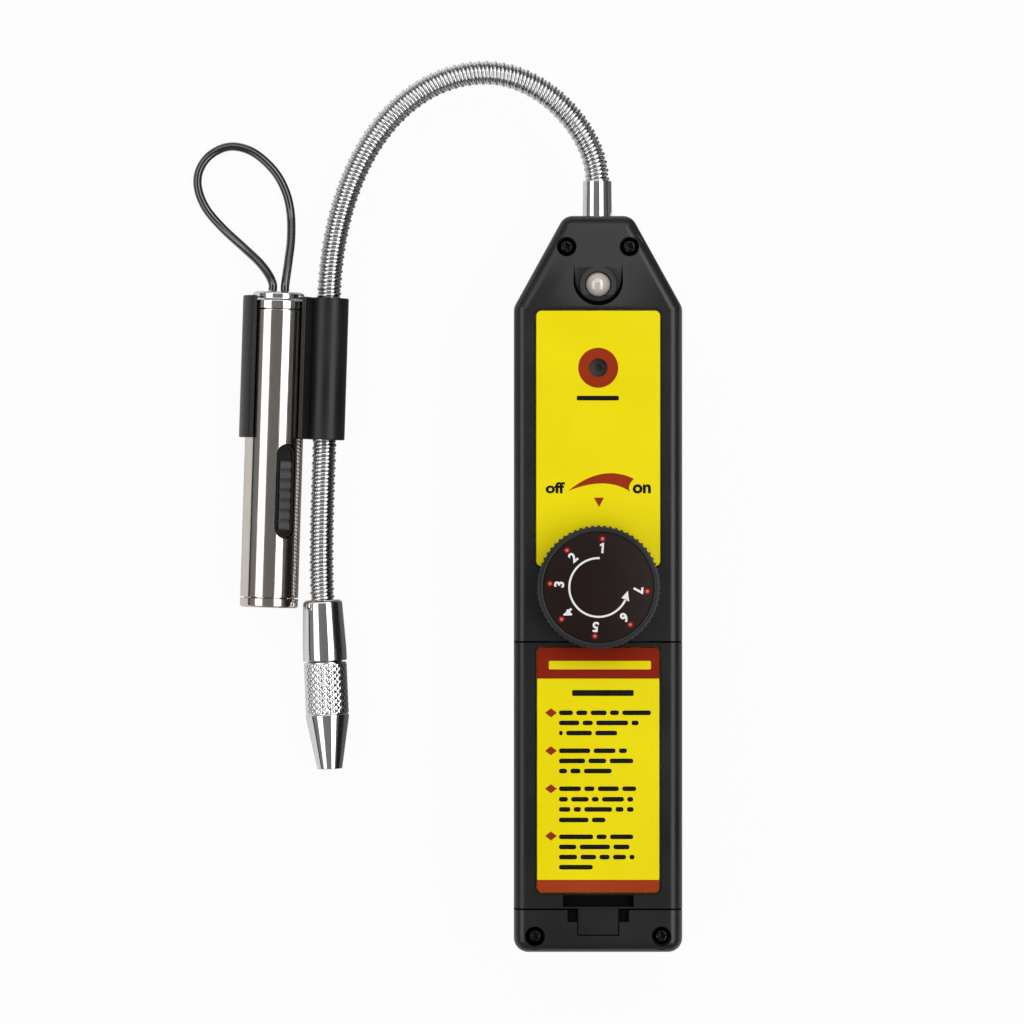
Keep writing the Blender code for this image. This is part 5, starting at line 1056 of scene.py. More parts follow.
def copies_tree():
    """Copies of a small piece on points, each turned about the upright by its point's turn."""
    tree, inside, outside = geometry_tree(
        "copies on points", [("Copy", "Object", None), ("Material", "Material", None)]
    )
    source = new_node(tree, "GeometryNodeObjectInfo", transform_space="ORIGINAL")
    join(tree, inside.outputs["Copy"], source.inputs["Object"])
    turn = new_node(tree, "GeometryNodeInputNamedAttribute", data_type="FLOAT")
    given(turn, {"Name": "turn"})
    upright = new_node(tree, "ShaderNodeCombineXYZ")
    join(tree, turn.outputs["Attribute"], upright.inputs["Z"])
    instances = new_node(tree, "GeometryNodeInstanceOnPoints")
    join(tree, inside.outputs["Geometry"], instances.inputs["Points"])
    join(tree, source.outputs["Geometry"], instances.inputs["Instance"])
    join(tree, upright.outputs["Vector"], instances.inputs["Rotation"])
    end_tree(tree, inside, outside, instances.outputs["Instances"])
    return tree


def knurl_tree():
    """A sleeve with a raised diamond knurl, wrapped from a grid one unit wide and one unit long."""
    tree, inside, outside = geometry_tree("diamond knurl", [
        ("Radius", "Float", 0.005),
        ("Length", "Float", 0.010),
        ("Depth", "Float", 0.0003),
        ("Columns", "Float", 24.0),
        ("Rows", "Float", 8.0),
        ("Faces Round", "Int", 240),
        ("Faces Along", "Int", 80),
        ("Material", "Material", None),
    ])
    given_in = inside.outputs
    grid = given(new_node(tree, "GeometryNodeMeshGrid"), {"Size X": 1.0, "Size Y": 1.0})
    join(tree, scalar(tree, "ADD", given_in["Faces Round"], 1.0), grid.inputs["Vertices X"])
    join(tree, scalar(tree, "ADD", given_in["Faces Along"], 1.0), grid.inputs["Vertices Y"])
    spot = parted(tree, new_node(tree, "GeometryNodeInputPosition").outputs["Position"])
    turn_share = scalar(tree, "ADD", spot["X"], 0.5)
    long_share = scalar(tree, "ADD", spot["Y"], 0.5)
    column = scalar(tree, "ADD", times(tree, turn_share, given_in["Columns"]), KNURL_SHIFT)
    row = times(tree, long_share, given_in["Rows"])
    flanks = []
    for operation in ("ADD", "SUBTRACT"):
        slant = scalar(tree, "FRACT", scalar(tree, operation, column, row))
        peak = scalar(tree, "ABSOLUTE", scalar(tree, "SUBTRACT", slant, 0.5))
        flanks.append(scalar(tree, "SUBTRACT", 1.0, times(tree, peak, 2.0)))
    diamond = scalar(tree, "MINIMUM", scalar(tree, "MINIMUM", *flanks), KNURL_FLAT)
    from_end = scalar(tree, "SUBTRACT", 0.5, scalar(tree, "ABSOLUTE", spot["Y"]))
    fade = scalar(tree, "MINIMUM", times(tree, from_end, KNURL_FADE), 1.0)
    radius = scalar(tree, "ADD", given_in["Radius"], times(tree, diamond, fade, given_in["Depth"]))
    angle = times(tree, turn_share, math.tau)
    wrapped_to = new_node(tree, "ShaderNodeCombineXYZ")
    join(tree, times(tree, radius, scalar(tree, "COSINE", angle)), wrapped_to.inputs["X"])
    join(tree, times(tree, radius, scalar(tree, "SINE", angle)), wrapped_to.inputs["Y"])
    join(tree, times(tree, long_share, given_in["Length"]), wrapped_to.inputs["Z"])
    wrapped = new_node(tree, "GeometryNodeSetPosition")
    join(tree, grid.outputs["Mesh"], wrapped.inputs["Geometry"])
    join(tree, wrapped_to.outputs["Vector"], wrapped.inputs["Position"])
    closed = given(new_node(tree, "GeometryNodeMergeByDistance"), {"Distance": KNURL_WELD})
    join(tree, wrapped.outputs["Geometry"], closed.inputs["Geometry"])
    end_tree(tree, inside, outside, closed.outputs["Geometry"])
    return tree


COPIES = copies_tree()


def copies(name, pattern, places, turns, material):
    """Copies of a pattern mesh, each on its place with its turn, as one plain mesh."""
    points = bpy.data.meshes.new(name)
    points.from_pydata(places, [], [])
    points.attributes.new("turn", "FLOAT", "POINT").data.foreach_set("value", turns)
    source = show(name + "_pattern", pattern)
    mesh = grown(name, points, COPIES, {"Copy": source, "Material": material})
    bpy.data.objects.remove(source, do_unlink=True)
    return mesh


# Casing: the same form as the solids, with finer fillets

def rounded(corners, radius, steps=8):
    """A convex outline, listed anticlockwise, with its corners turned into arcs."""
    points = []
    for behind, here, beyond in corners_of(corners):
        back = (behind - here).normalized()
        ahead = (beyond - here).normalized()
        half = back.angle(ahead) / 2
        centre = here + (back + ahead).normalized() * (radius / math.sin(half))
        start = here + back * (radius / math.tan(half)) - centre
        sweep = math.pi - 2 * half
        side = 1.0 if back.cross(ahead) < 0 else -1.0
        for step in range(steps + 1):
            spoke = start.copy()
            spoke.rotate(Matrix.Rotation(side * sweep * step / steps, 2))
            points.append(tuple(centre + spoke))
    return points


def inset(corners, distance):
    """A convex outline, listed anticlockwise, moved inwards."""
    moved = []
    for behind, here, beyond in corners_of(corners):
        back = (here - behind).normalized()
        ahead = (beyond - here).normalized()
        normal_back = Vector((-back.y, back.x))
        mitre = (normal_back + Vector((-ahead.y, ahead.x))).normalized()
        moved.append(tuple(here + mitre * (distance / mitre.dot(normal_back))))
    return moved


def front_height(y):
    """The height of the casing's front face, which falls away over the head."""
    return BODY_DEPTH - HEAD_DROP * max(0.0, y - SHOULDER_Y) / HEAD_LENGTH


def casing_block(name, wall, low, high, edge, edge_steps=7):
    """The casing's whole outside, or its inside at a wall's depth, with rounded long edges."""
    half, head_half = BODY_WIDTH / 2, HEAD_TOP_WIDTH / 2
    corners = [
        (-half, BODY_BOTTOM), (half, BODY_BOTTOM), (half, SHOULDER_Y),
        (head_half, BODY_TOP), (-head_half, BODY_TOP), (-half, SHOULDER_Y),
    ]
    outline = rounded(inset(corners, wall), CORNER_RADIUS + edge)
    mesh = plate(name, [outline], low, high, edge, edge_steps=edge_steps)
    with editing(mesh) as bm:
        bmesh.ops.bisect_plane(
            bm, geom=bm.verts[:] + bm.edges[:] + bm.faces[:],
            plane_co=(0.0, SHOULDER_Y, 0.0), plane_no=(0.0, 1.0, 0.0),
        )
        for vertex in bm.verts:
            if vertex.co.z > PARTING_HEIGHT:
                share = (vertex.co.z - PARTING_HEIGHT) / (BODY_DEPTH - PARTING_HEIGHT)
                vertex.co.z -= share * (BODY_DEPTH - front_height(vertex.co.y))
    return mesh


def shell_piece(name, mesh, material):
    """A finished piece whose broad flat faces stay flat in shade beside their fillets."""
    holder = show(mesh.name, rounded_shading(mesh))
    normals = holder.modifiers.new("flat faces kept flat", "WEIGHTED_NORMAL")
    normals.keep_sharp = True
    normals.weight = FLAT_WEIGHT
    return coated(name, evaluated_mesh(holder), material)


def recess_blackened(shell, low, high):
    """The faces of a narrow recess in a near-black that stands in for the little light reaching
    them: painted shade.
    """
    slots = shell.data.materials
    if RECESS_PAINTED_SHADE.name not in slots:
        slots.append(RECESS_PAINTED_SHADE)
    for face in shell.data.polygons:
        if all(a < spot < b for a, spot, b in zip(low, face.center, high)):
            face.material_index = len(slots) - 1


def casing_cavity(name):
    return casing_block(name, SIDE_WALL, BACK_WALL, FRONT_INSIDE, EDGE_RADIUS - SIDE_WALL, 3)


def casing_shell(name, steps, material):
    """A finished shell: the casing's whole form, carved by the steps in turn."""
    body = casing_block(name, 0.0, 0.0, BODY_DEPTH, EDGE_RADIUS)
    return shell_piece(name, carved(name, body, steps, EDGE_BREAK), material)


def neck_hole(name):
    radius = FERRULE_RADIUS + GAP
    return post(name, radius, -SIDE_WALL - OVERCUT, OVERCUT, place=NECK_PLACE)


def bay_walls(prefix, low, high):
    """The two cross walls that close the ends of the battery bay."""
    half = BODY_WIDTH / 2 - SIDE_WALL + ROOT_DEPTH
    walls = (("upper", DOOR_TOP_Y - RIB_WALL), ("lower", DOOR_BOTTOM_Y))
    return [
        (ADD, block(prefix + " " + end + " bay wall", (-half, y, low), (half, y + RIB_WALL, high)))
        for end, y in walls
    ]


def make_rear_shell():
    """The rear half: its bay walls, cell ribs, pillars and neck hole."""
    half = BODY_WIDTH / 2 + OVERCUT
    reach = BODY_LENGTH / 2 + OVERCUT
    above = block("above rear", (-half, -reach, REAR_TOP), (half, reach, BODY_DEPTH + OVERCUT))
    steps = [(CUT, casing_cavity("rear cavity")), (CUT, above)]
    steps += bay_walls("rear", BACK_WALL - ROOT_DEPTH, REAR_TOP - GAP)
    for side in (-1.0, 1.0):
        xs = sorted((side * CELL_RIB_X, side * (CELL_RIB_X + RIB_WALL)))
        steps.append((ADD, block(
            "cell rib", (xs[0], DOOR_BOTTOM_Y + CELL_RIB_INSET, BACK_WALL - ROOT_DEPTH),
            (xs[1], DOOR_TOP_Y - CELL_RIB_INSET, BACK_WALL + CELL_RIB_HEIGHT)
        )))
    for x, y in SCREW_PLACES:
        bore = SCREW_SHANK_RADIUS + GAP
        steps += [
            (ADD, post("rear pillar", SCREW_PILLAR_RADIUS, BACK_WALL / 2, REAR_TOP, x, y)),
            (CUT, post("pilot hole", bore, SCREW_PILOT_FLOOR, BODY_DEPTH, x, y, SMALL_TURN)),
        ]
    steps.append((CUT, neck_hole("rear neck hole")))
    shell = casing_shell("rear_shell", steps, CASING)
    dress(shell, "casing_plastic", "casing", "rear_casing")


def make_parting_lip():
    """The tongue inside the walls that closes the joint between the two casing halves."""
    low, high = PARTING_HEIGHT - 2 * GAP, PARTING_HEIGHT + 2 * GAP
    outer, inner = (SIDE_WALL * share for share in LIP_SHARES)
    lip = carved("parting_lip", casing_block("parting lip", outer, low, high, 0.0), [
        (CUT, casing_block("lip inside", inner, low - GAP, high + GAP, 0.0)),
        (CUT, neck_hole("lip neck hole")),
    ])
    dress(piece("parting_lip", lip, CASING), "casing_plastic", "casing")


def pocket_wall():
    """The round end of the lamp's pocket."""
    middle = LAMP_Y + LAMP_POCKET_SHIFT
    return arc(0.0, middle, LAMP_POCKET_RADIUS, math.pi, math.tau, ROUND_TURN // 2)


def lamp_pocket():
    """The horseshoe pocket round the lamp, with the lamp's collar left standing in it."""
    half = LAMP_POCKET_TOP_HALF_WIDTH
    outline = pocket_wall() + [(half, BODY_TOP), (-half, BODY_TOP)]
    pocket = plate("lamp pocket", [outline], LAMP_POCKET_FLOOR, BODY_DEPTH + OVERCUT)
    outer = LAMP_RADIUS + GAP + LAMP_COLLAR_WALL
    collar = post("lamp collar", outer, LAMP_POCKET_FLOOR - OVERCUT, LAMP_COLLAR_TOP, y=LAMP_Y)
    return carved("lamp pocket", pocket, [(CUT, collar)])


def lamp_groove():
    """The groove along the pocket's wall: widest under the lamp, run out to nothing at its tips."""
    middle = LAMP_Y + LAMP_POCKET_SHIFT
    share = LAMP_GROOVE_TIP / (BODY_TOP - middle)
    tip = LAMP_POCKET_RADIUS + (LAMP_POCKET_TOP_HALF_WIDTH - LAMP_POCKET_RADIUS) * share
    outer, inner = pocket_wall(), []
    for x, y in outer:
        depth = (middle - y) / LAMP_POCKET_RADIUS
        width = LAMP_GROOVE_WIDTH * (LAMP_GROOVE_END_SHARE + (1 - LAMP_GROOVE_END_SHARE) * depth)
        kept = 1 - width / LAMP_POCKET_RADIUS
        inner.append((x * kept, middle + (y - middle) * kept))
    outline = outer + [(tip, middle + LAMP_GROOVE_TIP)] + inner[::-1]
    outline.append((-tip, middle + LAMP_GROOVE_TIP))
    floor = LAMP_POCKET_FLOOR - LAMP_GROOVE_DEPTH
    return plate("lamp groove", [outline], floor, LAMP_POCKET_FLOOR + OVERCUT)


def label_bed(half_width, bottom, top):
    """The shallow bed of a label in the front face."""
    margin, floor = LABEL_MARGIN, BODY_DEPTH - LABEL_SHEET - LABEL_GAP
    corners = rectangle(-half_width - margin, bottom - margin, half_width + margin, top + margin)
    return plate("label bed", [rounded(corners, LABEL_CORNER)], floor, BODY_DEPTH + OVERCUT)


def make_front_shell():
    """The front half: its door opening, latch notches, pillars, lamp seat and holes."""
    half = BODY_WIDTH / 2 + OVERCUT
    reach = BODY_LENGTH / 2 + OVERCUT
    over = BODY_DEPTH + OVERCUT
    seam_top = PARTING_HEIGHT + GAP / 2
    wall_top = DOOR_SKIRT_BOTTOM - GAP
    seam_y = DOOR_BOTTOM_Y - SEAM
    latch_floor = BODY_DEPTH - LATCH_STEP - LATCH_SHEET - GAP
    tongue_half = LATCH_WIDTH / 2 + GAP
    notch_half = LATCH_NOTCH_WIDTH / 2 + GAP
    shelf_half = notch_half + RIB_WALL
    tongue_end = DOOR_BOTTOM_Y - LATCH_LENGTH - GAP
    notch_end = DOOR_BOTTOM_Y - LATCH_NOTCH_LENGTH
    room_end = DOOR_BOTTOM_Y + OVERCUT
    steps = [
        (CUT, casing_cavity("front cavity")),
        (CUT, block("below front", (-half, -reach, -OVERCUT), (half, reach, seam_top))),
        *bay_walls("front", seam_top + GAP, wall_top + ROOT_DEPTH),
        (CUT, block("door room", (-half, seam_y, wall_top), (half, DOOR_TOP_Y + SEAM, over))),
        (ADD, block(
            "latch shelf", (-shelf_half, BODY_BOTTOM + SIDE_WALL / 2, latch_floor - FRONT_WALL),
            (shelf_half, seam_y, FRONT_INSIDE + GAP)
        )),
        (CUT, block(
            "tongue room", (-tongue_half, tongue_end, latch_floor), (tongue_half, room_end, over)
        )),
        (CUT, block(
            "notch room", (-notch_half, notch_end, BODY_DEPTH - LATCH_NOTCH_DEPTH),
            (notch_half, room_end, over)
        )),
    ]
    bore = SCREW_SHANK_RADIUS + GAP
    for x, y in SCREW_PLACES:
        top = FRONT_INSIDE - BODY_DEPTH + front_height(y) + FRONT_WALL / 2
        seat = front_height(y) - SCREW_SINK - SCREW_HEAD_HEIGHT - GAP
        steps += [
            (ADD, post("front pillar", SCREW_BOSS_RADIUS, seam_top, top, x, y)),
            (CUT, post("shank hole", bore, seam_top - OVERCUT, over, x, y, SMALL_TURN)),
            (CUT, post("head hole", SCREW_HOLE_RADIUS, seat, over, x, y)),
        ]
    low, high = BOARD_TOP + GAP, FRONT_INSIDE + GAP
    for x, y in BOARD_POST_PLACES:
        steps.append((ADD, post("board post", BOARD_POST_RADIUS, low, high, x, y, SMALL_TURN)))
    low, high = LAMP_BOSS_BOTTOM, LAMP_POCKET_FLOOR - GAP
    seat = post("lamp seat", LAMP_BOSS_RADIUS, low, high, y=LAMP_Y)
    extent = casing_block(
        "lamp seat extent", SIDE_WALL / 2, BACK_WALL, BODY_DEPTH - FRONT_WALL / 2,
        EDGE_RADIUS / 2, 3
    )
    steps += [
        (ADD, carved("lamp seat", seat, [(KEEP, extent)])),
        (CUT, lamp_pocket()),
        (CUT, lamp_groove()),
    ]
    for radius, y in (
        (LAMP_RADIUS + GAP, LAMP_Y), (BUZZER_HOLE_RADIUS, BUZZER_Y), (DIAL_HOLE_RADIUS, DIAL_Y)
    ):
        steps.append((CUT, post("front hole", radius, low - OVERCUT, over, y=y)))
    steps += [
        (CUT, label_bed(LABEL_HALF_WIDTH, LABEL_BOTTOM, LABEL_TOP)),
        (CUT, neck_hole("front neck hole")),
    ]
    shell = casing_shell("front_shell", steps, CASING)
    reach = LAMP_POCKET_RADIUS + GAP
    # The lamp groove and the latch notches get painted shade: near-black faces in place of their
    # shade.
    recess_blackened(
        shell, (-reach, LAMP_Y - reach, LAMP_POCKET_FLOOR - LAMP_GROOVE_DEPTH - GAP / 2),
        (reach, LAMP_Y + reach, LAMP_POCKET_FLOOR - GAP / 3)
    )
    recess_blackened(
        shell, (-notch_half - GAP, notch_end - GAP, latch_floor),
        (notch_half + GAP, seam_y, BODY_DEPTH - GAP)
    )
    dress(shell, "casing_plastic", "casing", "front_casing")


def make_door_cover():
    """The battery door: its tabs, press ribs, latch tongue, finger slot and label bed."""
    half = BODY_WIDTH / 2 + OVERCUT
    inside = BODY_DEPTH - DOOR_WALL
    over = BODY_DEPTH + OVERCUT
    steps = [
        (KEEP, block(
            "door extent", (-half, DOOR_BOTTOM_Y, DOOR_SKIRT_BOTTOM), (half, DOOR_TOP_Y, over)
        )),
        (CUT, casing_block(
            "door hollow", DOOR_WALL, BACK_WALL, inside, EDGE_RADIUS - DOOR_WALL, 3
        )),
    ]
    tab_top = FRONT_INSIDE - GAP
    foot_y, foot_low = DOOR_TOP_Y - DOOR_TAB_FOOT, tab_top - DOOR_TAB_SHEET
    rib_low, rib_high = DOOR_BOTTOM_Y + DOOR_RIB_INSET, DOOR_TOP_Y - DOOR_RIB_INSET
    for side in (-1.0, 1.0):
        left, right = (side * DOOR_TAB_X + end * DOOR_TAB_WIDTH / 2 for end in (-1.0, 1.0))
        rib_left, rib_right = (
            side * CELL_SPACING / 2 + end * DOOR_RIB_HALF_WIDTH for end in (-1.0, 1.0)
        )
        steps += [
            (ADD, block(
                "tab foot", (left, foot_y, foot_low), (right, DOOR_TOP_Y - GAP, inside + GAP)
            )),
            (ADD, block(
                "tab", (left, foot_y, foot_low), (right, DOOR_TOP_Y + DOOR_TAB_REACH, tab_top)
            )),
            (ADD, block(
                "press rib", (rib_left, rib_low, CELL_TOP + GAP),
                (rib_right, rib_high, inside + GAP)
            )),
        ]
    tongue_half, tongue_top = LATCH_WIDTH / 2, BODY_DEPTH - LATCH_STEP
    width, length = FINGER_SLOT
    slot_floor = CELL_TOP + GAP + FINGER_SLOT_WALL
    slot_start, slot_end = DOOR_BOTTOM_Y + SEAM, DOOR_BOTTOM_Y + SEAM + length
    box_half = width / 2 + FINGER_SLOT_WALL
    steps += [
        (ADD, block(
            "latch tongue", (-tongue_half, DOOR_BOTTOM_Y - LATCH_LENGTH, tongue_top - LATCH_SHEET),
            (tongue_half, DOOR_BOTTOM_Y + SIDE_WALL, tongue_top)
        )),
        (ADD, block(
            "finger slot box", (-box_half, DOOR_BOTTOM_Y, slot_floor - FINGER_SLOT_WALL),
            (box_half, slot_end + FINGER_SLOT_WALL, BODY_DEPTH - DOOR_WALL / 2)
        )),
        (CUT, block(
            "finger slot", (-width / 2, slot_start, slot_floor), (width / 2, slot_end, over)
        )),
        (CUT, label_bed(DOOR_LABEL_HALF_WIDTH, DOOR_LABEL_BOTTOM, DOOR_LABEL_TOP)),
    ]
    cover = casing_shell("door_cover", steps, DOOR)
    # The finger slot gets painted shade: near-black faces in place of its shade.
    recess_blackened(
        cover, (-width / 2 - GAP, DOOR_BOTTOM_Y + SEAM / 2, slot_floor - GAP),
        (width / 2 + GAP, slot_end + GAP, BODY_DEPTH - GAP)
    )
    dress(cover, "door_plastic", "door", "battery_door")


def make_screws():
    """Four screws with round heads and a cross recess, sunk in their holes."""
    section = softened([
        (0.0, -SCREW_LENGTH),
        (SCREW_SHANK_RADIUS, -SCREW_LENGTH + SCREW_SHANK_RADIUS),
        (SCREW_SHANK_RADIUS, 0.0),
        (SCREW_HEAD_RADIUS, 0.0),
        (SCREW_HEAD_RADIUS, SCREW_HEAD_HEIGHT * SCREW_DOME_SHARE),
        (SCREW_HEAD_RADIUS * SCREW_DOME_SHARE, SCREW_HEAD_HEIGHT),
        (0.0, SCREW_HEAD_HEIGHT),
    ], SCREW_SOFTENING, closed=False)
    head = lathe("casing screw", section, SCREW_TURN, closed=False)
    reach, half = SCREW_CROSS_LENGTH / 2, SCREW_CROSS_WIDTH / 2
    low, high = SCREW_HEAD_HEIGHT - SCREW_CROSS_DEPTH, SCREW_HEAD_HEIGHT + OVERCUT
    steps = []
    for turn in (0.0, math.pi / 2):
        bar = block("cross bar", (-reach, -half, low), (reach, half, high))
        bar.transform(Matrix.Rotation(turn, 4, "Z"))
        steps.append((CUT, bar))
    pattern = rounded_shading(carved("casing screw", head, steps, SCREW_CROSS_EDGE))
    places = [(x, y, front_height(y) - SCREW_SINK - SCREW_HEAD_HEIGHT) for x, y in SCREW_PLACES]
    mesh = copies("casing_screws", pattern, places, SCREW_TURNS, SCREW_STEEL)
    dress(
        show("casing_screws", mesh), "screw_steel", "casing",
        "casing_screw_1", "casing_screw_2", "casing_screw_3", "casing_screw_4"
    )


# Labels and print

def inked(name, meshes, material, slot, body):
    dress(piece(name, together(name, meshes), material), slot, body)


def ink_field(name, outlines, base=BODY_DEPTH):
    """A printed field: it starts just inside the film and stands a hair above it."""
    return plate(name, outlines, base - LABEL_GAP, base + INK)


def plain_bar(spot, base=BODY_DEPTH):
    """A plain bar in a word's place, from its middle and its half length and height."""
    x, y, half, tall = spot
    outline = rounded(rectangle(x - half, y - tall, x + half, y + tall), BAR_CORNER, 3)
    return ink_field("plain bar", [outline], base)


def lettering(words, height, place, width=None, weight=TYPE_WEIGHT):
    """A generic sign in plain type, its middle at the place and its foot just inside the film."""
    curve = bpy.data.curves.new(words, "FONT")
    curve.body = words
    curve.resolution_u = TYPE_RESOLUTION
    curve.offset = weight
    curve.extrude = 0.5
    mesh = evaluated_mesh(show(words, curve))
    xs, ys, _zs = zip(*(vertex.co for vertex in mesh.vertices))
    size = height / (max(ys) - min(ys))
    size_x = size if width is None else width / (max(xs) - min(xs))
    middle = Matrix.Translation((-(max(xs) + min(xs)) / 2, -(max(ys) + min(ys)) / 2, 0.0))
    thickness = INK + LABEL_GAP
    shrink = Matrix.Diagonal((size_x, size, thickness, 1.0))
    rise = Matrix.Translation((0.0, 0.0, INK - thickness / 2))
    mesh.transform(place @ rise @ shrink @ middle)
    return welded(mesh, TYPE_WELD)


def band(points, width):
    """The outline of a stroke along a line of points."""
    left, right = [], []
    for before, here, after in zip(points[:1] + points, points, points[1:] + points[-1:]):
        way = (Vector(after) - Vector(before)).normalized()
        aside = Vector((-way.y, way.x)) * width / 2
        left.append(tuple(Vector(here) + aside))
        right.append(tuple(Vector(here) - aside))
    return left + right[::-1]


def film_edge(half_width, bottom, top):
    """A thin dark line round a label's own edge, painted as the shadow of the gap between the label
    and its bed.
    """
    outlines = []
    for margin in (LABEL_SHADOW_MARGIN, LABEL_SHADOW_MARGIN + LABEL_SHADOW_LINE):
        corners = rectangle(margin - half_width, bottom + margin, half_width - margin, top - margin)
        outlines.append(rounded(corners, LABEL_CORNER - margin))
    return ink_field("label line", outlines)


def film(name, half_width, bottom, top, holes=()):
    outline = rounded(rectangle(-half_width, bottom, half_width, top), LABEL_CORNER)
    mesh = plate(name, [outline, *holes], BODY_DEPTH - LABEL_SHEET, BODY_DEPTH, FILM_EDGE)
    return piece(name, mesh, LABEL_YELLOW)


def make_front_print():
    hole = circle(BUZZER_HOLE_RADIUS, ROUND_TURN, 0.0, BUZZER_Y)
    label = film("front_film", LABEL_HALF_WIDTH, LABEL_BOTTOM, LABEL_TOP, [hole])
    dress(label, "label_film", "casing", "front_label")
    ring = ink_field("buzzer ring", [
        circle(BUZZER_RING_RADIUS, FINE_TURN, 0.0, BUZZER_Y),
        circle(BUZZER_HOLE_RADIUS - RING_OVERLAP, ROUND_TURN, 0.0, BUZZER_Y),
    ])
    inked("buzzer_ring_print", [ring], INK_BROWN_RED, "label_film", "casing")

    # The swell between off and on: two arcs from one point, and a hollow blunt end
    top, under = (bow(*map(Vector, spots), SWELL_STEPS) for spots in (SWELL_TOP, SWELL_UNDER))
    blunt_top, blunt_under = Vector(top[-1]), Vector(under[-1])
    hollow = []
    for share in SWELL_HOLLOW_SHARES:
        dip = Vector((SWELL_HOLLOW * 4 * share * (1 - share), 0.0))
        hollow.append(tuple(blunt_under.lerp(blunt_top, share) - dip))
    swell = ink_field("sensitivity swell", [under + hollow + top[:0:-1]])
    x, y = POINTER_PLACE
    pointer = ink_field("dial pointer", [[
        (x - POINTER_HALF_WIDTH, y + POINTER_RISE), (x, y - POINTER_FALL),
        (x + POINTER_HALF_WIDTH, y + POINTER_RISE),
    ]])
    inked("sensitivity_print", [swell, pointer], INK_BROWN_RED, "label_film", "casing")
    signs = []
    for words, x, y, height, width in OFF_ON_SIGNS:
        place = Matrix.Translation((x, y, BODY_DEPTH))
        signs.append(lettering(words, height, place, width, SIGN_WEIGHT))
    # The black print here also carries the label edge's painted shadow.
    signs += [plain_bar(BUZZER_BAR), film_edge(LABEL_HALF_WIDTH, LABEL_BOTTOM, LABEL_TOP)]
    inked("front_sign_print", signs, INK_BLACK, "label_film", "casing")


def make_door_print():
    sides = (DOOR_LABEL_HALF_WIDTH, DOOR_LABEL_BOTTOM, DOOR_LABEL_TOP)
    dress(film("door_film", *sides), "label_film", "door", "door_label")
    half = DOOR_LABEL_HALF_WIDTH - FIELD_INSET
    low, high = DOOR_LABEL_BOTTOM + FIELD_INSET, DOOR_LABEL_TOP - FIELD_INSET
    corners = rounded(rectangle(-half, low, half, high), LABEL_CORNER)
    for name, material, kept, edge in (
        ("door_header_print", INK_HEADER, max, HEADER_BOTTOM),
        ("door_footer_print", INK_FOOTER, min, FOOTER_TOP),
    ):
        field = [(x, kept(y, edge)) for x, y in corners]
        field = [spot for index, spot in enumerate(field) if spot != field[index - 1]]
        inked(name, [ink_field("colour field", [field])], material, "label_film", "door")
    bar = plain_bar(HEADER_BAR, BODY_DEPTH + INK)
    inked("door_header_bar", [bar], LABEL_YELLOW, "label_film", "door")
    diamonds = []
    for y in DIAMOND_YS:
        diamonds.append(ink_field("diamond", [[
            (DIAMOND_X - DIAMOND_HALF_WIDTH, y), (DIAMOND_X, y - DIAMOND_HALF_HEIGHT),
            (DIAMOND_X + DIAMOND_HALF_WIDTH, y), (DIAMOND_X, y + DIAMOND_HALF_HEIGHT),
        ]]))
    inked("door_mark_print", diamonds, INK_BROWN_RED, "label_film", "door")
    rows = [plain_bar(TITLE_BAR)]
    for y, lengths in TEXT_ROWS:
        x = TEXT_LEFT
        for length in lengths:
            bar = rectangle(x, y - TEXT_HALF, x + length, y + TEXT_HALF)
            rows.append(ink_field("row bar", [rounded(bar, TEXT_HALF * TEXT_CORNER_SHARE, 2)]))
            x += length + TEXT_SPACE
    # The black print here also carries the label edge's painted shadow.
    rows.append(film_edge(*sides))
    inked("door_row_print", rows, INK_BLACK, "label_film", "door")


# Sensitivity dial

def make_dial():
    root = DIAL_RADIUS - DIAL_TOOTH_RADIUS
    seat = DIAL_FACE_BOTTOM - GAP
    section = [(0.0, seat)] + softened([
        (DIAL_RIM, seat),
        (DIAL_RIM, DIAL_TOP),
        (root, DIAL_TOP),
        (root, DIAL_BOTTOM),
        (DIAL_HOLLOW_RADIUS, DIAL_BOTTOM),
        (DIAL_HOLLOW_RADIUS, DIAL_CEILING),
        (DIAL_HUB_RADIUS, DIAL_CEILING),
        (DIAL_HUB_RADIUS, DIAL_BOTTOM + GAP),
        (DIAL_BORE, DIAL_BOTTOM + GAP),
        (DIAL_BORE, DIAL_CEILING),
    ], DIAL_SOFTENING, closed=False) + [(0.0, DIAL_CEILING)]
    place = Matrix.Translation((0.0, DIAL_Y, 0.0))
    body = lathe("dial body", section, 2 * DIAL_TEETH, place, closed=False)
    low, high = DIAL_BOTTOM + DIAL_TOOTH_START, DIAL_TOP - DIAL_TOOTH_DROP
    tooth_section = softened(
        [(0.0, low), (DIAL_TOOTH_RADIUS, low), (DIAL_TOOTH_RADIUS, high), (0.0, high)],
        DIAL_SOFTENING, 3, closed=False
    )
    tooth = lathe("dial tooth", tooth_section, TOOTH_TURN, closed=False)
    tooth.shade_smooth()
    turns = [math.tau * index / DIAL_TEETH for index in range(DIAL_TEETH)]
    places = [(*dial_spot(root, turn), 0.0) for turn in turns]
    teeth = copies("dial_teeth", tooth, places, turns, DIAL_BLACK)
    dress(piece("dial_teeth", teeth, DIAL_BLACK), "dial_plastic", "dial")
    dress(piece("dial_knob", body, DIAL_BLACK), "dial_plastic", "dial", "sensitivity_dial")
    low, high = DIAL_FACE_BOTTOM, DIAL_FACE_TOP
    face_section = softened(
        [(0.0, low), (DIAL_FACE_RADIUS, low), (DIAL_FACE_RADIUS, high), (0.0, high)],
        DIAL_FACE_SOFTENING, 2, closed=False
    )
    turned(
        "dial_face", face_section, place, DIAL_FACE, "dial_face", "dial", "dial_plate",
        closed=False
    )
    make_dial_print()


def dial_spot(radius, angle):
    return (radius * math.cos(angle), DIAL_Y + radius * math.sin(angle))


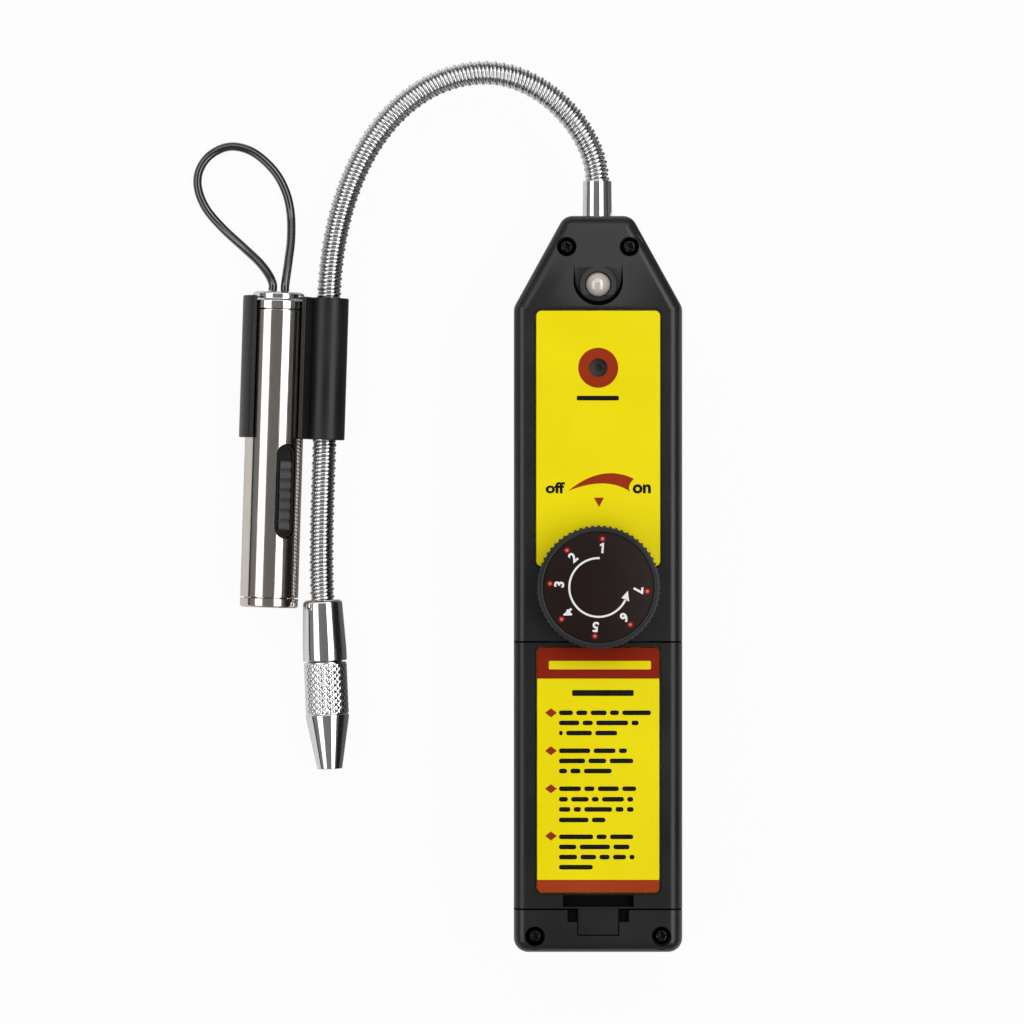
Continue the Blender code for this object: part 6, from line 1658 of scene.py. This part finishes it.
def make_dial_print():
    numbers, dots, edges = [], [], []
    for number in range(1, DIAL_NUMBERS + 1):
        angle = DIAL_FIRST_ANGLE + (number - 1) * DIAL_NUMBER_STEP
        spot = Matrix.Translation((*dial_spot(DIAL_NUMBER_RADIUS, angle), DIAL_FACE_TOP))
        place = spot @ Matrix.Rotation(angle - math.pi / 2, 4, "Z")
        if number == 1:
            sign = ink_field("number one", [NUMBER_ONE], 0.0)
            height = DIAL_NUMBER_HEIGHT
            sign.transform(place @ Matrix.Diagonal((height, height, 1.0, 1.0)))
        else:
            sign = lettering(str(number), DIAL_NUMBER_HEIGHT, place, weight=NUMBER_WEIGHT)
        numbers.append(sign)
        x, y = dial_spot(DIAL_DOT_RADIUS, angle)
        edge = circle(DIAL_DOT_EDGE, SCREW_TURN, x, y)
        edges.append(ink_field("dot edge", [edge], DIAL_FACE_TOP))
        dot = circle(DIAL_DOT_SIZE, SMALL_TURN, x, y)
        dots.append(ink_field("dot", [dot], DIAL_FACE_TOP + INK))
    first, last = DIAL_ARROW_TURN
    line = arc(0.0, DIAL_Y, DIAL_ARROW_RADIUS, first, last, DIAL_ARROW_STEPS)
    ring = ink_field("arrow ring", [band(line, DIAL_ARROW_LINE)], DIAL_FACE_TOP)
    tail = last - DIAL_ARROW_LAP
    head = ink_field("arrow head", [[
        dial_spot(DIAL_ARROW_RADIUS - DIAL_ARROW_HALF, tail),
        dial_spot(DIAL_ARROW_RADIUS + DIAL_ARROW_HALF, tail),
        dial_spot(DIAL_ARROW_RADIUS, last + DIAL_ARROW_HEAD / DIAL_ARROW_RADIUS),
    ]], DIAL_FACE_TOP)
    inked("dial_number_print", numbers + [ring, head], INK_WHITE, "dial_face", "dial")
    inked("dial_dot_edge_print", edges, INK_DEEP_RED, "dial_face", "dial")
    inked("dial_dot_print", dots, INK_RED, "dial_face", "dial")


def make_lamp_dome():
    section = [
        (0.0, LAMP_FLANGE_BOTTOM), (LAMP_FLANGE_RADIUS, LAMP_FLANGE_BOTTOM),
        (LAMP_FLANGE_RADIUS, LAMP_FLANGE_TOP), (LAMP_RADIUS, LAMP_FLANGE_TOP),
        *arc(0.0, LAMP_SHOULDER, LAMP_RADIUS, 0.0, math.pi / 2, CAP_STEPS)[:-1],
        (0.0, LAMP_SHOULDER + LAMP_RADIUS),
    ]
    place = Matrix.Translation((0.0, LAMP_Y, 0.0))
    turned(
        "lamp_dome", section, place, LAMP_MILKY, "lamp_plastic", "casing", "indicator_lamp",
        closed=False
    )


# Gooseneck, its lead and its ferrule

def straight(a, b):
    return a, a.lerp(b, 1 / 3), a.lerp(b, 2 / 3), b


def neck_route():
    """The neck's centre line, as close points from inside its ferrule to inside the barrel."""
    up = Vector((0.0, 1.0, 0.0))
    left = Vector((-1.0, 0.0, 0.0))
    origin = Vector((0.0, BODY_TOP, PARTING_HEIGHT))
    start = origin + up * NECK_SEAT_DEPTH
    mouth = origin + up * FERRULE_REACH
    apex = Vector(NECK_APEX)
    leg_middle = Vector(LEG_MIDDLE)
    way_down = apex.y - leg_middle.y - apex.x
    apex_way = Vector((left.x, 0.0, (leg_middle.z - PARTING_HEIGHT) / way_down)).normalized()
    leg_top = leg_middle - LEG_DOWN * (HOLDER_LENGTH / 2)
    leg_bottom = leg_middle + LEG_DOWN * (HOLDER_LENGTH / 2)
    probe = Vector(PROBE_TOP)
    end = probe + PROBE_DOWN * (BARREL_SOCKET_DEPTH - GAP)
    third = (leg_bottom - probe).length / 3
    spans = [
        straight(start, mouth),
        (mouth, mouth + up * NECK_RISE_PULL, apex - apex_way * NECK_APEX_PULL, apex),
        (apex, apex + apex_way * NECK_FALL_PULL, leg_top - LEG_DOWN * NECK_LEG_PULL, leg_top),
        straight(leg_top, leg_bottom),
        (leg_bottom, leg_bottom + LEG_DOWN * third, probe - PROBE_DOWN * third, probe),
        straight(probe, end),
    ]
    points = []
    for a, handle_a, handle_b, b in spans:
        samples = interpolate_bezier(a, handle_a, handle_b, b, NECK_SPAN_POINTS)
        points.extend(samples if b is end else samples[:-1])
    return points


def line_mesh(name, points):
    mesh = bpy.data.meshes.new(name)
    spans = [(index, index + 1) for index in range(len(points) - 1)]
    mesh.from_pydata([tuple(point) for point in points], spans, [])
    return mesh


def round_line(name, points, radius, resolution):
    """A curve along points with a round section and closed ends, and its one line."""
    curve = bpy.data.curves.new(name, "CURVE")
    curve.dimensions = "3D"
    curve.bevel_depth = radius
    curve.bevel_resolution = resolution
    curve.use_fill_caps = True
    return curve, add_line(curve, points)


def tube_mesh(name, points, radius, resolution):
    """A closed tube along points, its caps welded."""
    curve = round_line(name, points, radius, resolution)[0]
    return welded(evaluated_mesh(show(name, curve)))


def make_gooseneck():
    route = neck_route()
    mesh = grown("gooseneck_winding", line_mesh("neck line", route), gooseneck_tree(), {
        "Pitch": NECK_PITCH,
        "Points per Turn": NECK_TURN_POINTS,
        "Wire Sides": NECK_WIRE_SIDES,
        "Round Radius": NECK_WIRE_RADIUS,
        "Round Coil Radius": NECK_WIRE_COIL,
        "Wedge Radius": NECK_WEDGE_RADIUS,
        "Wedge Coil Radius": NECK_WEDGE_COIL,
        "Material": NECK_STEEL,
    })
    winding = piece("gooseneck_winding", mesh, NECK_STEEL, NECK_WIRE_ANGLE)
    dress_bent(winding, "neck_steel", "gooseneck")
    # A dark tube under the wires, as painted shade in the gaps between them.
    groove_shade_core = tube_mesh("neck core", route, NECK_CORE_RADIUS, NECK_CORE_RESOLUTION)
    dress_bent(piece("gooseneck_core", groove_shade_core, NECK_CORE_GROOVE_SHADE), "neck_steel")
    bend = (BOARD_HEIGHT - GAP - PARTING_HEIGHT) / 2
    inside_end = Vector((0.0, BODY_TOP - FERRULE_TAIL - 2 * LEAD_RADIUS, PARTING_HEIGHT))
    board_end = Vector((0.0, LEAD_BOARD_Y, BOARD_HEIGHT - GAP))
    points = interpolate_bezier(
        board_end, board_end - Vector((0.0, 0.0, bend)), inside_end - Vector((0.0, bend, 0.0)),
        inside_end, LEAD_SPAN_POINTS
    )
    lead = tube_mesh("sensor lead", points + route[::3], LEAD_RADIUS, LEAD_RESOLUTION)
    dress_bent(piece("sensor_lead_sleeve", lead, LEAD_GREY), "lead_sleeve", "sensor_lead")


def make_ferrule():
    seat = NECK_RADIUS + NECK_FIT
    section = softened([
        (FERRULE_TAIL_RADIUS, -FERRULE_TAIL),
        (FERRULE_TAIL_RADIUS, -SIDE_WALL),
        (FERRULE_RADIUS, -SIDE_WALL),
        (FERRULE_RADIUS, GAP),
        (FERRULE_MOUTH_RADIUS, FERRULE_REACH),
        (seat, FERRULE_REACH),
        (seat, NECK_SEAT_DEPTH - GAP),
        (LEAD_BORE, NECK_SEAT_DEPTH - GAP),
        (LEAD_BORE, -FERRULE_TAIL),
    ], FERRULE_SOFTENING)
    turned("neck_sleeve", section, NECK_PLACE, CHROME, "chrome_plate", "casing", "neck_ferrule")


# Torch holder

def holder_outline(steps):
    """The section of the torch holder: an open clip beside a sleeve for the neck."""
    clip_inside = TORCH_RADIUS + GAP
    clip_outside = clip_inside + CLIP_WALL
    sleeve_outside = NECK_RADIUS + GAP + SLEEVE_WALL
    lip = CLIP_WALL / 2
    lip_turn = lip / (clip_inside + lip)
    reach = (CLIP_SPACING ** 2 + clip_outside ** 2 - sleeve_outside ** 2) / (2 * CLIP_SPACING)
    meet = math.acos(reach / clip_outside)
    sleeve_turn = math.pi - math.acos((CLIP_SPACING - reach) / sleeve_outside)
    lip_right = math.pi / 2 - CLIP_OPENING / 2 - lip_turn
    lip_left = math.pi / 2 + CLIP_OPENING / 2 + lip_turn

    def clip_arc(radius, first, last, count):
        return arc(-CLIP_SPACING, 0.0, radius, first, last, count)

    def lip_arc(angle, first, last):
        middle = clip_inside + lip
        x = middle * math.cos(angle) - CLIP_SPACING
        return arc(x, middle * math.sin(angle), lip, first, last, HOLDER_LIP_STEPS)[1:-1]

    outline = clip_arc(clip_outside, lip_left, math.tau - meet, steps)
    outline += arc(0.0, 0.0, sleeve_outside, -sleeve_turn, sleeve_turn, steps)[1:]
    if lip_right > meet:
        outline += clip_arc(clip_outside, meet, lip_right, 2)[1:]
    outline += lip_arc(lip_right, lip_right, lip_right + math.pi)
    outline += clip_arc(clip_inside, lip_right, lip_left - math.tau, steps)
    outline += lip_arc(lip_left, lip_left - math.pi, lip_left)
    return outline


HOLDER_PLACE = piece_frame(Vector(LEG_MIDDLE), LEG_DOWN, HOLDER_TURN)
PROBE_PLACE = piece_frame(Vector(PROBE_TOP), PROBE_DOWN)
TORCH_PLACE = piece_frame(
    HOLDER_PLACE @ Vector((-CLIP_SPACING, 0.0, -TORCH_RISE)), LEG_DOWN, HOLDER_TURN
)


def make_holder():
    outlines = [holder_outline(HOLDER_STEPS), circle(NECK_RADIUS + GAP, FINE_TURN)]
    half = HOLDER_LENGTH / 2
    mesh = plate("torch holder", outlines, -half, half, HOLDER_EDGE, HOLDER_PLACE)
    holder = shell_piece("torch_holder", mesh, HOLDER_RUBBER)
    dress(holder, "holder_rubber", "holder", "light_holder")


# Probe and its guard

def make_probe():
    neck_seat = NECK_RADIUS + GAP
    lead_bore = LEAD_RADIUS + 2 * GAP
    shoulder = BARREL_SOCKET_DEPTH + 2 * GAP
    chamfer = BARREL_CHAMFER
    spigot_end = BARREL_LENGTH + SPIGOT_LENGTH
    section = softened([
        (neck_seat, 0.0),
        (BARREL_TOP_RADIUS - chamfer, 0.0),
        (BARREL_TOP_RADIUS, chamfer),
        (BARREL_RADIUS, BARREL_TAPER),
        (BARREL_RADIUS, BARREL_LENGTH),
        (SPIGOT_RADIUS, BARREL_LENGTH),
        (SPIGOT_RADIUS, spigot_end),
        (BARREL_CAVITY_RADIUS, spigot_end),
        (BARREL_CAVITY_RADIUS, shoulder + chamfer),
        (lead_bore, shoulder + chamfer),
        (lead_bore, shoulder),
        (neck_seat, shoulder),
    ], PROBE_SOFTENING)
    turned("probe_grip", section, PROBE_PLACE, CHROME, "chrome_plate", "probe", "probe_barrel")

    thread = SPIGOT_RADIUS + GAP
    knurl_end = GUARD_CONE_TOP - GUARD_STEP
    root = GUARD_RADIUS - GUARD_KNURL_DEPTH
    cone_drop, cone_start = GUARD_CONE_START
    section = softened([
        (root, GUARD_TOP),
        (root, knurl_end),
        (GUARD_RADIUS - GUARD_STEP / 10, GUARD_CONE_TOP),
        (GUARD_RADIUS - cone_drop, GUARD_CONE_TOP + cone_start),
        (GUARD_MOUTH_RADIUS, GUARD_END),
        (GUARD_MOUTH_RADIUS - GUARD_WALL, GUARD_END),
        (thread - GUARD_WALL / 2, GUARD_CONE_TOP),
        (thread, GUARD_CONE_TOP - GUARD_WALL),
        (thread, GUARD_TOP),
    ], GUARD_SOFTENING)
    turned("guard_cone", section, PROBE_PLACE, CHROME, "chrome_plate", "guard", "tip_guard")
    seed = line_mesh("knurl seed", [(0.0, 0.0, 0.0), (0.0, 0.0, 0.001)])
    mesh = grown("guard_knurl", seed, knurl_tree(), {
        "Radius": root - GUARD_KNURL_LAP,
        "Length": knurl_end - GUARD_TOP - GUARD_STEP,
        "Depth": GUARD_KNURL_DEPTH,
        "Columns": float(GUARD_KNURL_COLUMNS),
        "Rows": float(GUARD_KNURL_ROWS),
        "Faces Round": GUARD_KNURL_FACES * GUARD_KNURL_COLUMNS,
        "Faces Along": GUARD_KNURL_FACES * GUARD_KNURL_ROWS,
        "Material": CHROME,
    })
    mesh.transform(PROBE_PLACE @ Matrix.Translation((0.0, 0.0, GUARD_TOP + GUARD_STEP)))
    dress(piece("guard_knurl", mesh, CHROME, GUARD_KNURL_ANGLE), "chrome_plate", "guard")


# Torch

def stadium(half_length, width, steps=16):
    radius = width / 2
    end = half_length - radius
    head = arc(0.0, end, radius, 0.0, math.pi, steps)
    return head + arc(0.0, -end, radius, math.pi, math.tau, steps)


def make_torch():
    slot_place = (
        TORCH_PLACE
        @ Matrix.Rotation(-TORCH_SLOT_TURN, 4, "Z")
        @ Matrix.Translation((0.0, 0.0, TORCH_SLOT_MIDDLE))
        @ Matrix.Rotation(-math.pi / 2, 4, "X")
    )

    def slot_plate(name, margin, low, high):
        outline = stadium(TORCH_SLOT_LENGTH / 2 - margin, TORCH_SLOT_WIDTH - 2 * margin)
        return plate(name, [outline], low, high, place=slot_place)

    over = TORCH_RADIUS + OVERCUT
    section = softened([
        (TORCH_RADIUS, TORCH_TUBE_TOP), (TORCH_RADIUS, TORCH_TUBE_END),
        (TORCH_BORE, TORCH_TUBE_END), (TORCH_BORE, TORCH_TUBE_TOP),
    ], TORCH_TUBE_SOFTENING, 3)
    body = lathe("torch_body", section, FINE_TURN, TORCH_PLACE)
    slot = slot_plate("switch slot", 0.0, TORCH_BORE / 2, over)
    tube = carved("torch_body", body, [(CUT, slot)], TORCH_SLOT_EDGE)
    dress(shell_piece("torch_body", tube, TORCH_STEEL), "torch_steel", "torch", "torch_tube")

    floor = TORCH_LINER_BOTTOM + TORCH_LINER_WALL / 2
    liner = slot_plate("switch bed", GAP, TORCH_LINER_BOTTOM, TORCH_LINER_TOP)
    room = slot_plate("switch room", GAP + TORCH_LINER_WALL, floor, over)
    bed = carved("switch_bed", liner, [(CUT, room)], TORCH_LINER_EDGE)
    dress(shell_piece("switch_bed", bed, BED_BLACK), "component_black", "torch", "switch_liner")

    low, high = floor + GAP, TORCH_RADIUS - GAP
    ramp = high - low
    first = -TORCH_SLIDER_OFFSET / 2 - TORCH_SLIDER_LENGTH / 2
    last = first + TORCH_SLIDER_LENGTH
    profile = [(first, low), (last, low), (last - ramp, high)]
    pitch = (TORCH_SLIDER_LENGTH - 2 * ramp) / (TORCH_SLIDER_NOTCHES + 0.5)
    for notch in range(TORCH_SLIDER_NOTCHES):
        edge = last - ramp - (notch + 0.5) * pitch
        profile += [
            (edge, high), (edge - pitch / 4, high - TORCH_NOTCH_DEPTH), (edge - pitch / 2, high)
        ]
    profile.append((first + ramp, high))
    half = TORCH_SLIDER_WIDTH / 2
    # The profile stands on edge: its X runs along the slot and its Y outwards
    on_edge = Matrix(((0, 0, 1, 0), (1, 0, 0, 0), (0, 1, 0, 0), (0, 0, 0, 1)))
    mesh = plate(
        "switch button", [softened(profile, TORCH_SLIDER_SOFTENING, 2)], -half, half,
        TORCH_LINER_EDGE, slot_place @ on_edge
    )
    button = shell_piece("switch_button", mesh, SWITCH_BLACK_PAINTED_SHEEN)
    dress(button, "component_black", "slider", "switch_slider")
    make_torch_ends()


def make_torch_ends():
    plug = TORCH_BORE - GAP
    crown = TORCH_RADIUS - TORCH_CAP_EDGE
    ring_end = TORCH_CAP_CROWN + TORCH_CAP_RING
    section = [(0.0, 0.0)] + softened([
        (crown - TORCH_CAP_EDGE, 0.0),
        (crown, TORCH_CAP_EDGE / 2),
        (crown, TORCH_CAP_CROWN - TORCH_CAP_EDGE / 2),
        (TORCH_RADIUS, TORCH_CAP_CROWN),
        (TORCH_RADIUS, ring_end),
        (plug, ring_end),
        (plug, TORCH_CAP_END),
    ], TORCH_CAP_SOFTENING, closed=False) + [(0.0, TORCH_CAP_END)]
    cap = lathe("tail cap", section, FINE_TURN, TORCH_PLACE, closed=False)
    steps = []
    for side in (-1.0, 1.0):
        x = side * LOOP_LEG_SPACING / 2
        steps.append((CUT, post(
            "loop hole", LOOP_RADIUS + GAP / 2, -OVERCUT, TORCH_CAP_CROWN, x,
            sides=SCREW_TURN, place=TORCH_PLACE
        )))
    tail = shell_piece("tail_cap", carved("tail_cap", cap, steps), CHROME)
    dress(tail, "chrome_plate", "torch", "torch_tail_cap")

    ring_top = TORCH_LENGTH - TORCH_HEAD_RING
    plug_top = TORCH_TUBE_END - TORCH_HEAD_PLUG
    mouth = TORCH_LENS_RADIUS - TORCH_LINER_WALL
    lens_top = TORCH_LENGTH - TORCH_LENS_SHEET - 3 * GAP
    section = softened([
        (plug, plug_top),
        (plug, ring_top),
        (TORCH_RADIUS, ring_top),
        (TORCH_RADIUS, TORCH_LENGTH - TORCH_CAP_EDGE / 2),
        (TORCH_RADIUS - TORCH_CAP_EDGE / 2, TORCH_LENGTH),
        (TORCH_LENS_RADIUS + GAP, TORCH_LENGTH),
        (TORCH_LENS_RADIUS + GAP, lens_top - GAP),
        (mouth, lens_top - GAP),
        (mouth, plug_top),
    ], TORCH_RING_SOFTENING, 3)
    turned(
        "head_ring", section, TORCH_PLACE, TORCH_STEEL, "torch_steel", "head_ring",
        "torch_head_ring"
    )
    section = [(0.0, lens_top), (TORCH_LENS_RADIUS, lens_top)]
    edge = TORCH_LENS_SHEET * TORCH_LENS_EDGE_SHARE
    for step in range(TORCH_LENS_STEPS):
        angle = math.pi / 2 * step / TORCH_LENS_STEPS
        radius = TORCH_LENS_RADIUS * math.cos(angle * TORCH_LENS_TURN_SHARE)
        section.append((radius, lens_top + edge + (TORCH_LENS_SHEET - edge) * math.sin(angle)))
    section.append((0.0, lens_top + TORCH_LENS_SHEET))
    turned(
        "torch_window", section, TORCH_PLACE, LENS, "lens", "head_ring", "torch_lens",
        closed=False
    )


def smooth_line(points, samples=24):
    """Close points along one smooth curve through the route's own points."""
    dense = []
    last = len(points) - 1
    for index in range(last):
        here, after = points[index], points[index + 1]
        before = points[max(index - 1, 0)]
        beyond = points[min(index + 2, last)]
        handle_a = here + (after - before) / 6
        handle_b = after - (beyond - here) / 6
        spots = interpolate_bezier(here, handle_a, handle_b, after, samples)
        dense.extend(spots if index == last - 1 else spots[:-1])
    return dense


def spaced_points(points, count):
    lengths = [0.0]
    for before, after in zip(points, points[1:]):
        lengths.append(lengths[-1] + (after - before).length)
    spots = []
    index = 0
    for step in range(count + 1):
        goal = lengths[-1] * step / count
        while index < len(points) - 2 and lengths[index + 1] < goal:
            index += 1
        share = (goal - lengths[index]) / (lengths[index + 1] - lengths[index])
        spots.append(points[index].lerp(points[index + 1], min(max(share, 0.0), 1.0)))
    return spots, lengths[-1]


def make_hand_loop():
    """The hand loop: out of the tail cap, down to the surface, round, and back into the cap."""
    left_exit, right_exit = (
        TORCH_PLACE @ Vector((side * LOOP_LEG_SPACING / 2, 0.0, -GAP)) for side in (-1.0, 1.0)
    )
    cap = (left_exit + right_exit) / 2
    step = -LEG_DOWN * LOOP_STRAIGHT
    lying = [Vector((cap.x + x, cap.y + y, z)) for x, y, z in LOOP_ROUTE]
    route = [left_exit, left_exit + step] + lying + [right_exit + step, right_exit]
    points, length = spaced_points(smooth_line(route), LOOP_POINTS)
    curve, line = round_line("hand_loop_cord", points, LOOP_RADIUS, LOOP_RESOLUTION)
    line.use_smooth = True
    curve.materials.append(LOOP_CORD)
    loop = show("hand_loop_cord", curve)
    dress(loop, "loop_cord", "torch", "hand_loop")


# Finishes of the solids that stay as they are

KEPT_FINISHES = {
    "buzzer": BUZZER_CAN, "main_board": BOARD_GREEN, "boost_transformer": CORE_BROWN,
    "driver_chip": COMPONENT_BLACK, "filter_capacitor_1": SLEEVE_BLUE,
    "filter_capacitor_2": SLEEVE_BLUE, "lamp_spacer": COMPONENT_BLACK, "potentiometer": NICKEL,
    "dial_nut": NICKEL, "dial_shaft": NICKEL, "neck_nut": NICKEL,
    "sensor_socket": COMPONENT_BLACK, "sensor_element": CERAMIC,
    "torch_cell": CELL_SLEEVE, "torch_lamp": LAMP_MILKY, "torch_lamp_holder": COMPONENT_BLACK,
}
for number in range(1, 5):
    KEPT_FINISHES["battery_cell_" + str(number)] = CELL_SLEEVE
    KEPT_FINISHES["contact_spring_" + str(number)] = NICKEL
for number in range(1, 6):
    KEPT_FINISHES["contact_plate_" + str(number)] = NICKEL


def finish_kept_nodes():
    for name, material in KEPT_FINISHES.items():
        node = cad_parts[name]
        if not node.material_slots:
            node.data.materials.append(material)
        for material_slot in node.material_slots:
            material_slot.material = material


# Camera, floor and light

def make_camera():
    camera = bpy.data.cameras.new("camera")
    camera.lens = CAMERA_LENS
    camera.sensor_width = CAMERA_SENSOR
    camera.clip_start, camera.clip_end = CAMERA_CLIPS
    holder = show("camera", camera)
    holder.location = CAMERA_PLACE
    bpy.context.scene.camera = holder


def seen_directly(tree, mirror_share):
    """1 for what the lens sees itself or through a clear piece, and a share of that in a mirror."""
    path = new_node(tree, "ShaderNodeLightPath").outputs
    mirrored = times(tree, path["Is Glossy Ray"], mirror_share)
    beyond = scalar(tree, "MAXIMUM", path["Is Transmission Ray"], mirrored)
    return scalar(tree, "MAXIMUM", path["Is Camera Ray"], beyond)


def unshaded(tree):
    """The share of the floor's colour kept: 1, and less for mirror rays that go right from the
    torch, the neck and the probe, as painted shade in their reflections.
    """
    ray = new_node(tree, "ShaderNodeNewGeometry").outputs
    way, spot = parted(tree, ray["Incoming"]), parted(tree, ray["Position"])
    rightward = ranged(tree, times(tree, way["X"], -1.0), 0.0, 1.0, FLOOR_SHADE_RAMP)
    left_end, top_start = FLOOR_SHADE_LIMITS
    beside = scalar(tree, "LESS_THAN", spot["X"], left_end)
    above = scalar(tree, "GREATER_THAN", spot["Y"], top_start)
    near = scalar(tree, "MAXIMUM", beside, above)
    mirrored = new_node(tree, "ShaderNodeLightPath").outputs["Is Glossy Ray"]
    return scalar(tree, "SUBTRACT", 1.0, times(tree, rightward, near, mirrored, FLOOR_SHADE))


def blended(tree, share, first, second, output):
    """Mixes two shaders into the surface of an output."""
    blend = new_node(tree, "ShaderNodeMixShader")
    for value, socket in zip((share, first, second), blend.inputs):
        join(tree, value, socket)
    join(tree, blend.outputs["Shader"], tree.nodes[output].inputs["Surface"])


def make_floor():
    """A pale floor that keeps the shadow; what looks straight at it sees it white, and mirror rays
    beside the torch, the neck and the probe see it darker as painted reflection shade.
    """
    material, tree, shader = start_material("pale floor")[:3]
    kept = unshaded(tree)
    join(tree, times(tree, kept, FLOOR_GREY), shader.inputs["Base Color"])
    given(shader, {"Roughness": FLOOR_ROUGHNESS, "Specular IOR Level": 0.0})
    white = given(new_node(tree, "ShaderNodeEmission"), {"Strength": 1.0})
    seen = times(tree, seen_directly(tree, FLOOR_MIRROR_SHARE / FLOOR_SHARE), kept, FLOOR_SHARE)
    blended(tree, seen, shader.outputs["BSDF"], white.outputs["Emission"], "Material Output")
    mesh = bpy.data.meshes.new("floor")
    corners = rectangle(-FLOOR_HALF, -FLOOR_HALF, FLOOR_HALF, FLOOR_HALF)
    mesh.from_pydata([(x, y, FLOOR_HEIGHT) for x, y in corners], [], [(0, 1, 2, 3)])
    mesh.materials.append(material)
    show("floor", mesh)


def make_lamp(name, settings):
    place, size, power = settings
    light = bpy.data.lights.new(name, "AREA")
    light.shape = "RECTANGLE"
    light.size, light.size_y = size
    light.energy = power
    holder = show(name, light)
    holder.location = place
    down = Vector(LAMP_AIM) - Vector(place)
    holder.rotation_euler = down.to_track_quat("-Z", "Y").to_euler()
    holder.visible_camera = False


def make_world():
    """A dim grey studio round the softboxes, white where the lens looks straight at it."""
    world = bpy.data.worlds.new("studio")
    world.use_nodes = True
    tree = world.node_tree
    back = tree.nodes["Background"]
    way = parted(tree, new_node(tree, "ShaderNodeTexCoord").outputs["Generated"])
    ramp = new_node(tree, "ShaderNodeValToRGB")
    elements = ramp.color_ramp.elements
    elements.remove(elements[1])
    elements[0].position = WORLD_LEVELS[0][0]
    for position, level in WORLD_LEVELS:
        element = elements.new(position) if position > 0.0 else elements[0]
        element.color = (level, level, level, 1.0)
    join(tree, way["Z"], ramp.inputs["Fac"])
    join(tree, ramp.outputs["Color"], back.inputs["Color"])
    first, last, share = WORLD_RIGHT
    join(tree, ranged(tree, way["X"], 1.0, share, (first, last)), back.inputs["Strength"])
    white = given(new_node(tree, "ShaderNodeBackground"), {"Color": (1.0, 1.0, 1.0, 1.0)})
    blended(
        tree, seen_directly(tree, 0.0), back.outputs["Background"],
        white.outputs["Background"], "World Output"
    )
    bpy.context.scene.world = world


make_camera()
make_hand_loop()
make_rear_shell()
make_front_shell()
make_parting_lip()
make_door_cover()
make_screws()
make_front_print()
make_door_print()
make_dial()
make_lamp_dome()
make_gooseneck()
make_ferrule()
make_holder()
make_probe()
make_torch()
finish_kept_nodes()
make_floor()
make_lamp("right softbox", RIGHT_LAMP)
make_lamp("left softbox", LEFT_LAMP)
make_lamp("top softbox", TOP_LAMP)
make_world()
bpy.context.scene.view_settings.view_transform = "Standard"
